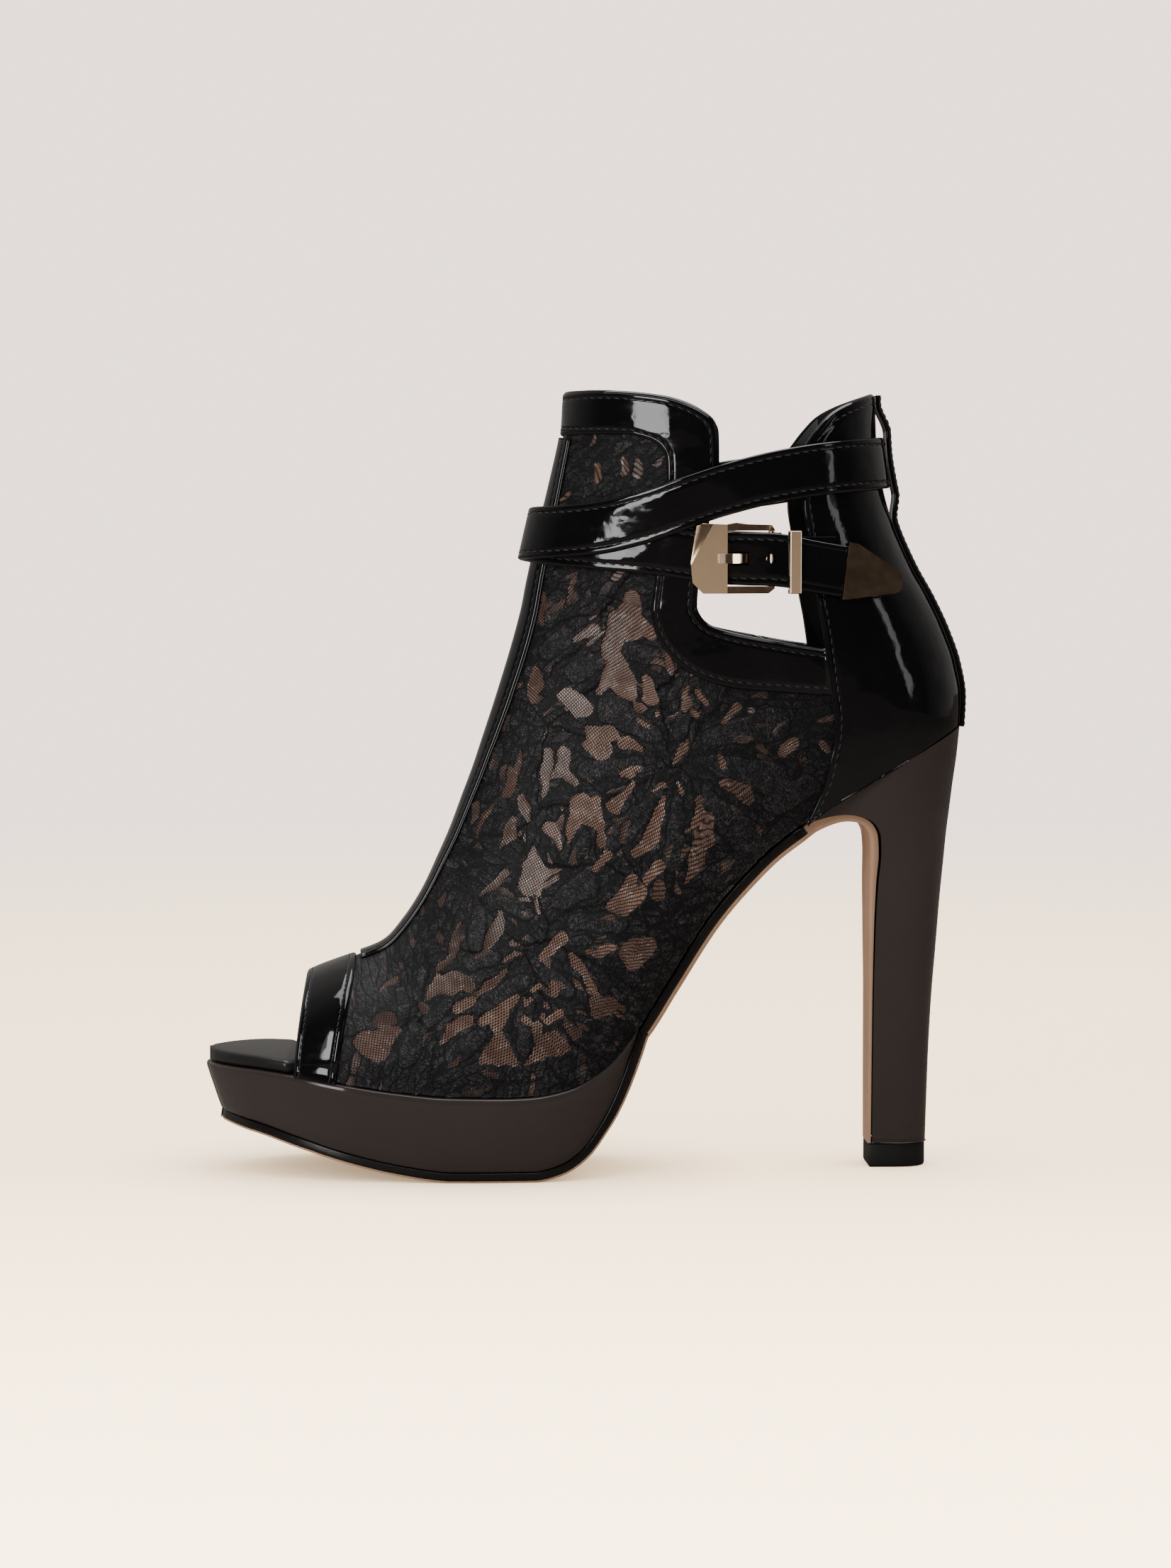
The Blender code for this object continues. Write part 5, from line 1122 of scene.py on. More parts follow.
def make_strap():
    """Ankle strap on its whole route, with its tail, its prong slot and its spare hole."""
    azimuth, height, lift = strap_rows()
    rise = (2.5 * GAP + OVERLAY_THICKNESS + lift)[:, None]
    reach = np.array(STRAP_TAIL)[:, None] * TAIL_LENGTH
    (low, low_out), (high, high_out) = (around_ankle(azimuth, height + side * STRAP_WIDTH)
                                        for side in (-0.5, 0.5))
    low, high = low + low_out * rise, high + high_out * rise
    tail_way = unit((low[0] + high[0]) - (low[1] + high[1]))
    low, high = (np.vstack([edge[:1] + tail_way * reach, edge]) for edge in (low, high))
    out = low_out + high_out
    out = unit(np.vstack([np.repeat(out[:1], len(reach), axis=0), out]))
    shares = edge_steps(STRAP_WIDTH, SEAM_INSET)
    item = sheet("strap", grid_between(low, high, shares), np.repeat(out[:, None], len(shares), axis=1),
                 STRAP_THICKNESS, "ankle_strap", SEAM_INSET)
    s, t = locate(side_view, np.array([[BUCKLE_PLACE + BUCKLE_LENGTH / 2.0, BUCKLE_MIDDLE]]), -1)
    y = ring_points(s, t)[0, 1]
    slot_x = BUCKLE_PLACE + BUCKLE_PLATE + HOLE_STEP
    half = PRONG_WIDTH / 2.0 + 2.0 * GAP
    slot = [(slot_x + SLOT_HALF * a, BUCKLE_MIDDLE + half * b) for a, b in SQUARE]
    hole = [(slot_x + HOLE_PITCH + HOLE_DIAMETER / 2.0 * math.cos(a),
             BUCKLE_MIDDLE + HOLE_DIAMETER / 2.0 * math.sin(a))
            for a in np.linspace(0.0, math.tau, 24, endpoint=False)]
    for name, outline in (("slot_tool", slot), ("hole_tool", hole)):
        cut(item, name, outline, y - CUT_OUTWARD, y + CUT_INWARD)
    made = []
    for first, second in ((low, high), (high, low)):
        line = first + (second - first) * (SEAM_INSET / STRAP_WIDTH)
        start = int(np.searchsorted(distances(line), TIP_COVER))
        made += thread_line(line[start:-2], out[start:-2], STITCH_PITCH, STRAP_THICKNESS - 0.0001)
    return made


def make_back_strip():
    """Back stay with its loop over the strap."""
    line = side_view(ring_points(np.linspace(19.6, 29.4, 420), np.ones(420)))
    keep = (line[:, 1] > foot_bed(line[:, 0]) + GAP) & (line[:, 1] < QUARTER_TOP)
    line = resample(line[keep], 220)
    azimuth, height, _ = strap_rows()
    middle = height[int(np.argmin(np.abs(azimuth + 180.0)))]
    rest = 2.0 * GAP + OVERLAY_THICKNESS
    away = np.abs(line[:, 1] - middle) / (LOOP_HEIGHT / 2.0)
    lift = rest + (STRAP_THICKNESS + LOOP_SLACK) * soft_share(LOOP_FOOT - away, 0.0, LOOP_FADE)
    run = unit(np.gradient(line, axis=0))
    out = np.stack([run[:, 1], np.zeros(len(run)), -run[:, 0]], axis=1)
    shares = edge_steps(BACK_STRIP_WIDTH, STAY_SEAM)
    across = (shares - 0.5) * BACK_STRIP_WIDTH
    sag = BACK_SAG * (2.0 * (shares - 0.5)) ** 2
    ways = np.repeat(out[:, None], len(across), axis=1)
    points = np.insert(line, 1, 0.0, axis=1)[:, None] - ways * sag[None, :, None]
    points[..., 1] = across
    sheet("back_stay", points, ways, BACK_STRIP_THICKNESS, "back_strip", STAY_SEAM, lift)
    made = []
    for place in (-0.0034, 0.0034):
        lifted = points[:, int(np.argmin(np.abs(across - place)))] + out * lift[:, None]
        made += thread_line(lifted, out, FINE_PITCH, BACK_STRIP_THICKNESS - 0.0001)
    return made


def seam_stitches(grid, edge, distance, pitch):
    """Stitches along a panel at a distance in from its first or last column."""
    return thread_line(*inset_line(grid, edge, distance), pitch, PANEL_TOP)


def cord(name, grid, edge, distance, radius, level):
    """Round piping along an edge of a panel's grid, at a level off the surface."""
    points, out = inset_line(grid, edge, distance)
    middle = points + out * level
    run = unit(np.gradient(middle, axis=0))
    beside = unit(np.cross(run, out))
    up = np.cross(beside, run)
    turns = np.linspace(0.0, math.tau, 10, endpoint=False)[None, :, None]
    add_loop(name, middle[:, None] + (beside[:, None] * np.cos(turns) + up[:, None] * np.sin(turns)) * radius,
             PATENT)


def tilt_corner(item):
    """Ground facet across the plate's upper front corner."""
    (x0, z0), (x1, z1) = FACET_LINE
    way = Vector((z1 - z0, 0.0, -(x1 - x0))).normalized()
    if way.x > 0.0:
        way = -way
    corner = Vector((x0 + MOVE_X, 0.0, z0))
    shape = bmesh.new()
    shape.from_mesh(item.data)
    geometry = list(shape.verts) + list(shape.edges) + list(shape.faces)
    bmesh.ops.bisect_plane(shape, geom=geometry, dist=1e-6, plane_co=corner, plane_no=way)
    shape.normal_update()
    for vertex in shape.verts:
        far = (vertex.co - corner).dot(way)
        if far > 0.0:
            vertex.co.y += far * FACET_SLOPE * min(1.0, max(0.0, 0.5 - vertex.normal.y))
    shape.to_mesh(item.data)
    shape.free()
    item.data.shade_smooth()
    item.data.set_sharp_from_angle(angle=math.radians(12.0))


def flipped(grid):
    """Grid with rows and columns exchanged."""
    return grid[0].T, grid[1].T


STITCHES = make_strap() + make_back_strip()
for edge in (0, 1):
    for grid, inset, pitch in ((COLLAR_GRID, SEAM_INSET, STITCH_PITCH),
                               (THROAT_GRID, SEAM_INSET, STITCH_PITCH),
                               (TOE_GRID, TOE_SEAM, FINE_PITCH),
                               (flipped(QUARTER_GRID), QUARTER_INSET, STITCH_PITCH)):
        STITCHES += seam_stitches(grid, edge, inset, pitch)
STITCHES += seam_stitches(QUARTER_GRID, 1, QUARTER_INSET, STITCH_PITCH)
add_stitches("stitching", STITCHES)

cord("collar_roll", COLLAR_GRID, 0, *ROLL)
cord("toe_roll", TOE_GRID, 0, *ROLL)
cord("quarter_roll", QUARTER_GRID, 1, *ROLL)
for edge, side_name in ((0, "outer"), (1, "inner")):
    cord("quarter_piping_" + side_name, flipped(QUARTER_GRID), edge, 0.0003, 0.00055, 0.0009)
    cord("throat_piping_" + side_name, THROAT_GRID, edge, -0.0002, 0.00045, 0.0005)

rounded_copy("chape", "chape_strap", PATENT, "black_patent", 0.00025)
# The bevels of the buckle and keeper take the brighter rim gold as a painted highlight
BUCKLE = rounded_copy("buckle", "buckle_frame", GOLD, "rose_gold", 0.00055, rim=GOLD_HIGHLIGHT_RIM)
tilt_corner(BUCKLE)
PRONG = rounded_copy("prong", "buckle_prong", GOLD_HIGHLIGHT_RIM, "rose_gold", 0.00035)
KEEPER_LOOP = rounded_copy("keeper_loop", "keeper", GOLD, "rose_gold", 0.00035, rim=GOLD_HIGHLIGHT_RIM)
TIP_CAP = rounded_copy("tip_cap", "strap_tip", GOLD, "rose_gold", 0.00045)

# Openings of the lace in the side view, in millimetres: strokes from one end to the other, each with
# a radius, and how pale the lining shows in them; that share is partly the lining's colour and partly painted
# highlight and shade.
WINDOWS = [
    # x, z, radius, x, z, radius, pale
    (3.0, 225.6, 0.9, 3.2, 221.4, 1.3, 0.8), (11.2, 227.6, 0.9, 11.4, 223.0, 1.1, 0.6),
    (15.8, 226.1, 1.3, 15.2, 222.8, 1.6, 0.4), (-4.2, 189.7, 0.9, -5.3, 185.1, 0.7, 0.5),
    (-13.7, 185.1, 0.7, -14.6, 175.7, 0.9, 0.4), (13.6, 183.3, 2.7, 12.1, 174.6, 5.1, 0.75),
    (10.8, 175.7, 4.7, 5.9, 165.7, 2.0, 0.65), (16.3, 175.7, 2.5, 20.1, 171.7, 1.6, 0.9),
    (8.1, 165.0, 2.7, 10.8, 157.3, 4.2, 0.7), (10.8, 156.8, 4.2, 13.7, 152.6, 1.8, 0.9),
    (8.5, 160.6, 3.1, 3.6, 154.4, 1.3, 0.7), (1.9, 174.0, 1.8, -3.7, 170.0, 0.9, 0.7),
    (-16.0, 160.6, 1.1, -16.4, 155.7, 2.7, 0.5), (-16.4, 155.7, 2.7, -17.7, 150.4, 0.7, 0.5),
    (-5.9, 152.4, 2.9, -1.7, 148.8, 3.1, 0.8), (-8.2, 152.2, 1.3, -3.0, 147.7, 2.0, 0.7),
    (17.9, 158.4, 1.3, 19.7, 152.1, 2.5, 0.9), (24.4, 165.5, 0.9, 26.2, 160.6, 1.1, 0.9),
    (31.1, 155.7, 0.7, 30.0, 152.1, 0.9, 0.9), (34.2, 154.5, 0.9, 36.7, 150.3, 1.1, 1.0),
    (15.7, 145.0, 0.7, 18.6, 143.6, 0.9, 0.9), (21.7, 147.9, 0.7, 21.7, 146.1, 0.7, 1.0),
    (32.0, 148.3, 0.7, 34.0, 147.0, 0.9, 1.0), (42.5, 144.9, 0.9, 46.5, 149.6, 1.3, 0.7),
    (2.3, 140.1, 3.3, 4.1, 136.1, 3.6, 1.0), (0.5, 141.4, 1.8, 6.8, 140.8, 2.5, 0.8),
    (0.1, 137.0, 2.0, 4.1, 135.0, 2.2, 1.0), (11.2, 138.1, 2.0, 16.4, 136.3, 1.1, 1.0),
    (30.0, 136.5, 1.6, 26.0, 131.1, 0.4, 0.8), (41.2, 133.8, 0.9, 41.8, 131.1, 1.1, 0.8),
    (64.0, 138.2, 2.0, 60.9, 134.8, 1.6, 0.9), (52.8, 137.3, 0.9, 55.5, 135.5, 1.1, 0.4),
    (72.9, 138.6, 0.7, 75.2, 135.9, 1.1, 0.6), (-12.4, 134.8, 1.6, -13.3, 127.9, 1.8, 0.5),
    (-13.3, 127.9, 1.8, -14.2, 121.0, 0.7, 0.5), (-7.5, 134.8, 2.0, -8.6, 129.0, 2.0, 0.6),
    (-8.2, 129.4, 2.2, -4.4, 125.4, 1.1, 0.6), (-20.9, 135.3, 0.3, -22.7, 128.6, 1.3, 0.5),
    (-22.7, 128.6, 1.3, -25.6, 121.4, 1.6, 0.5), (-20.9, 120.5, 1.3, -20.0, 116.7, 1.6, 0.5),
    (-20.0, 116.7, 1.6, -18.9, 112.9, 0.4, 0.5), (-29.8, 118.3, 0.3, -32.9, 113.9, 0.9, 0.4),
    (-32.9, 113.9, 0.9, -35.2, 107.2, 0.3, 0.4), (-23.6, 113.4, 1.1, -24.5, 109.4, 2.2, 0.5),
    (-24.5, 109.4, 2.2, -27.8, 104.5, 0.4, 0.5), (-12.4, 111.6, 1.8, -10.4, 108.9, 1.8, 0.9),
    (-10.4, 108.4, 1.3, -9.1, 104.0, 0.4, 0.9), (-2.6, 118.7, 3.3, 1.0, 117.1, 3.1, 1.0),
    (-2.6, 116.0, 3.8, 1.0, 114.4, 2.9, 1.0), (-4.4, 113.3, 2.7, -6.8, 107.1, 0.4, 0.9),
    (2.3, 120.0, 1.6, 2.5, 112.6, 1.6, 1.0), (4.3, 112.9, 0.7, 3.6, 106.6, 1.6, 0.7),
    (14.1, 125.3, 0.7, 7.7, 117.8, 2.2, 0.9), (11.0, 128.5, 1.1, 14.8, 129.8, 0.9, 1.0),
    (20.2, 123.1, 0.7, 23.3, 124.9, 0.9, 0.9), (28.0, 125.8, 0.4, 28.9, 122.2, 0.9, 1.0),
    (23.7, 120.8, 0.7, 22.0, 116.6, 1.3, 0.9), (22.0, 116.6, 1.6, 19.3, 107.7, 2.5, 0.9),
    (19.3, 107.7, 2.5, 14.8, 103.4, 1.6, 0.8), (11.9, 112.8, 1.1, 9.9, 107.9, 1.1, 0.3),
    (34.5, 119.3, 0.7, 34.5, 113.2, 2.7, 0.8), (37.2, 114.5, 1.8, 36.7, 107.6, 2.7, 0.7),
    (35.4, 108.7, 2.9, 33.6, 100.9, 2.5, 0.6), (33.6, 100.9, 2.5, 30.3, 93.7, 0.4, 0.6),
    (42.1, 125.7, 1.3, 48.3, 122.8, 2.7, 0.6), (48.3, 122.6, 2.5, 50.6, 120.1, 1.6, 0.4),
    (5.9, 102.6, 1.6, 1.4, 98.5, 0.9, 0.8), (21.5, 99.4, 2.0, 18.4, 95.8, 1.8, 1.0),
    (22.0, 93.1, 1.8, 21.5, 90.2, 2.0, 0.5), (13.5, 95.4, 1.6, 10.8, 89.1, 3.3, 0.9),
    (16.4, 92.0, 1.8, 12.6, 87.1, 2.0, 1.0), (10.8, 89.1, 3.1, 6.8, 86.7, 1.6, 0.7),
    (-17.3, 104.4, 0.7, -17.3, 98.2, 3.6, 0.7), (-17.8, 98.2, 3.6, -19.1, 92.8, 3.1, 0.6),
    (-16.0, 97.3, 2.9, -16.7, 91.0, 1.3, 0.9), (-16.7, 88.3, 0.7, -16.0, 84.7, 0.7, 0.9),
    (-26.3, 96.4, 1.3, -29.4, 93.3, 1.1, 0.5), (-29.4, 93.3, 1.1, -34.7, 89.3, 0.3, 0.4),
    (-28.1, 84.3, 0.9, -29.0, 79.4, 2.5, 0.4), (-29.0, 79.4, 2.5, -32.8, 73.4, 0.9, 0.4),
    (-8.4, 77.1, 1.8, -13.3, 72.6, 1.6, 1.0), (-13.3, 73.1, 1.6, -15.1, 70.2, 0.9, 1.0),
    (-40.6, 81.0, 0.4, -42.8, 73.2, 1.8, 0.25), (-42.8, 71.0, 1.1, -47.7, 66.9, 0.7, 0.3),
    (-61.3, 63.4, 1.1, -66.0, 59.4, 0.3, 0.3), (-43.9, 63.8, 2.5, -39.5, 62.9, 2.5, 0.4),
    (-46.8, 62.4, 2.7, -42.8, 61.1, 2.0, 0.5), (-49.1, 60.2, 2.0, -50.9, 58.0, 0.9, 0.4),
    (-40.6, 62.0, 2.0, -37.5, 61.7, 1.6, 0.5), (-53.5, 56.2, 0.9, -51.3, 54.2, 1.1, 0.2),
    (-26.7, 66.4, 0.7, -32.1, 61.5, 1.8, 0.5), (-31.7, 61.9, 1.8, -34.8, 59.3, 0.7, 0.5),
    (-26.7, 69.5, 0.7, -24.1, 71.3, 0.7, 0.7), (-6.2, 72.1, 0.9, -4.0, 69.0, 1.8, 0.8),
    (-4.0, 69.0, 1.8, -1.7, 65.4, 1.3, 0.8), (-0.8, 63.6, 1.3, 1.4, 60.9, 1.1, 0.9),
    (-1.3, 72.6, 0.7, 3.0, 72.5, 1.6, 0.6), (3.7, 73.0, 1.6, 7.2, 74.3, 1.1, 0.9),
    (11.7, 73.0, 2.9, 18.0, 74.5, 2.9, 0.5), (13.1, 71.8, 3.1, 13.1, 68.0, 1.8, 0.5),
    (16.4, 72.9, 3.1, 14.4, 68.9, 2.0, 0.5), (1.4, 56.8, 2.2, 5.9, 55.9, 2.7, 0.4),
    (2.3, 54.1, 2.2, 5.5, 54.6, 2.0, 0.4), (-12.0, 62.7, 0.9, -10.7, 60.0, 1.3, 0.9),
    (-17.6, 60.5, 0.9, -15.6, 61.9, 0.9, 1.0), (-19.6, 56.9, 0.9, -18.7, 57.8, 0.7, 1.0),
    (-20.5, 52.0, 1.1, -18.7, 50.2, 0.9, 0.9), (-13.8, 51.1, 0.9, -9.8, 53.3, 1.6, 1.0),
    (-37.0, 57.9, 1.3, -41.5, 54.8, 1.8, 0.8), (-37.9, 51.6, 1.6, -43.7, 48.5, 2.0, 0.8),
    (-43.7, 48.5, 2.0, -46.9, 44.3, 0.7, 0.6), (-22.7, 58.7, 0.7, -28.1, 54.3, 2.2, 1.0),
    (-28.1, 54.3, 2.2, -33.9, 50.7, 1.3, 1.0), (-27.7, 52.9, 2.5, -29.9, 49.6, 1.8, 1.0),
    (-29.0, 47.1, 1.6, -28.6, 41.7, 4.2, 0.6), (-28.6, 42.1, 4.0, -33.9, 39.0, 1.6, 0.6),
    (-27.7, 41.2, 3.3, -24.1, 37.9, 1.1, 0.7), (-12.5, 45.7, 2.7, -10.2, 42.9, 2.9, 0.5),
    (-13.8, 43.9, 3.1, -16.9, 40.3, 1.8, 0.5), (-16.5, 40.5, 2.0, -20.5, 37.8, 0.7, 0.6),
    (-8.7, 43.8, 2.2, -7.1, 42.9, 1.1, 0.5), (-7.1, 49.7, 1.6, -4.4, 47.0, 1.8, 0.25),
    (-70.7, 44.6, 3.3, -64.1, 45.9, 2.9, 0.6), (-69.6, 42.8, 3.1, -66.1, 40.6, 2.2, 0.7),
    (-64.1, 46.8, 2.7, -60.7, 48.6, 1.1, 0.5), (-66.3, 50.9, 2.0, -62.5, 51.8, 2.0, 0.2),
    (-33.5, 35.4, 0.7, -29.5, 34.5, 0.9, 0.2), (-40.2, 29.2, 0.4, -34.4, 29.4, 0.9, 0.2),
]

# Petals worked in the lace, in the same way, from the flower's middle outward.
PETALS = [
    # x, z, radius, x, z, radius
    (20.8, 140.1, 2.7, 7.7, 148.6, 5.4), (19.7, 165.5, 2.9, 12.5, 167.3, 3.6),
    (15.2, 131.6, 2.2, 0.1, 129.0, 3.8), (22.0, 122.2, 2.2, 11.2, 109.3, 3.3),
    (28.0, 119.9, 2.0, 26.5, 100.9, 3.8), (37.6, 119.9, 3.1, 49.3, 108.2, 5.8),
    (39.8, 131.5, 3.1, 57.3, 126.6, 5.8), (37.6, 139.6, 2.7, 57.7, 144.0, 5.8),
    (28.2, 140.5, 2.2, 32.0, 150.8, 3.3), (59.1, 119.4, 4.5, 69.0, 124.3, 4.0),
    (53.8, 101.5, 4.0, 62.3, 110.4, 4.0), (-19.4, 84.3, 2.2, -29.0, 89.3, 3.6),
    (-35.7, 75.4, 3.1, -34.8, 83.9, 2.5), (-29.4, 70.4, 2.2, -36.6, 69.1, 3.1),
    (-9.3, 88.3, 3.1, -0.8, 93.6, 4.5), (-21.6, 63.2, 2.9, -34.8, 55.2, 2.5),
    (-20.1, 56.0, 2.9, -21.0, 42.1, 2.0), (-4.8, 82.0, 2.7, 8.6, 81.5, 3.3),
    (-35.7, 45.8, 3.1, -42.9, 40.0, 3.1), (-54.5, 47.2, 3.6, -57.6, 39.2, 3.1),
    (-45.1, 56.2, 2.2, -50.4, 50.8, 2.7), (-59.3, 59.8, 1.8, -58.5, 53.1, 2.2),
    (-13.8, 65.9, 2.7, -7.1, 60.7, 2.9), (6.3, 165.5, 2.5, -3.5, 160.2, 3.8),
    (-7.1, 171.3, 3.3, -13.3, 166.4, 2.7), (-13.7, 178.0, 4.5, -9.3, 182.4, 3.6),
    (15.3, 115.5, 3.1, 6.3, 106.6, 3.1), (39.9, 95.3, 4.5, 48.8, 100.8, 4.0),
    (-0.4, 111.1, 0.7, -2.6, 104.4, 3.1), (-29.3, 135.7, 3.1, -31.6, 126.8, 2.7),
]

# How far the lace goes on under the quarter and stops short of the rim, and how deep its edge is
QUARTER_LAP = 0.0050
RIM_INSET = 0.0004
SKIN_DEPTH = 0.0006
SHELL_INSET = 0.00035
SHELL_REACH = 0.0006

# Tulle cells in millimetres, with the height of a pair of hexagon rows as a share of their width
CELL_WIDTH = 0.74
CELL_HEIGHT = 1.02
HEX_ROW = math.sqrt(3.0)

THREAD_DARK = (0.0030, 0.0028, 0.0032)
# THREAD_SHEEN is the colour of the painted sheen on the black thread
THREAD_SHEEN = (0.210, 0.200, 0.215)
NUDE_DARK = (0.050, 0.024, 0.017)
NUDE_PALE = (0.300, 0.165, 0.120)
NUDE_LIGHT = (0.520, 0.340, 0.265)
# NUDE_GLINT is the colour of the painted glints in the tulle's cells
NUDE_GLINT = (0.900, 0.800, 0.740)
# Reach of the painted shade that darkens the lace towards the heel
SHADE_REACH = 0.085


def add_vector(item, name, rows):
    """Vector attribute at a piece's points."""
    layer = item.data.attributes.new(name, "FLOAT_VECTOR", "POINT")
    layer.data.foreach_set("vector", np.ascontiguousarray(rows, np.float32).ravel())


def stroke_distances(strokes, places):
    """Distance of each place from each stroke's edge, negative inside."""
    start = strokes[:, 0:2]
    run = strokes[:, 3:5] - start
    away = places[:, None] - start[None]
    share = np.clip((away * run[None]).sum(-1) / (run * run).sum(1)[None], 0.0, 1.0)
    radius = strokes[:, 2] + (strokes[:, 5] - strokes[:, 2]) * share
    return np.linalg.norm(away - run[None] * share[..., None], axis=-1) - radius


def lace_rows(places):
    """What the lace is at side view places in millimetres: (opening distance, pale, petal distance)
    and the thread places (across, along, petal)."""
    x, z = places[:, 0], places[:, 1]
    bend = np.stack([0.30 * np.sin(z * 0.75 + 0.6 * np.sin(x * 0.5)) + 0.08 * np.sin(x * 2.3 + z * 1.9),
                     0.30 * np.sin(x * 0.80 + 0.7 * np.sin(z * 0.6)) + 0.08 * np.sin(z * 2.6 - x * 1.7)],
                    axis=1)
    bent = places + bend
    windows = np.array(WINDOWS)
    petals = np.array(PETALS)
    ways = unit(petals[:, 3:5] - petals[:, 0:2])
    lace = np.empty((len(places), 3))
    thread = np.empty((len(places), 3))
    for start in range(0, len(places), 20000):
        part = slice(start, start + 20000)
        far = stroke_distances(windows, bent[part])
        petal = stroke_distances(petals, bent[part])
        lace[part] = np.stack([far.min(1), windows[far.argmin(1), 6], petal.min(1)], axis=1)
        nearest = petal.argmin(1)
        run = ways[nearest]
        off = bent[part] - petals[nearest, 0:2]
        along = (off * run).sum(1)
        across = off[:, 1] * run[:, 0] - off[:, 0] * run[:, 1]
        thread[part] = np.stack([along + 0.45 * np.abs(across), across, nearest * 3.7], axis=1)
    return lace, thread


def region_end(station):
    """Turn at which the upper's outer skin ends on each station: at the sole, the cut-out or the quarter."""
    turns = np.linspace(0.0, 0.999, 500)
    points = ring_points(*np.meshgrid(station, turns, indexing="ij"))
    x, z = points[..., 0], points[..., 2]
    under = z < foot_bed(x) + 0.5 * GAP
    behind = x > x_at(smooth_line(QUARTER_SEAM[::-1] + QUARTER_FRONT[1:6]), z) + QUARTER_LAP
    rear = x > x_at(smooth_line(COLLAR_LINE[6:15]), z) - RIM_INSET
    rear &= z > COLLAR_LINE[14][1] * COLLAR_HEIGHT
    low = smooth_line(COLLAR_LINE[13:] + QUARTER_FRONT[:1])
    over = (x > low[0, 0]) & (z > np.interp(x, low[:, 0], low[:, 1]) - RIM_INSET)
    top = smooth_line(COLLAR_LINE[:7])
    above = z > np.interp(x, top[:, 0], top[:, 1]) - RIM_INSET
    out = under | behind | rear | over | above
    out[:, 0] = above[:, 0]
    first = np.where(out.any(1), out.argmax(1), len(turns) - 1)
    return turns[np.maximum(first - 1, 0)], out[:, 0]


def make_lace_skin(name, side, rows, columns):
    """Embroidered lace over one side of the upper, raised round its openings."""
    stations = np.linspace(4.0, 30.0, 800)
    ends, gone = region_end(stations)
    stop = int(np.argmax(gone)) if gone.any() else len(stations)
    last = stations[min(stop, len(stations) - 1)]
    ends = np.where(stations > last, ends[stop - 1], ends)
    longest = np.zeros(len(stations) - 1)
    for share in np.linspace(0.0, 1.0, 9):
        points = ring_points(stations, ends * share)
        longest = np.maximum(longest, np.linalg.norm(np.diff(points, axis=0), axis=1))
    share_run = np.insert(np.cumsum(longest), 0, 0.0)
    down, across = np.meshgrid(np.linspace(0.0, 1.0, rows), np.linspace(0.0, 1.0, columns), indexing="ij")
    t = across * 0.5
    band_turns = np.linspace(0.0, 1.0, 120)
    band = (edge_station(TOE_FRONT, band_turns) + edge_station(TOE_REAR, band_turns)) / 2.0
    for _ in range(8):
        begin = np.interp(np.interp(t, band_turns, band), stations, share_run)
        finish = np.interp(last, stations, share_run)
        s = np.interp(begin + (finish - begin) * down, share_run, stations)
        t = across * np.interp(s, stations, ends)
    turn = t if side < 0 else np.mod(2.0 - t, 2.0)
    points, out = ring_points(s, turn), normals(s, turn)
    lace, thread = lace_rows(side_view(points).reshape(-1, 2) * 1000.0)
    worked = soft_share(lace[:, 0], -0.25, 0.35)
    dome = np.sqrt(np.clip(-lace[:, 2] / 1.4, 0.0, 1.0))
    dip = np.exp(-(lace[:, 2] / 0.35) ** 2)
    height = (0.02 + worked * (0.14 + 0.10 * dome - 0.07 * dip)) * 1e-3
    top = points + out * height.reshape(rows, columns, 1)
    cloth = np.stack([distances(points, 1) * 1000.0, distances(points) * 1000.0,
                      np.full(s.shape, side)], axis=-1)
    faces = grid_faces(rows, columns)
    if side < 0:
        faces = faces[:, ::-1]
    skirt = rim_loop(rows, columns)
    low = (points - out * SKIN_DEPTH).reshape(-1, 3)[skirt]
    below = s.size + np.arange(len(skirt))
    walls = zip(skirt, np.roll(skirt, -1), np.roll(below, -1), below)
    item = add_piece(name, np.concatenate([top.reshape(-1, 3), low]), [*faces, *walls], LACE,
                     slot="lace_fabric")
    for label, values in (("lace", lace), ("thread", thread), ("cloth", cloth.reshape(-1, 3))):
        add_vector(item, label, np.concatenate([values, values[skirt]]))


def hexagon(tree, x, y, step_x, step_y):
    """How far a place is from its hexagon's middle, if the hexagons are shifted by the steps."""
    parts = []
    for value, shift, size in ((x, step_x, 1.0), (y, step_y, HEX_ROW)):
        wrapped = tree.math("FLOORED_MODULO", tree.minus(value, shift), size)
        parts.append(tree.math("ABSOLUTE", tree.minus(wrapped, size / 2.0)))
    slant = tree.plus(tree.times(parts[0], 0.5), tree.times(parts[1], HEX_ROW / 2.0))
    return tree.math("MAXIMUM", parts[0], slant)


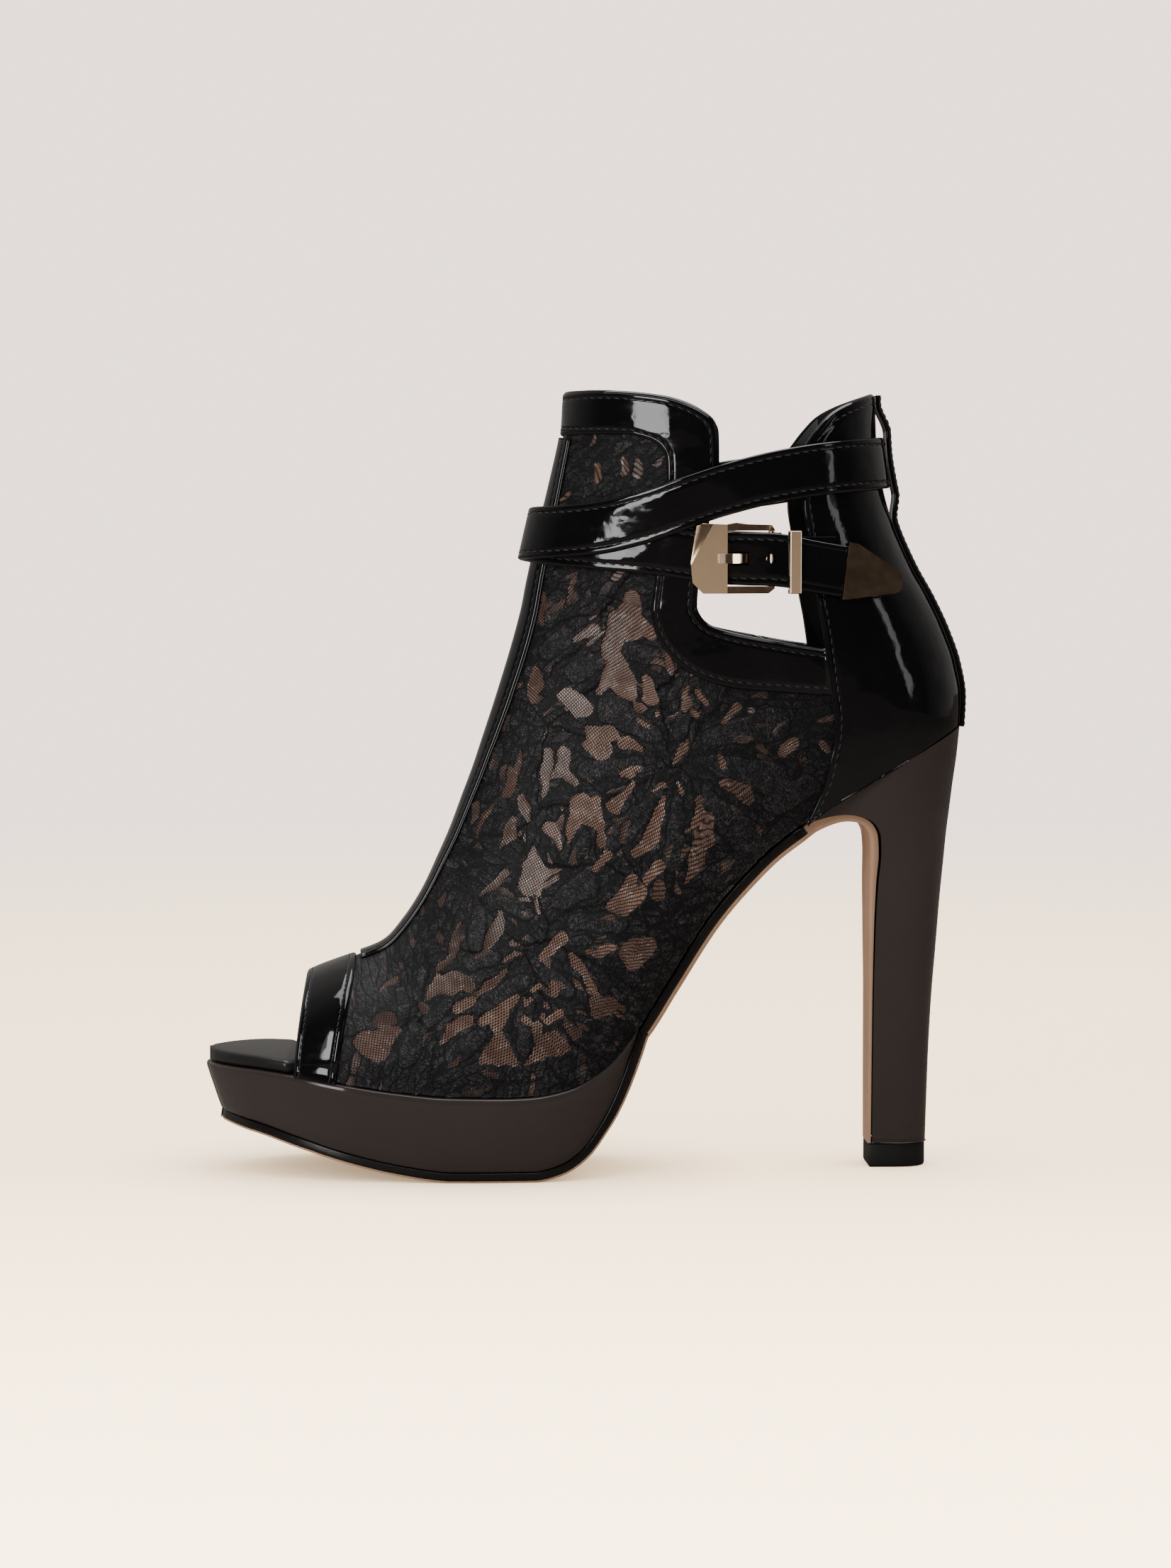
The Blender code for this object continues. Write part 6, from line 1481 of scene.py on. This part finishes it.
def make_lace():
    """Black floral lace: worked thread over tulle, with a glossy nude lining in its openings."""
    material, tree = new_material("lace")
    place = tree.place()
    opening, pale, petal = tree.split(tree.attribute("lace"))[:3]
    thread = tree.attribute("thread")
    cloth_u, cloth_v, _ = tree.split(tree.attribute("cloth"))[:3]
    ragged = tree.minus(tree.noise(place, 1100.0, 3.0), 0.5)
    worked = tree.step(tree.plus(opening, tree.times(ragged, 0.9)), -0.06, 0.16)

    # Worked thread: strands and knots, partly the thread's own speckle and partly painted sheen, with painted
    # highlight on the crowns of leaves and petals and painted shadow along the petal outlines
    fibre = tree.noise(tree.stretch(thread, (2.0, 0.75, 1.0)), 1.0, 2.0, 0.6)
    knots = tree.noise(place, 2600.0, 2.0, 0.6)
    patch = tree.noise(place, 260.0, 2.0)
    painted_sheen = tree.plus(tree.times(tree.step(fibre, 0.46, 0.66), 0.30),
                      tree.times(tree.step(knots, 0.53, 0.68), 0.70))
    border, leaf = tree.cells(tree.stretch(thread, (0.17, 0.38, 1.0)), 1.0)
    crown = tree.times(tree.step(border, 0.01, 0.17), tree.plus(0.35, tree.times(leaf, 0.65)))
    crown = tree.math("MAXIMUM", crown, tree.times(tree.step(petal, 0.10, -0.80), 0.75))
    painted_sheen = tree.times(painted_sheen, tree.plus(0.10, tree.times(crown, 0.90)),
                       tree.plus(0.35, tree.times(tree.step(patch, 0.30, 0.70), 0.65)),
                       tree.step(tree.math("ABSOLUTE", petal), 0.12, 0.42))
    black = tree.mix(painted_sheen, THREAD_DARK, THREAD_SHEEN)

    # Tulle over the nude lining, with small painted glints in some of its cells
    warp = tree.times(tree.minus(tree.noise(place, 480.0, 2.0), 0.5), 0.9)
    net_x = tree.plus(tree.math("DIVIDE", cloth_u, CELL_WIDTH), warp)
    net_y = tree.math("DIVIDE", cloth_v, CELL_HEIGHT)
    cell = tree.math("MINIMUM", hexagon(tree, net_x, net_y, 0.0, 0.0),
                     hexagon(tree, net_x, net_y, 0.5, HEX_ROW / 2.0))
    net = tree.step(cell, 0.27, 0.41)
    # The pale share lightens or darkens each window: partly the lining showing through, partly painted
    # highlight and shade
    nude = tree.mix(tree.step(patch, 0.35, 0.8), tree.mix(pale, NUDE_DARK, NUDE_PALE),
                    tree.mix(pale, NUDE_DARK, NUDE_LIGHT))
    painted_glints = tree.times(tree.step(cell, 0.30, 0.16), tree.step(tree.noise(place, 330.0, 3.0, 0.7), 0.57, 0.66))
    nude = tree.mix(tree.times(painted_glints, pale), nude, NUDE_GLINT)
    window = tree.mix(net, nude, THREAD_DARK)

    # Cells where the work is thin
    sheer = tree.times(tree.step(leaf, 0.80, 0.84), tree.step(border, 0.05, 0.11),
                       tree.step(tree.noise(place, 75.0, 1.0), 0.40, 0.55))
    worked = tree.times(worked, tree.minus(1.0, tree.times(sheer, 0.8)))

    raised = tree.plus(tree.times(worked, 0.55), tree.times(worked, fibre, 0.9),
                       tree.times(worked, knots, 0.5), tree.times(net, 0.22),
                       tree.times(worked, crown, 0.9))
    rough = tree.math("MAXIMUM", tree.ramp(worked, [(0.0, 0.24), (1.0, 0.50)]), tree.times(net, 0.5))
    bare = tree.times(tree.minus(1.0, worked), tree.minus(1.0, net))
    # Painted shade: the lace's colour blends towards the darkest thread colour towards the heel
    shade = tree.ramp(tree.split(place)[0], [(0.0, 1.0), (0.25, 1.0), (1.0, 0.42)], scale=1.0 / SHADE_REACH)
    colour = tree.mix(tree.minus(1.0, shade), tree.mix(worked, window, black), THREAD_DARK)
    tree.shader(Base_Color=colour, Roughness=rough, Normal=tree.bump((raised, 0.00022), strength=0.9),
                Coat_Weight=tree.times(bare, tree.times(pale, 0.30)), Coat_Roughness=0.16,
                Specular_IOR_Level=0.30)
    return material


def make_upper_shell():
    """Lining shell of the upper, set in a little under the lace."""
    surface = BVHTree.FromPolygons([Vector(point) for point in GUESS_POINTS.reshape(-1, 3)],
                                   grid_faces(*GUESS_TURNS.shape, True).tolist())
    places, faces = cad_mesh("upper")
    points = []
    for place in places:
        found, way, _, far = surface.find_nearest(place)
        if found is not None and far < SHELL_REACH:
            middle = Vector((place.x, 0.0, place.z))
            if way.dot(place - middle) < 0.0 and abs(place.y) > SHELL_INSET:
                way = -way
            place = place - way.normalized() * SHELL_INSET
        points.append(tuple(place))
    item = add_piece("upper_lining", points, faces, LINING, "upper", slot="padded_lining")
    item.data.set_sharp_from_angle(angle=math.radians(40.0))


LACE = make_lace()
make_upper_shell()
make_lace_skin("lace_outer", -1.0, 420, 150)
make_lace_skin("lace_inner", 1.0, 300, 110)


def seam_sides(x):
    """Places along the sole where the last's outer and inner sides meet the foot bed."""
    target = np.stack([x, foot_bed(x) + SEAM_LEVEL], axis=-1)
    good = np.ones(len(x), bool)
    sides = []
    for side in (-1, 1):
        s, t = locate(side_view, target, side, 24)
        found = ring_points(s, t)
        good &= np.linalg.norm(side_view(found) - target, axis=-1) < 5e-5
        sides.append(found[:, 1])
    return x[good], sides[0][good], sides[1][good]


def sole_places(start, end, tip_count, step):
    """Places along the sole: close together round the tip, then evenly spread."""
    turn = np.linspace(0.0, math.pi / 2.0, tip_count)
    tip = start + TIP_REACH * (1.0 - np.cos(turn))
    count = int((end - start - TIP_REACH) / step)
    return np.concatenate([tip, np.linspace(start + TIP_REACH, end, count + 1)[1:]])


def grown(x, outer, inner, ledge):
    """Outer and inner edge points moved outwards by a ledge, square to the outline."""
    result = []
    for y, sign in ((outer, -1.0), (inner, 1.0)):
        slope = np.gradient(y, x)
        size = np.hypot(1.0, slope)
        result.append((x - sign * ledge * slope / size, y + sign * ledge / size))
    return result


def platform_bottom(x):
    """Height of the top of the outsole."""
    block = curve_rows(PLATFORM_BLOCK, x / SHOE_LENGTH)[..., 1] * (PLATFORM_HEIGHT - OUTSOLE_THICKNESS)
    return np.maximum(OUTSOLE_THICKNESS, foot_bed(x) - block)


def toe_rake(x):
    """How far the sole's lower edge stands back near the toe tip."""
    return TOE_RAKE * np.maximum(0.0, 1.0 - (x - TOE_TIP * SHOE_LENGTH) / TOE_RAKE_LENGTH)


def nosed(loop):
    """Rows of a solid with its flat front end closed to a soft nose."""
    first = loop[0]
    middle = (first[:, 1].min() + first[:, 1].max()) / 2.0
    front = []
    for degrees in NOSE_TURNS:
        row = first.copy()
        row[:, 0] -= NOSE_DEPTH * math.sin(math.radians(degrees))
        row[:, 1] = middle + (first[:, 1] - middle) * math.cos(math.radians(degrees))
        front.append(row)
    return np.concatenate([np.array(front), loop])


def slab(name, edges, material, *nodes, slot):
    """Solid from rows along it: outer edge points low to high, then inner ones high to low."""
    outer, inner = (np.stack([edge[side] for edge in edges], axis=1) for side in (0, 1))
    return add_loop(name, nosed(np.concatenate([outer, inner[:, ::-1]], axis=1)), material, *nodes, slot=slot)


def make_platform():
    """Wrapped platform with soft edges, swelling a little between them."""
    start = (TOE_TIP + TIP_INSET) * SHOE_LENGTH
    x, outer, inner = seam_sides(sole_places(start, PLATFORM_END * SHOE_LENGTH, 26, 0.0016))
    edges = []
    for out, share in PLATFORM_PROFILE:
        ledge = PLATFORM_LEDGE + out
        sides = []
        for place, y in grown(x, outer, inner, ledge):
            low = platform_bottom(place) + GAP
            sides.append(np.stack([place + toe_rake(place) * (1.0 - share), y,
                                   low + (foot_bed(place) - low) * share], axis=-1))
        edges.append(sides)
    slab("platform_block", edges, WRAP, "platform", slot="platform_wrap")


def waist_share(x):
    """How far the sole has gone over from the forepart to the waist."""
    return np.clip((x / SHOE_LENGTH - WAIST_START) / WAIST_FADE, 0.0, 1.0)


def sole_path():
    """Top line of the outsole from the toe to the heel tip: x, z, thickness and half width or nan."""
    lip = BREAST_PLACE - LIP_LENGTH
    x = sole_places((TOE_TIP + TIP_INSET) * SHOE_LENGTH, lip, 26, 0.0018)
    thick = OUTSOLE_THICKNESS + (WAIST_THICKNESS - OUTSOLE_THICKNESS) * waist_share(x)
    front = np.stack([x, platform_bottom(x), thick, np.full(len(x), np.nan)], axis=1)
    table = np.array(HEEL_FRONT)
    knots = distances(np.stack([lip + LIP_LENGTH * table[:, 0], -table[:, 1] * HEEL_HEIGHT], axis=1))
    rows = curve_rows(table, np.linspace(0.0, knots[-1], 70), knots)
    x = lip + LIP_LENGTH * rows[:, 0]
    thick = FLAP_THICKNESS + (WAIST_THICKNESS - FLAP_THICKNESS) * rows[:, 3]
    rear = np.stack([x, foot_bed(x) - rows[:, 1] * HEEL_HEIGHT, thick, rows[:, 2] * HEEL_TIP_WIDTH], axis=1)
    foot = [[BREAST_PLACE, HEEL_TIP_HEIGHT + GAP, FLAP_THICKNESS, BREAST_HALF * HEEL_TIP_WIDTH]]
    return np.vstack([front, rear, foot])


def path_ways(path):
    """Unit vectors square to the sole's path, away from the foot."""
    run = unit(np.gradient(path[:, :2], axis=0))
    ways = np.stack([run[:, 1], -run[:, 0]], axis=1)
    ways[-1] = (-1.0, 0.0)
    return ways


def make_outsole():
    """Outsole in one sheet from the toe to the heel tip, with its blackened edge."""
    path = sole_path()
    ways = path_ways(path)
    x, z, thick, half = path.T
    seat = np.isnan(half)
    good_x, outer_y, inner_y = seam_sides(x[seat])
    waist = waist_share(x)
    taper = PLATFORM_TAPER - PLATFORM_LEDGE
    inset = taper * (1.0 - waist) + WAIST_INSET * waist
    outer = np.where(seat, np.interp(x, good_x, outer_y) + inset, -half)
    inner = np.where(seat, np.interp(x, good_x, inner_y) - inset, half)
    bevelled = np.where(seat, SOLE_BEVEL + WAIST_BEVEL * waist, WAIST_BEVEL * 0.5)
    tip = 1.0 - np.minimum((x - TOE_TIP * SHOE_LENGTH) / TIP_REACH, 1.0)
    shift = toe_rake(x) + taper * tip
    section = [(outer + bevelled * into, deep) for into, deep in SOLE_PROFILE]
    section += [(outer + bevelled + (inner - outer - 2.0 * bevelled) * share, 1.0)
                for share in (0.2, 0.4, 0.6, 0.8)]
    section += [(inner - bevelled * into, deep) for into, deep in SOLE_PROFILE[::-1]]
    loop = nosed(np.stack([np.stack([x + shift + ways[:, 0] * thick * deep, y,
                                     z + ways[:, 1] * thick * deep], axis=-1)
                           for y, deep in section], axis=1))
    item = add_loop("sole_leather", loop, SOLE, "outsole", slot="tan_sole")
    depth = np.array([deep for _, deep in section])
    border = SOLE_PAINT + (1.0 - waist) * FOREPART_PAINT
    black = (depth[None] < border[:, None]) & seat[:, None]
    paint = np.zeros(loop.shape)
    paint[..., 0] = np.vstack([np.repeat(black[:1], len(NOSE_TURNS), axis=0), black])
    add_vector(item, "paint", paint.reshape(-1, 3))


def make_heel():
    """Wrapped heel, cut to the seat above and to the sole's flap in front."""
    heights = np.linspace((HEEL_TIP_HEIGHT + GAP) / HEEL_HEIGHT, HEEL_LEVELS[-1][0], 64)
    rings = [heel_ring(*row) for row in curve_rows(HEEL_LEVELS, heights)]
    item = add_loop("heel_block", rings, WRAP, "heel", slot="platform_wrap")
    top_x = np.linspace(HEEL_TOP_START, HEEL_TOP_END, 60) * SHOE_LENGTH
    start = HEEL_CUT_START * SHOE_LENGTH
    high = COLLAR_HEIGHT * 1.2
    top = [(x, float(foot_bed(x))) for x in top_x]
    cut(item, "above", top + [(0.16, high), (start, high), (start, top[0][1])], -0.1, 0.1)
    path = sole_path()
    rear = ~np.isnan(path[:, 3])
    line = [tuple(point) for point in (path[:, :2] - path_ways(path) * GAP)[rear]]
    cut(item, "front", [(0.0, line[0][1])] + line + [(line[-1][0], -0.03), (0.0, -0.03)], -0.1, 0.1)
    bevel(item, 0.0004, 2, 50.0)
    item.data.set_sharp_from_angle(angle=math.radians(50.0))


def heel_ring(height, back, half, widest):
    """Level section of the heel."""
    turn = np.linspace(0.0, math.pi, HEEL_STEPS)
    back_x, widest_x = (BREAST_PLACE + share * HEEL_TIP_LENGTH for share in (back, widest))
    wide = half * HEEL_TIP_WIDTH
    front_x = BREAST_PLACE - LIP_LENGTH * HEEL_REACH
    x = widest_x + (back_x - widest_x) * np.sin(turn) ** HEEL_BACK_POWER
    y = -wide * np.sign(np.cos(turn)) * np.abs(np.cos(turn)) ** HEEL_SIDE_POWER
    sides = np.linspace(front_x, widest_x, 10)[:-1]
    first = np.stack([sides, -wide * (HEEL_SIDE_POWER + (1.0 - HEEL_SIDE_POWER)
                                      * (sides - front_x) / (widest_x - front_x))], axis=1)
    ring = np.vstack([first, np.stack([x, y], axis=1), first[::-1] * (1.0, -1.0)])
    return np.column_stack([ring, np.full(len(ring), height * HEEL_HEIGHT)])


def make_heel_tip():
    """Top piece under the heel, its edges eased in a little all round, most at the bottom."""
    ring = heel_ring(*HEEL_LEVELS[0])
    ring[:, 0] = np.maximum(ring[:, 0], BREAST_PLACE - HEEL_TIP_FRONT)
    middle = BREAST_PLACE + HEEL_TIP_MIDDLE * HEEL_TIP_LENGTH
    rows = []
    for z, inset in TOP_PIECE_PROFILE:
        scale = 1.0 - inset / (HEEL_TIP_WIDTH / 2.0)
        rows.append(np.column_stack([middle + (ring[:, 0] - middle) * scale, ring[:, 1] * scale,
                                     np.full(len(ring), z * HEEL_TIP_HEIGHT)]))
    add_loop("top_piece", rows, RUBBER, "heel_tip", slot="heel_rubber")


def make_insole():
    """Padded insole: wide in the open toe, then inside the upper to the heel."""
    toe_end = TOE_FRONT[-2][0] * SHOE_LENGTH - INSOLE_STEP
    toe = seam_sides(sole_places((TOE_TIP + TIP_INSET) * SHOE_LENGTH, toe_end, 26, 0.0015))
    end = INSOLE_END * SHOE_LENGTH
    spread = sole_places(toe_end + GAP, end, 16, 0.0030)
    rest = seam_sides(toe_end + GAP + end - spread[::-1])
    edges = []
    for up, into in PAD_PROFILE:
        parts = []
        for (x, outer, inner), ledge in ((toe, PLATFORM_LEDGE - INSOLE_TOE_INSET),
                                         (rest, -(UPPER_WALL + 3.0 * GAP))):
            sides = grown(x, outer, inner, ledge)
            roll = np.minimum(0.45 * INSOLE_THICKNESS, 0.20 * (sides[1][1] - sides[0][1]))
            moved = [sides[0][1] + roll * into, sides[1][1] - roll * into]
            parts.append([np.stack([place, y, foot_bed(place) + GAP + INSOLE_THICKNESS * up], axis=-1)
                          for (place, _), y in zip(sides, moved)])
        edges.append([np.vstack([parts[0][side], parts[1][side]]) for side in (0, 1)])
    item = slab("insole_pad", edges, LINING, "insole", slot="padded_lining")


make_platform()
make_outsole()
make_heel()
make_heel_tip()
make_insole()


PHOTO_HEIGHT = 2213
CAMERA_DISTANCE = 1.350
CAMERA_YAW = math.radians(2.5)
CAMERA_RISE = math.radians(3.5)
CAMERA_AIM = (0.0, 0.0, 0.1235)
FOCAL_PIXELS = 5926.5


def aimed(name, data, place, way):
    """Object in the scene that looks along a way."""
    item = bpy.data.objects.new(name, data)
    bpy.context.scene.collection.objects.link(item)
    item.location = place
    item.rotation_mode = "QUATERNION"
    item.rotation_quaternion = way.to_track_quat("-Z", "Y")
    return item


def make_camera():
    """Camera at the photograph's angle and distance."""
    data = bpy.data.cameras.new("camera")
    data.sensor_fit = "VERTICAL"
    data.sensor_height = 36.0
    data.lens = data.sensor_height * FOCAL_PIXELS / PHOTO_HEIGHT
    data.clip_start = 0.05
    data.clip_end = 60.0
    back = Vector((-math.sin(CAMERA_YAW) * math.cos(CAMERA_RISE),
                   -math.cos(CAMERA_YAW) * math.cos(CAMERA_RISE), math.sin(CAMERA_RISE)))
    aim = Vector(CAMERA_AIM) + Vector((MOVE_X, 0.0, 0.0))
    bpy.context.scene.camera = aimed("camera", data, aim + back * CAMERA_DISTANCE, -back)


def area_light(name, place, aim, size, power, only=None):
    """Soft box light at a place, turned to an aim, for a collection's pieces only if one is given."""
    data = bpy.data.lights.new(name, "AREA")
    data.shape = "RECTANGLE"
    data.size, data.size_y = size
    data.energy = power
    item = aimed(name, data, place, Vector(aim) - Vector(place))
    if only is not None:
        item.light_linking.receiver_collection = only


def make_floor():
    """Pale floor: cream near the shoe, fading to the backdrop's grey far behind; to the camera it glows with
    painted light, brighter towards the camera and dimmed near the shoe as a painted contact shadow.
    """
    mesh = bpy.data.meshes.new("floor")
    mesh.from_pydata([(FLOOR_HALF * x, FLOOR_HALF * y, 0.0) for x, y in SQUARE], [], [(0, 1, 2, 3)])
    item = bpy.data.objects.new("floor", mesh)
    bpy.context.scene.collection.objects.link(item)
    material, tree = new_material("floor")
    place = tree.place()
    distance = tree.node("VectorMath", {"operation": "LENGTH"}, place).outputs["Value"]
    fade = tree.ramp(distance, [(0.0, 0.0), (0.35, 0.0), (1.0, 1.0)], scale=1.0 / FADE_REACH)
    path = tree.node("LightPath").outputs
    seen, mirrored = path["Is Camera Ray"], path["Is Glossy Ray"]
    diffuse = tree.node("BsdfDiffuse", Color=tree.mix(mirrored, FLOOR_COLOUR, FLOOR_DARK))
    painted_glow_ramp = tree.ramp(tree.split(place)[1], [(0.0, 1.0), (1.0, FLOOR_LIFT / FLOOR_LIFT_NEAR)],
                          shift=LIFT_SPAN, scale=1.0 / LIFT_SPAN)
    # Painted contact shadow: ambient occlusion dims the floor's glow near the shoe
    hidden = tree.node("AmbientOcclusion", {"samples": 8}, Distance=SHADOW_REACH)
    painted_shadow_share = tree.ramp(hidden.outputs["AO"], [(0.0, 0.12), (0.55, 0.55), (1.0, 1.0)])
    lift = tree.node("Emission", Color=FLOOR_LIFT_COLOUR,
                     Strength=tree.times(painted_glow_ramp, painted_shadow_share, FLOOR_LIFT_NEAR, seen))
    near = tree.node("AddShader", (), diffuse.outputs[0], lift.outputs[0])
    unseen = tree.minus(FAR_GLOW, tree.times(mirrored, FAR_GLOW - FAR_MIRROR))
    glow = tree.node("Emission", Color=BACKDROP_COLOUR,
                     Strength=tree.plus(unseen, tree.times(seen, BACKDROP_GLOW - FAR_GLOW)))
    tree.join(tree.node("MixShader", (), fade, near.outputs[0], glow.outputs[0]).outputs[0], tree.surface)
    mesh.materials.append(material)


def make_world():
    """Pale backdrop to the eye, and a dimmer room to what the gloss reflects."""
    world = bpy.data.worlds.new("room")
    bpy.context.scene.world = world
    tree = Tree(world, "OutputWorld")
    depth = tree.split(tree.node("TexCoord").outputs["Generated"])[1]
    shade = tree.ramp(depth, [(0.35, ROOM_DARK), (0.75, ROOM_PALE)], shift=1.0, scale=0.5)
    room = tree.node("Background", Color=shade, Strength=ROOM_LIGHT)
    eye = tree.node("Background", Color=BACKDROP_COLOUR, Strength=BACKDROP_GLOW)
    seen = tree.node("LightPath").outputs["Is Camera Ray"]
    tree.join(tree.node("MixShader", (), seen, room.outputs[0], eye.outputs[0]).outputs[0], tree.surface)


FLOOR_COLOUR = (0.80, 0.74, 0.66)
FLOOR_DARK = (0.22, 0.20, 0.18)
# Colour and strengths of the painted glow the camera sees on the floor, stronger towards the camera
FLOOR_LIFT_COLOUR = (1.00, 0.74, 0.45)
FLOOR_LIFT = 3.2
FLOOR_LIFT_NEAR = 7.4
LIFT_SPAN = 0.60
SHADOW_REACH = 0.05
BACKDROP_COLOUR = (1.00, 0.830, 0.745)
BACKDROP_GLOW = 2.75
FAR_GLOW = 0.75
FAR_MIRROR = 0.10
ROOM_LIGHT = 0.36
ROOM_DARK = (0.07, 0.07, 0.075)
ROOM_PALE = (0.85, 0.80, 0.76)
FLOOR_HALF = 9.0
FADE_REACH = 1.6

make_camera()
make_floor()
make_world()
area_light("key", (-0.78, -1.00, 0.52), (0.0, 0.0, 0.14), (0.34, 0.80), 7.5)
area_light("side", (1.05, -0.62, 0.55), (0.02, 0.0, 0.12), (0.10, 0.55), 0.3)
area_light("top", (0.10, 0.10, 1.30), (0.0, 0.0, 0.1), (1.2, 1.0), 16.0)

METAL = bpy.data.collections.new("metal")
for item in (BUCKLE, PRONG, KEEPER_LOOP, TIP_CAP):
    METAL.objects.link(item)
area_light("metal_left", (-1.10, -0.30, 0.25), (0.05, 0.0, 0.20), (0.50, 0.90), 6.0, only=METAL)
area_light("metal_right", (1.10, -0.30, 0.25), (0.05, 0.0, 0.20), (0.50, 0.90), 6.0, only=METAL)
area_light("metal_front", (0.12, -1.28, 0.08), (0.05, 0.0, 0.20), (0.80, 0.30), 0.36, only=METAL)
area_light("metal_facet", (-0.205, -1.04, 0.29), (0.035, 0.0, 0.20), (0.18, 0.18), 1.2, only=METAL)

LOOKS = ((WRAP, ("platform", "heel")), (RUBBER, ("heel_tip",)), (TAN, ("outsole",)),
         (LINING, ("insole", "upper")), (GOLD, ("buckle_frame", "buckle_prong", "keeper", "strap_tip")),
         (PATENT, ("toe_band", "collar_band", "quarter", "throat_strip", "back_strip", "ankle_strap",
                   "chape_strap")))
for look, node_names in LOOKS:
    for node_name in node_names:
        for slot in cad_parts[node_name].material_slots:
            slot.material = look
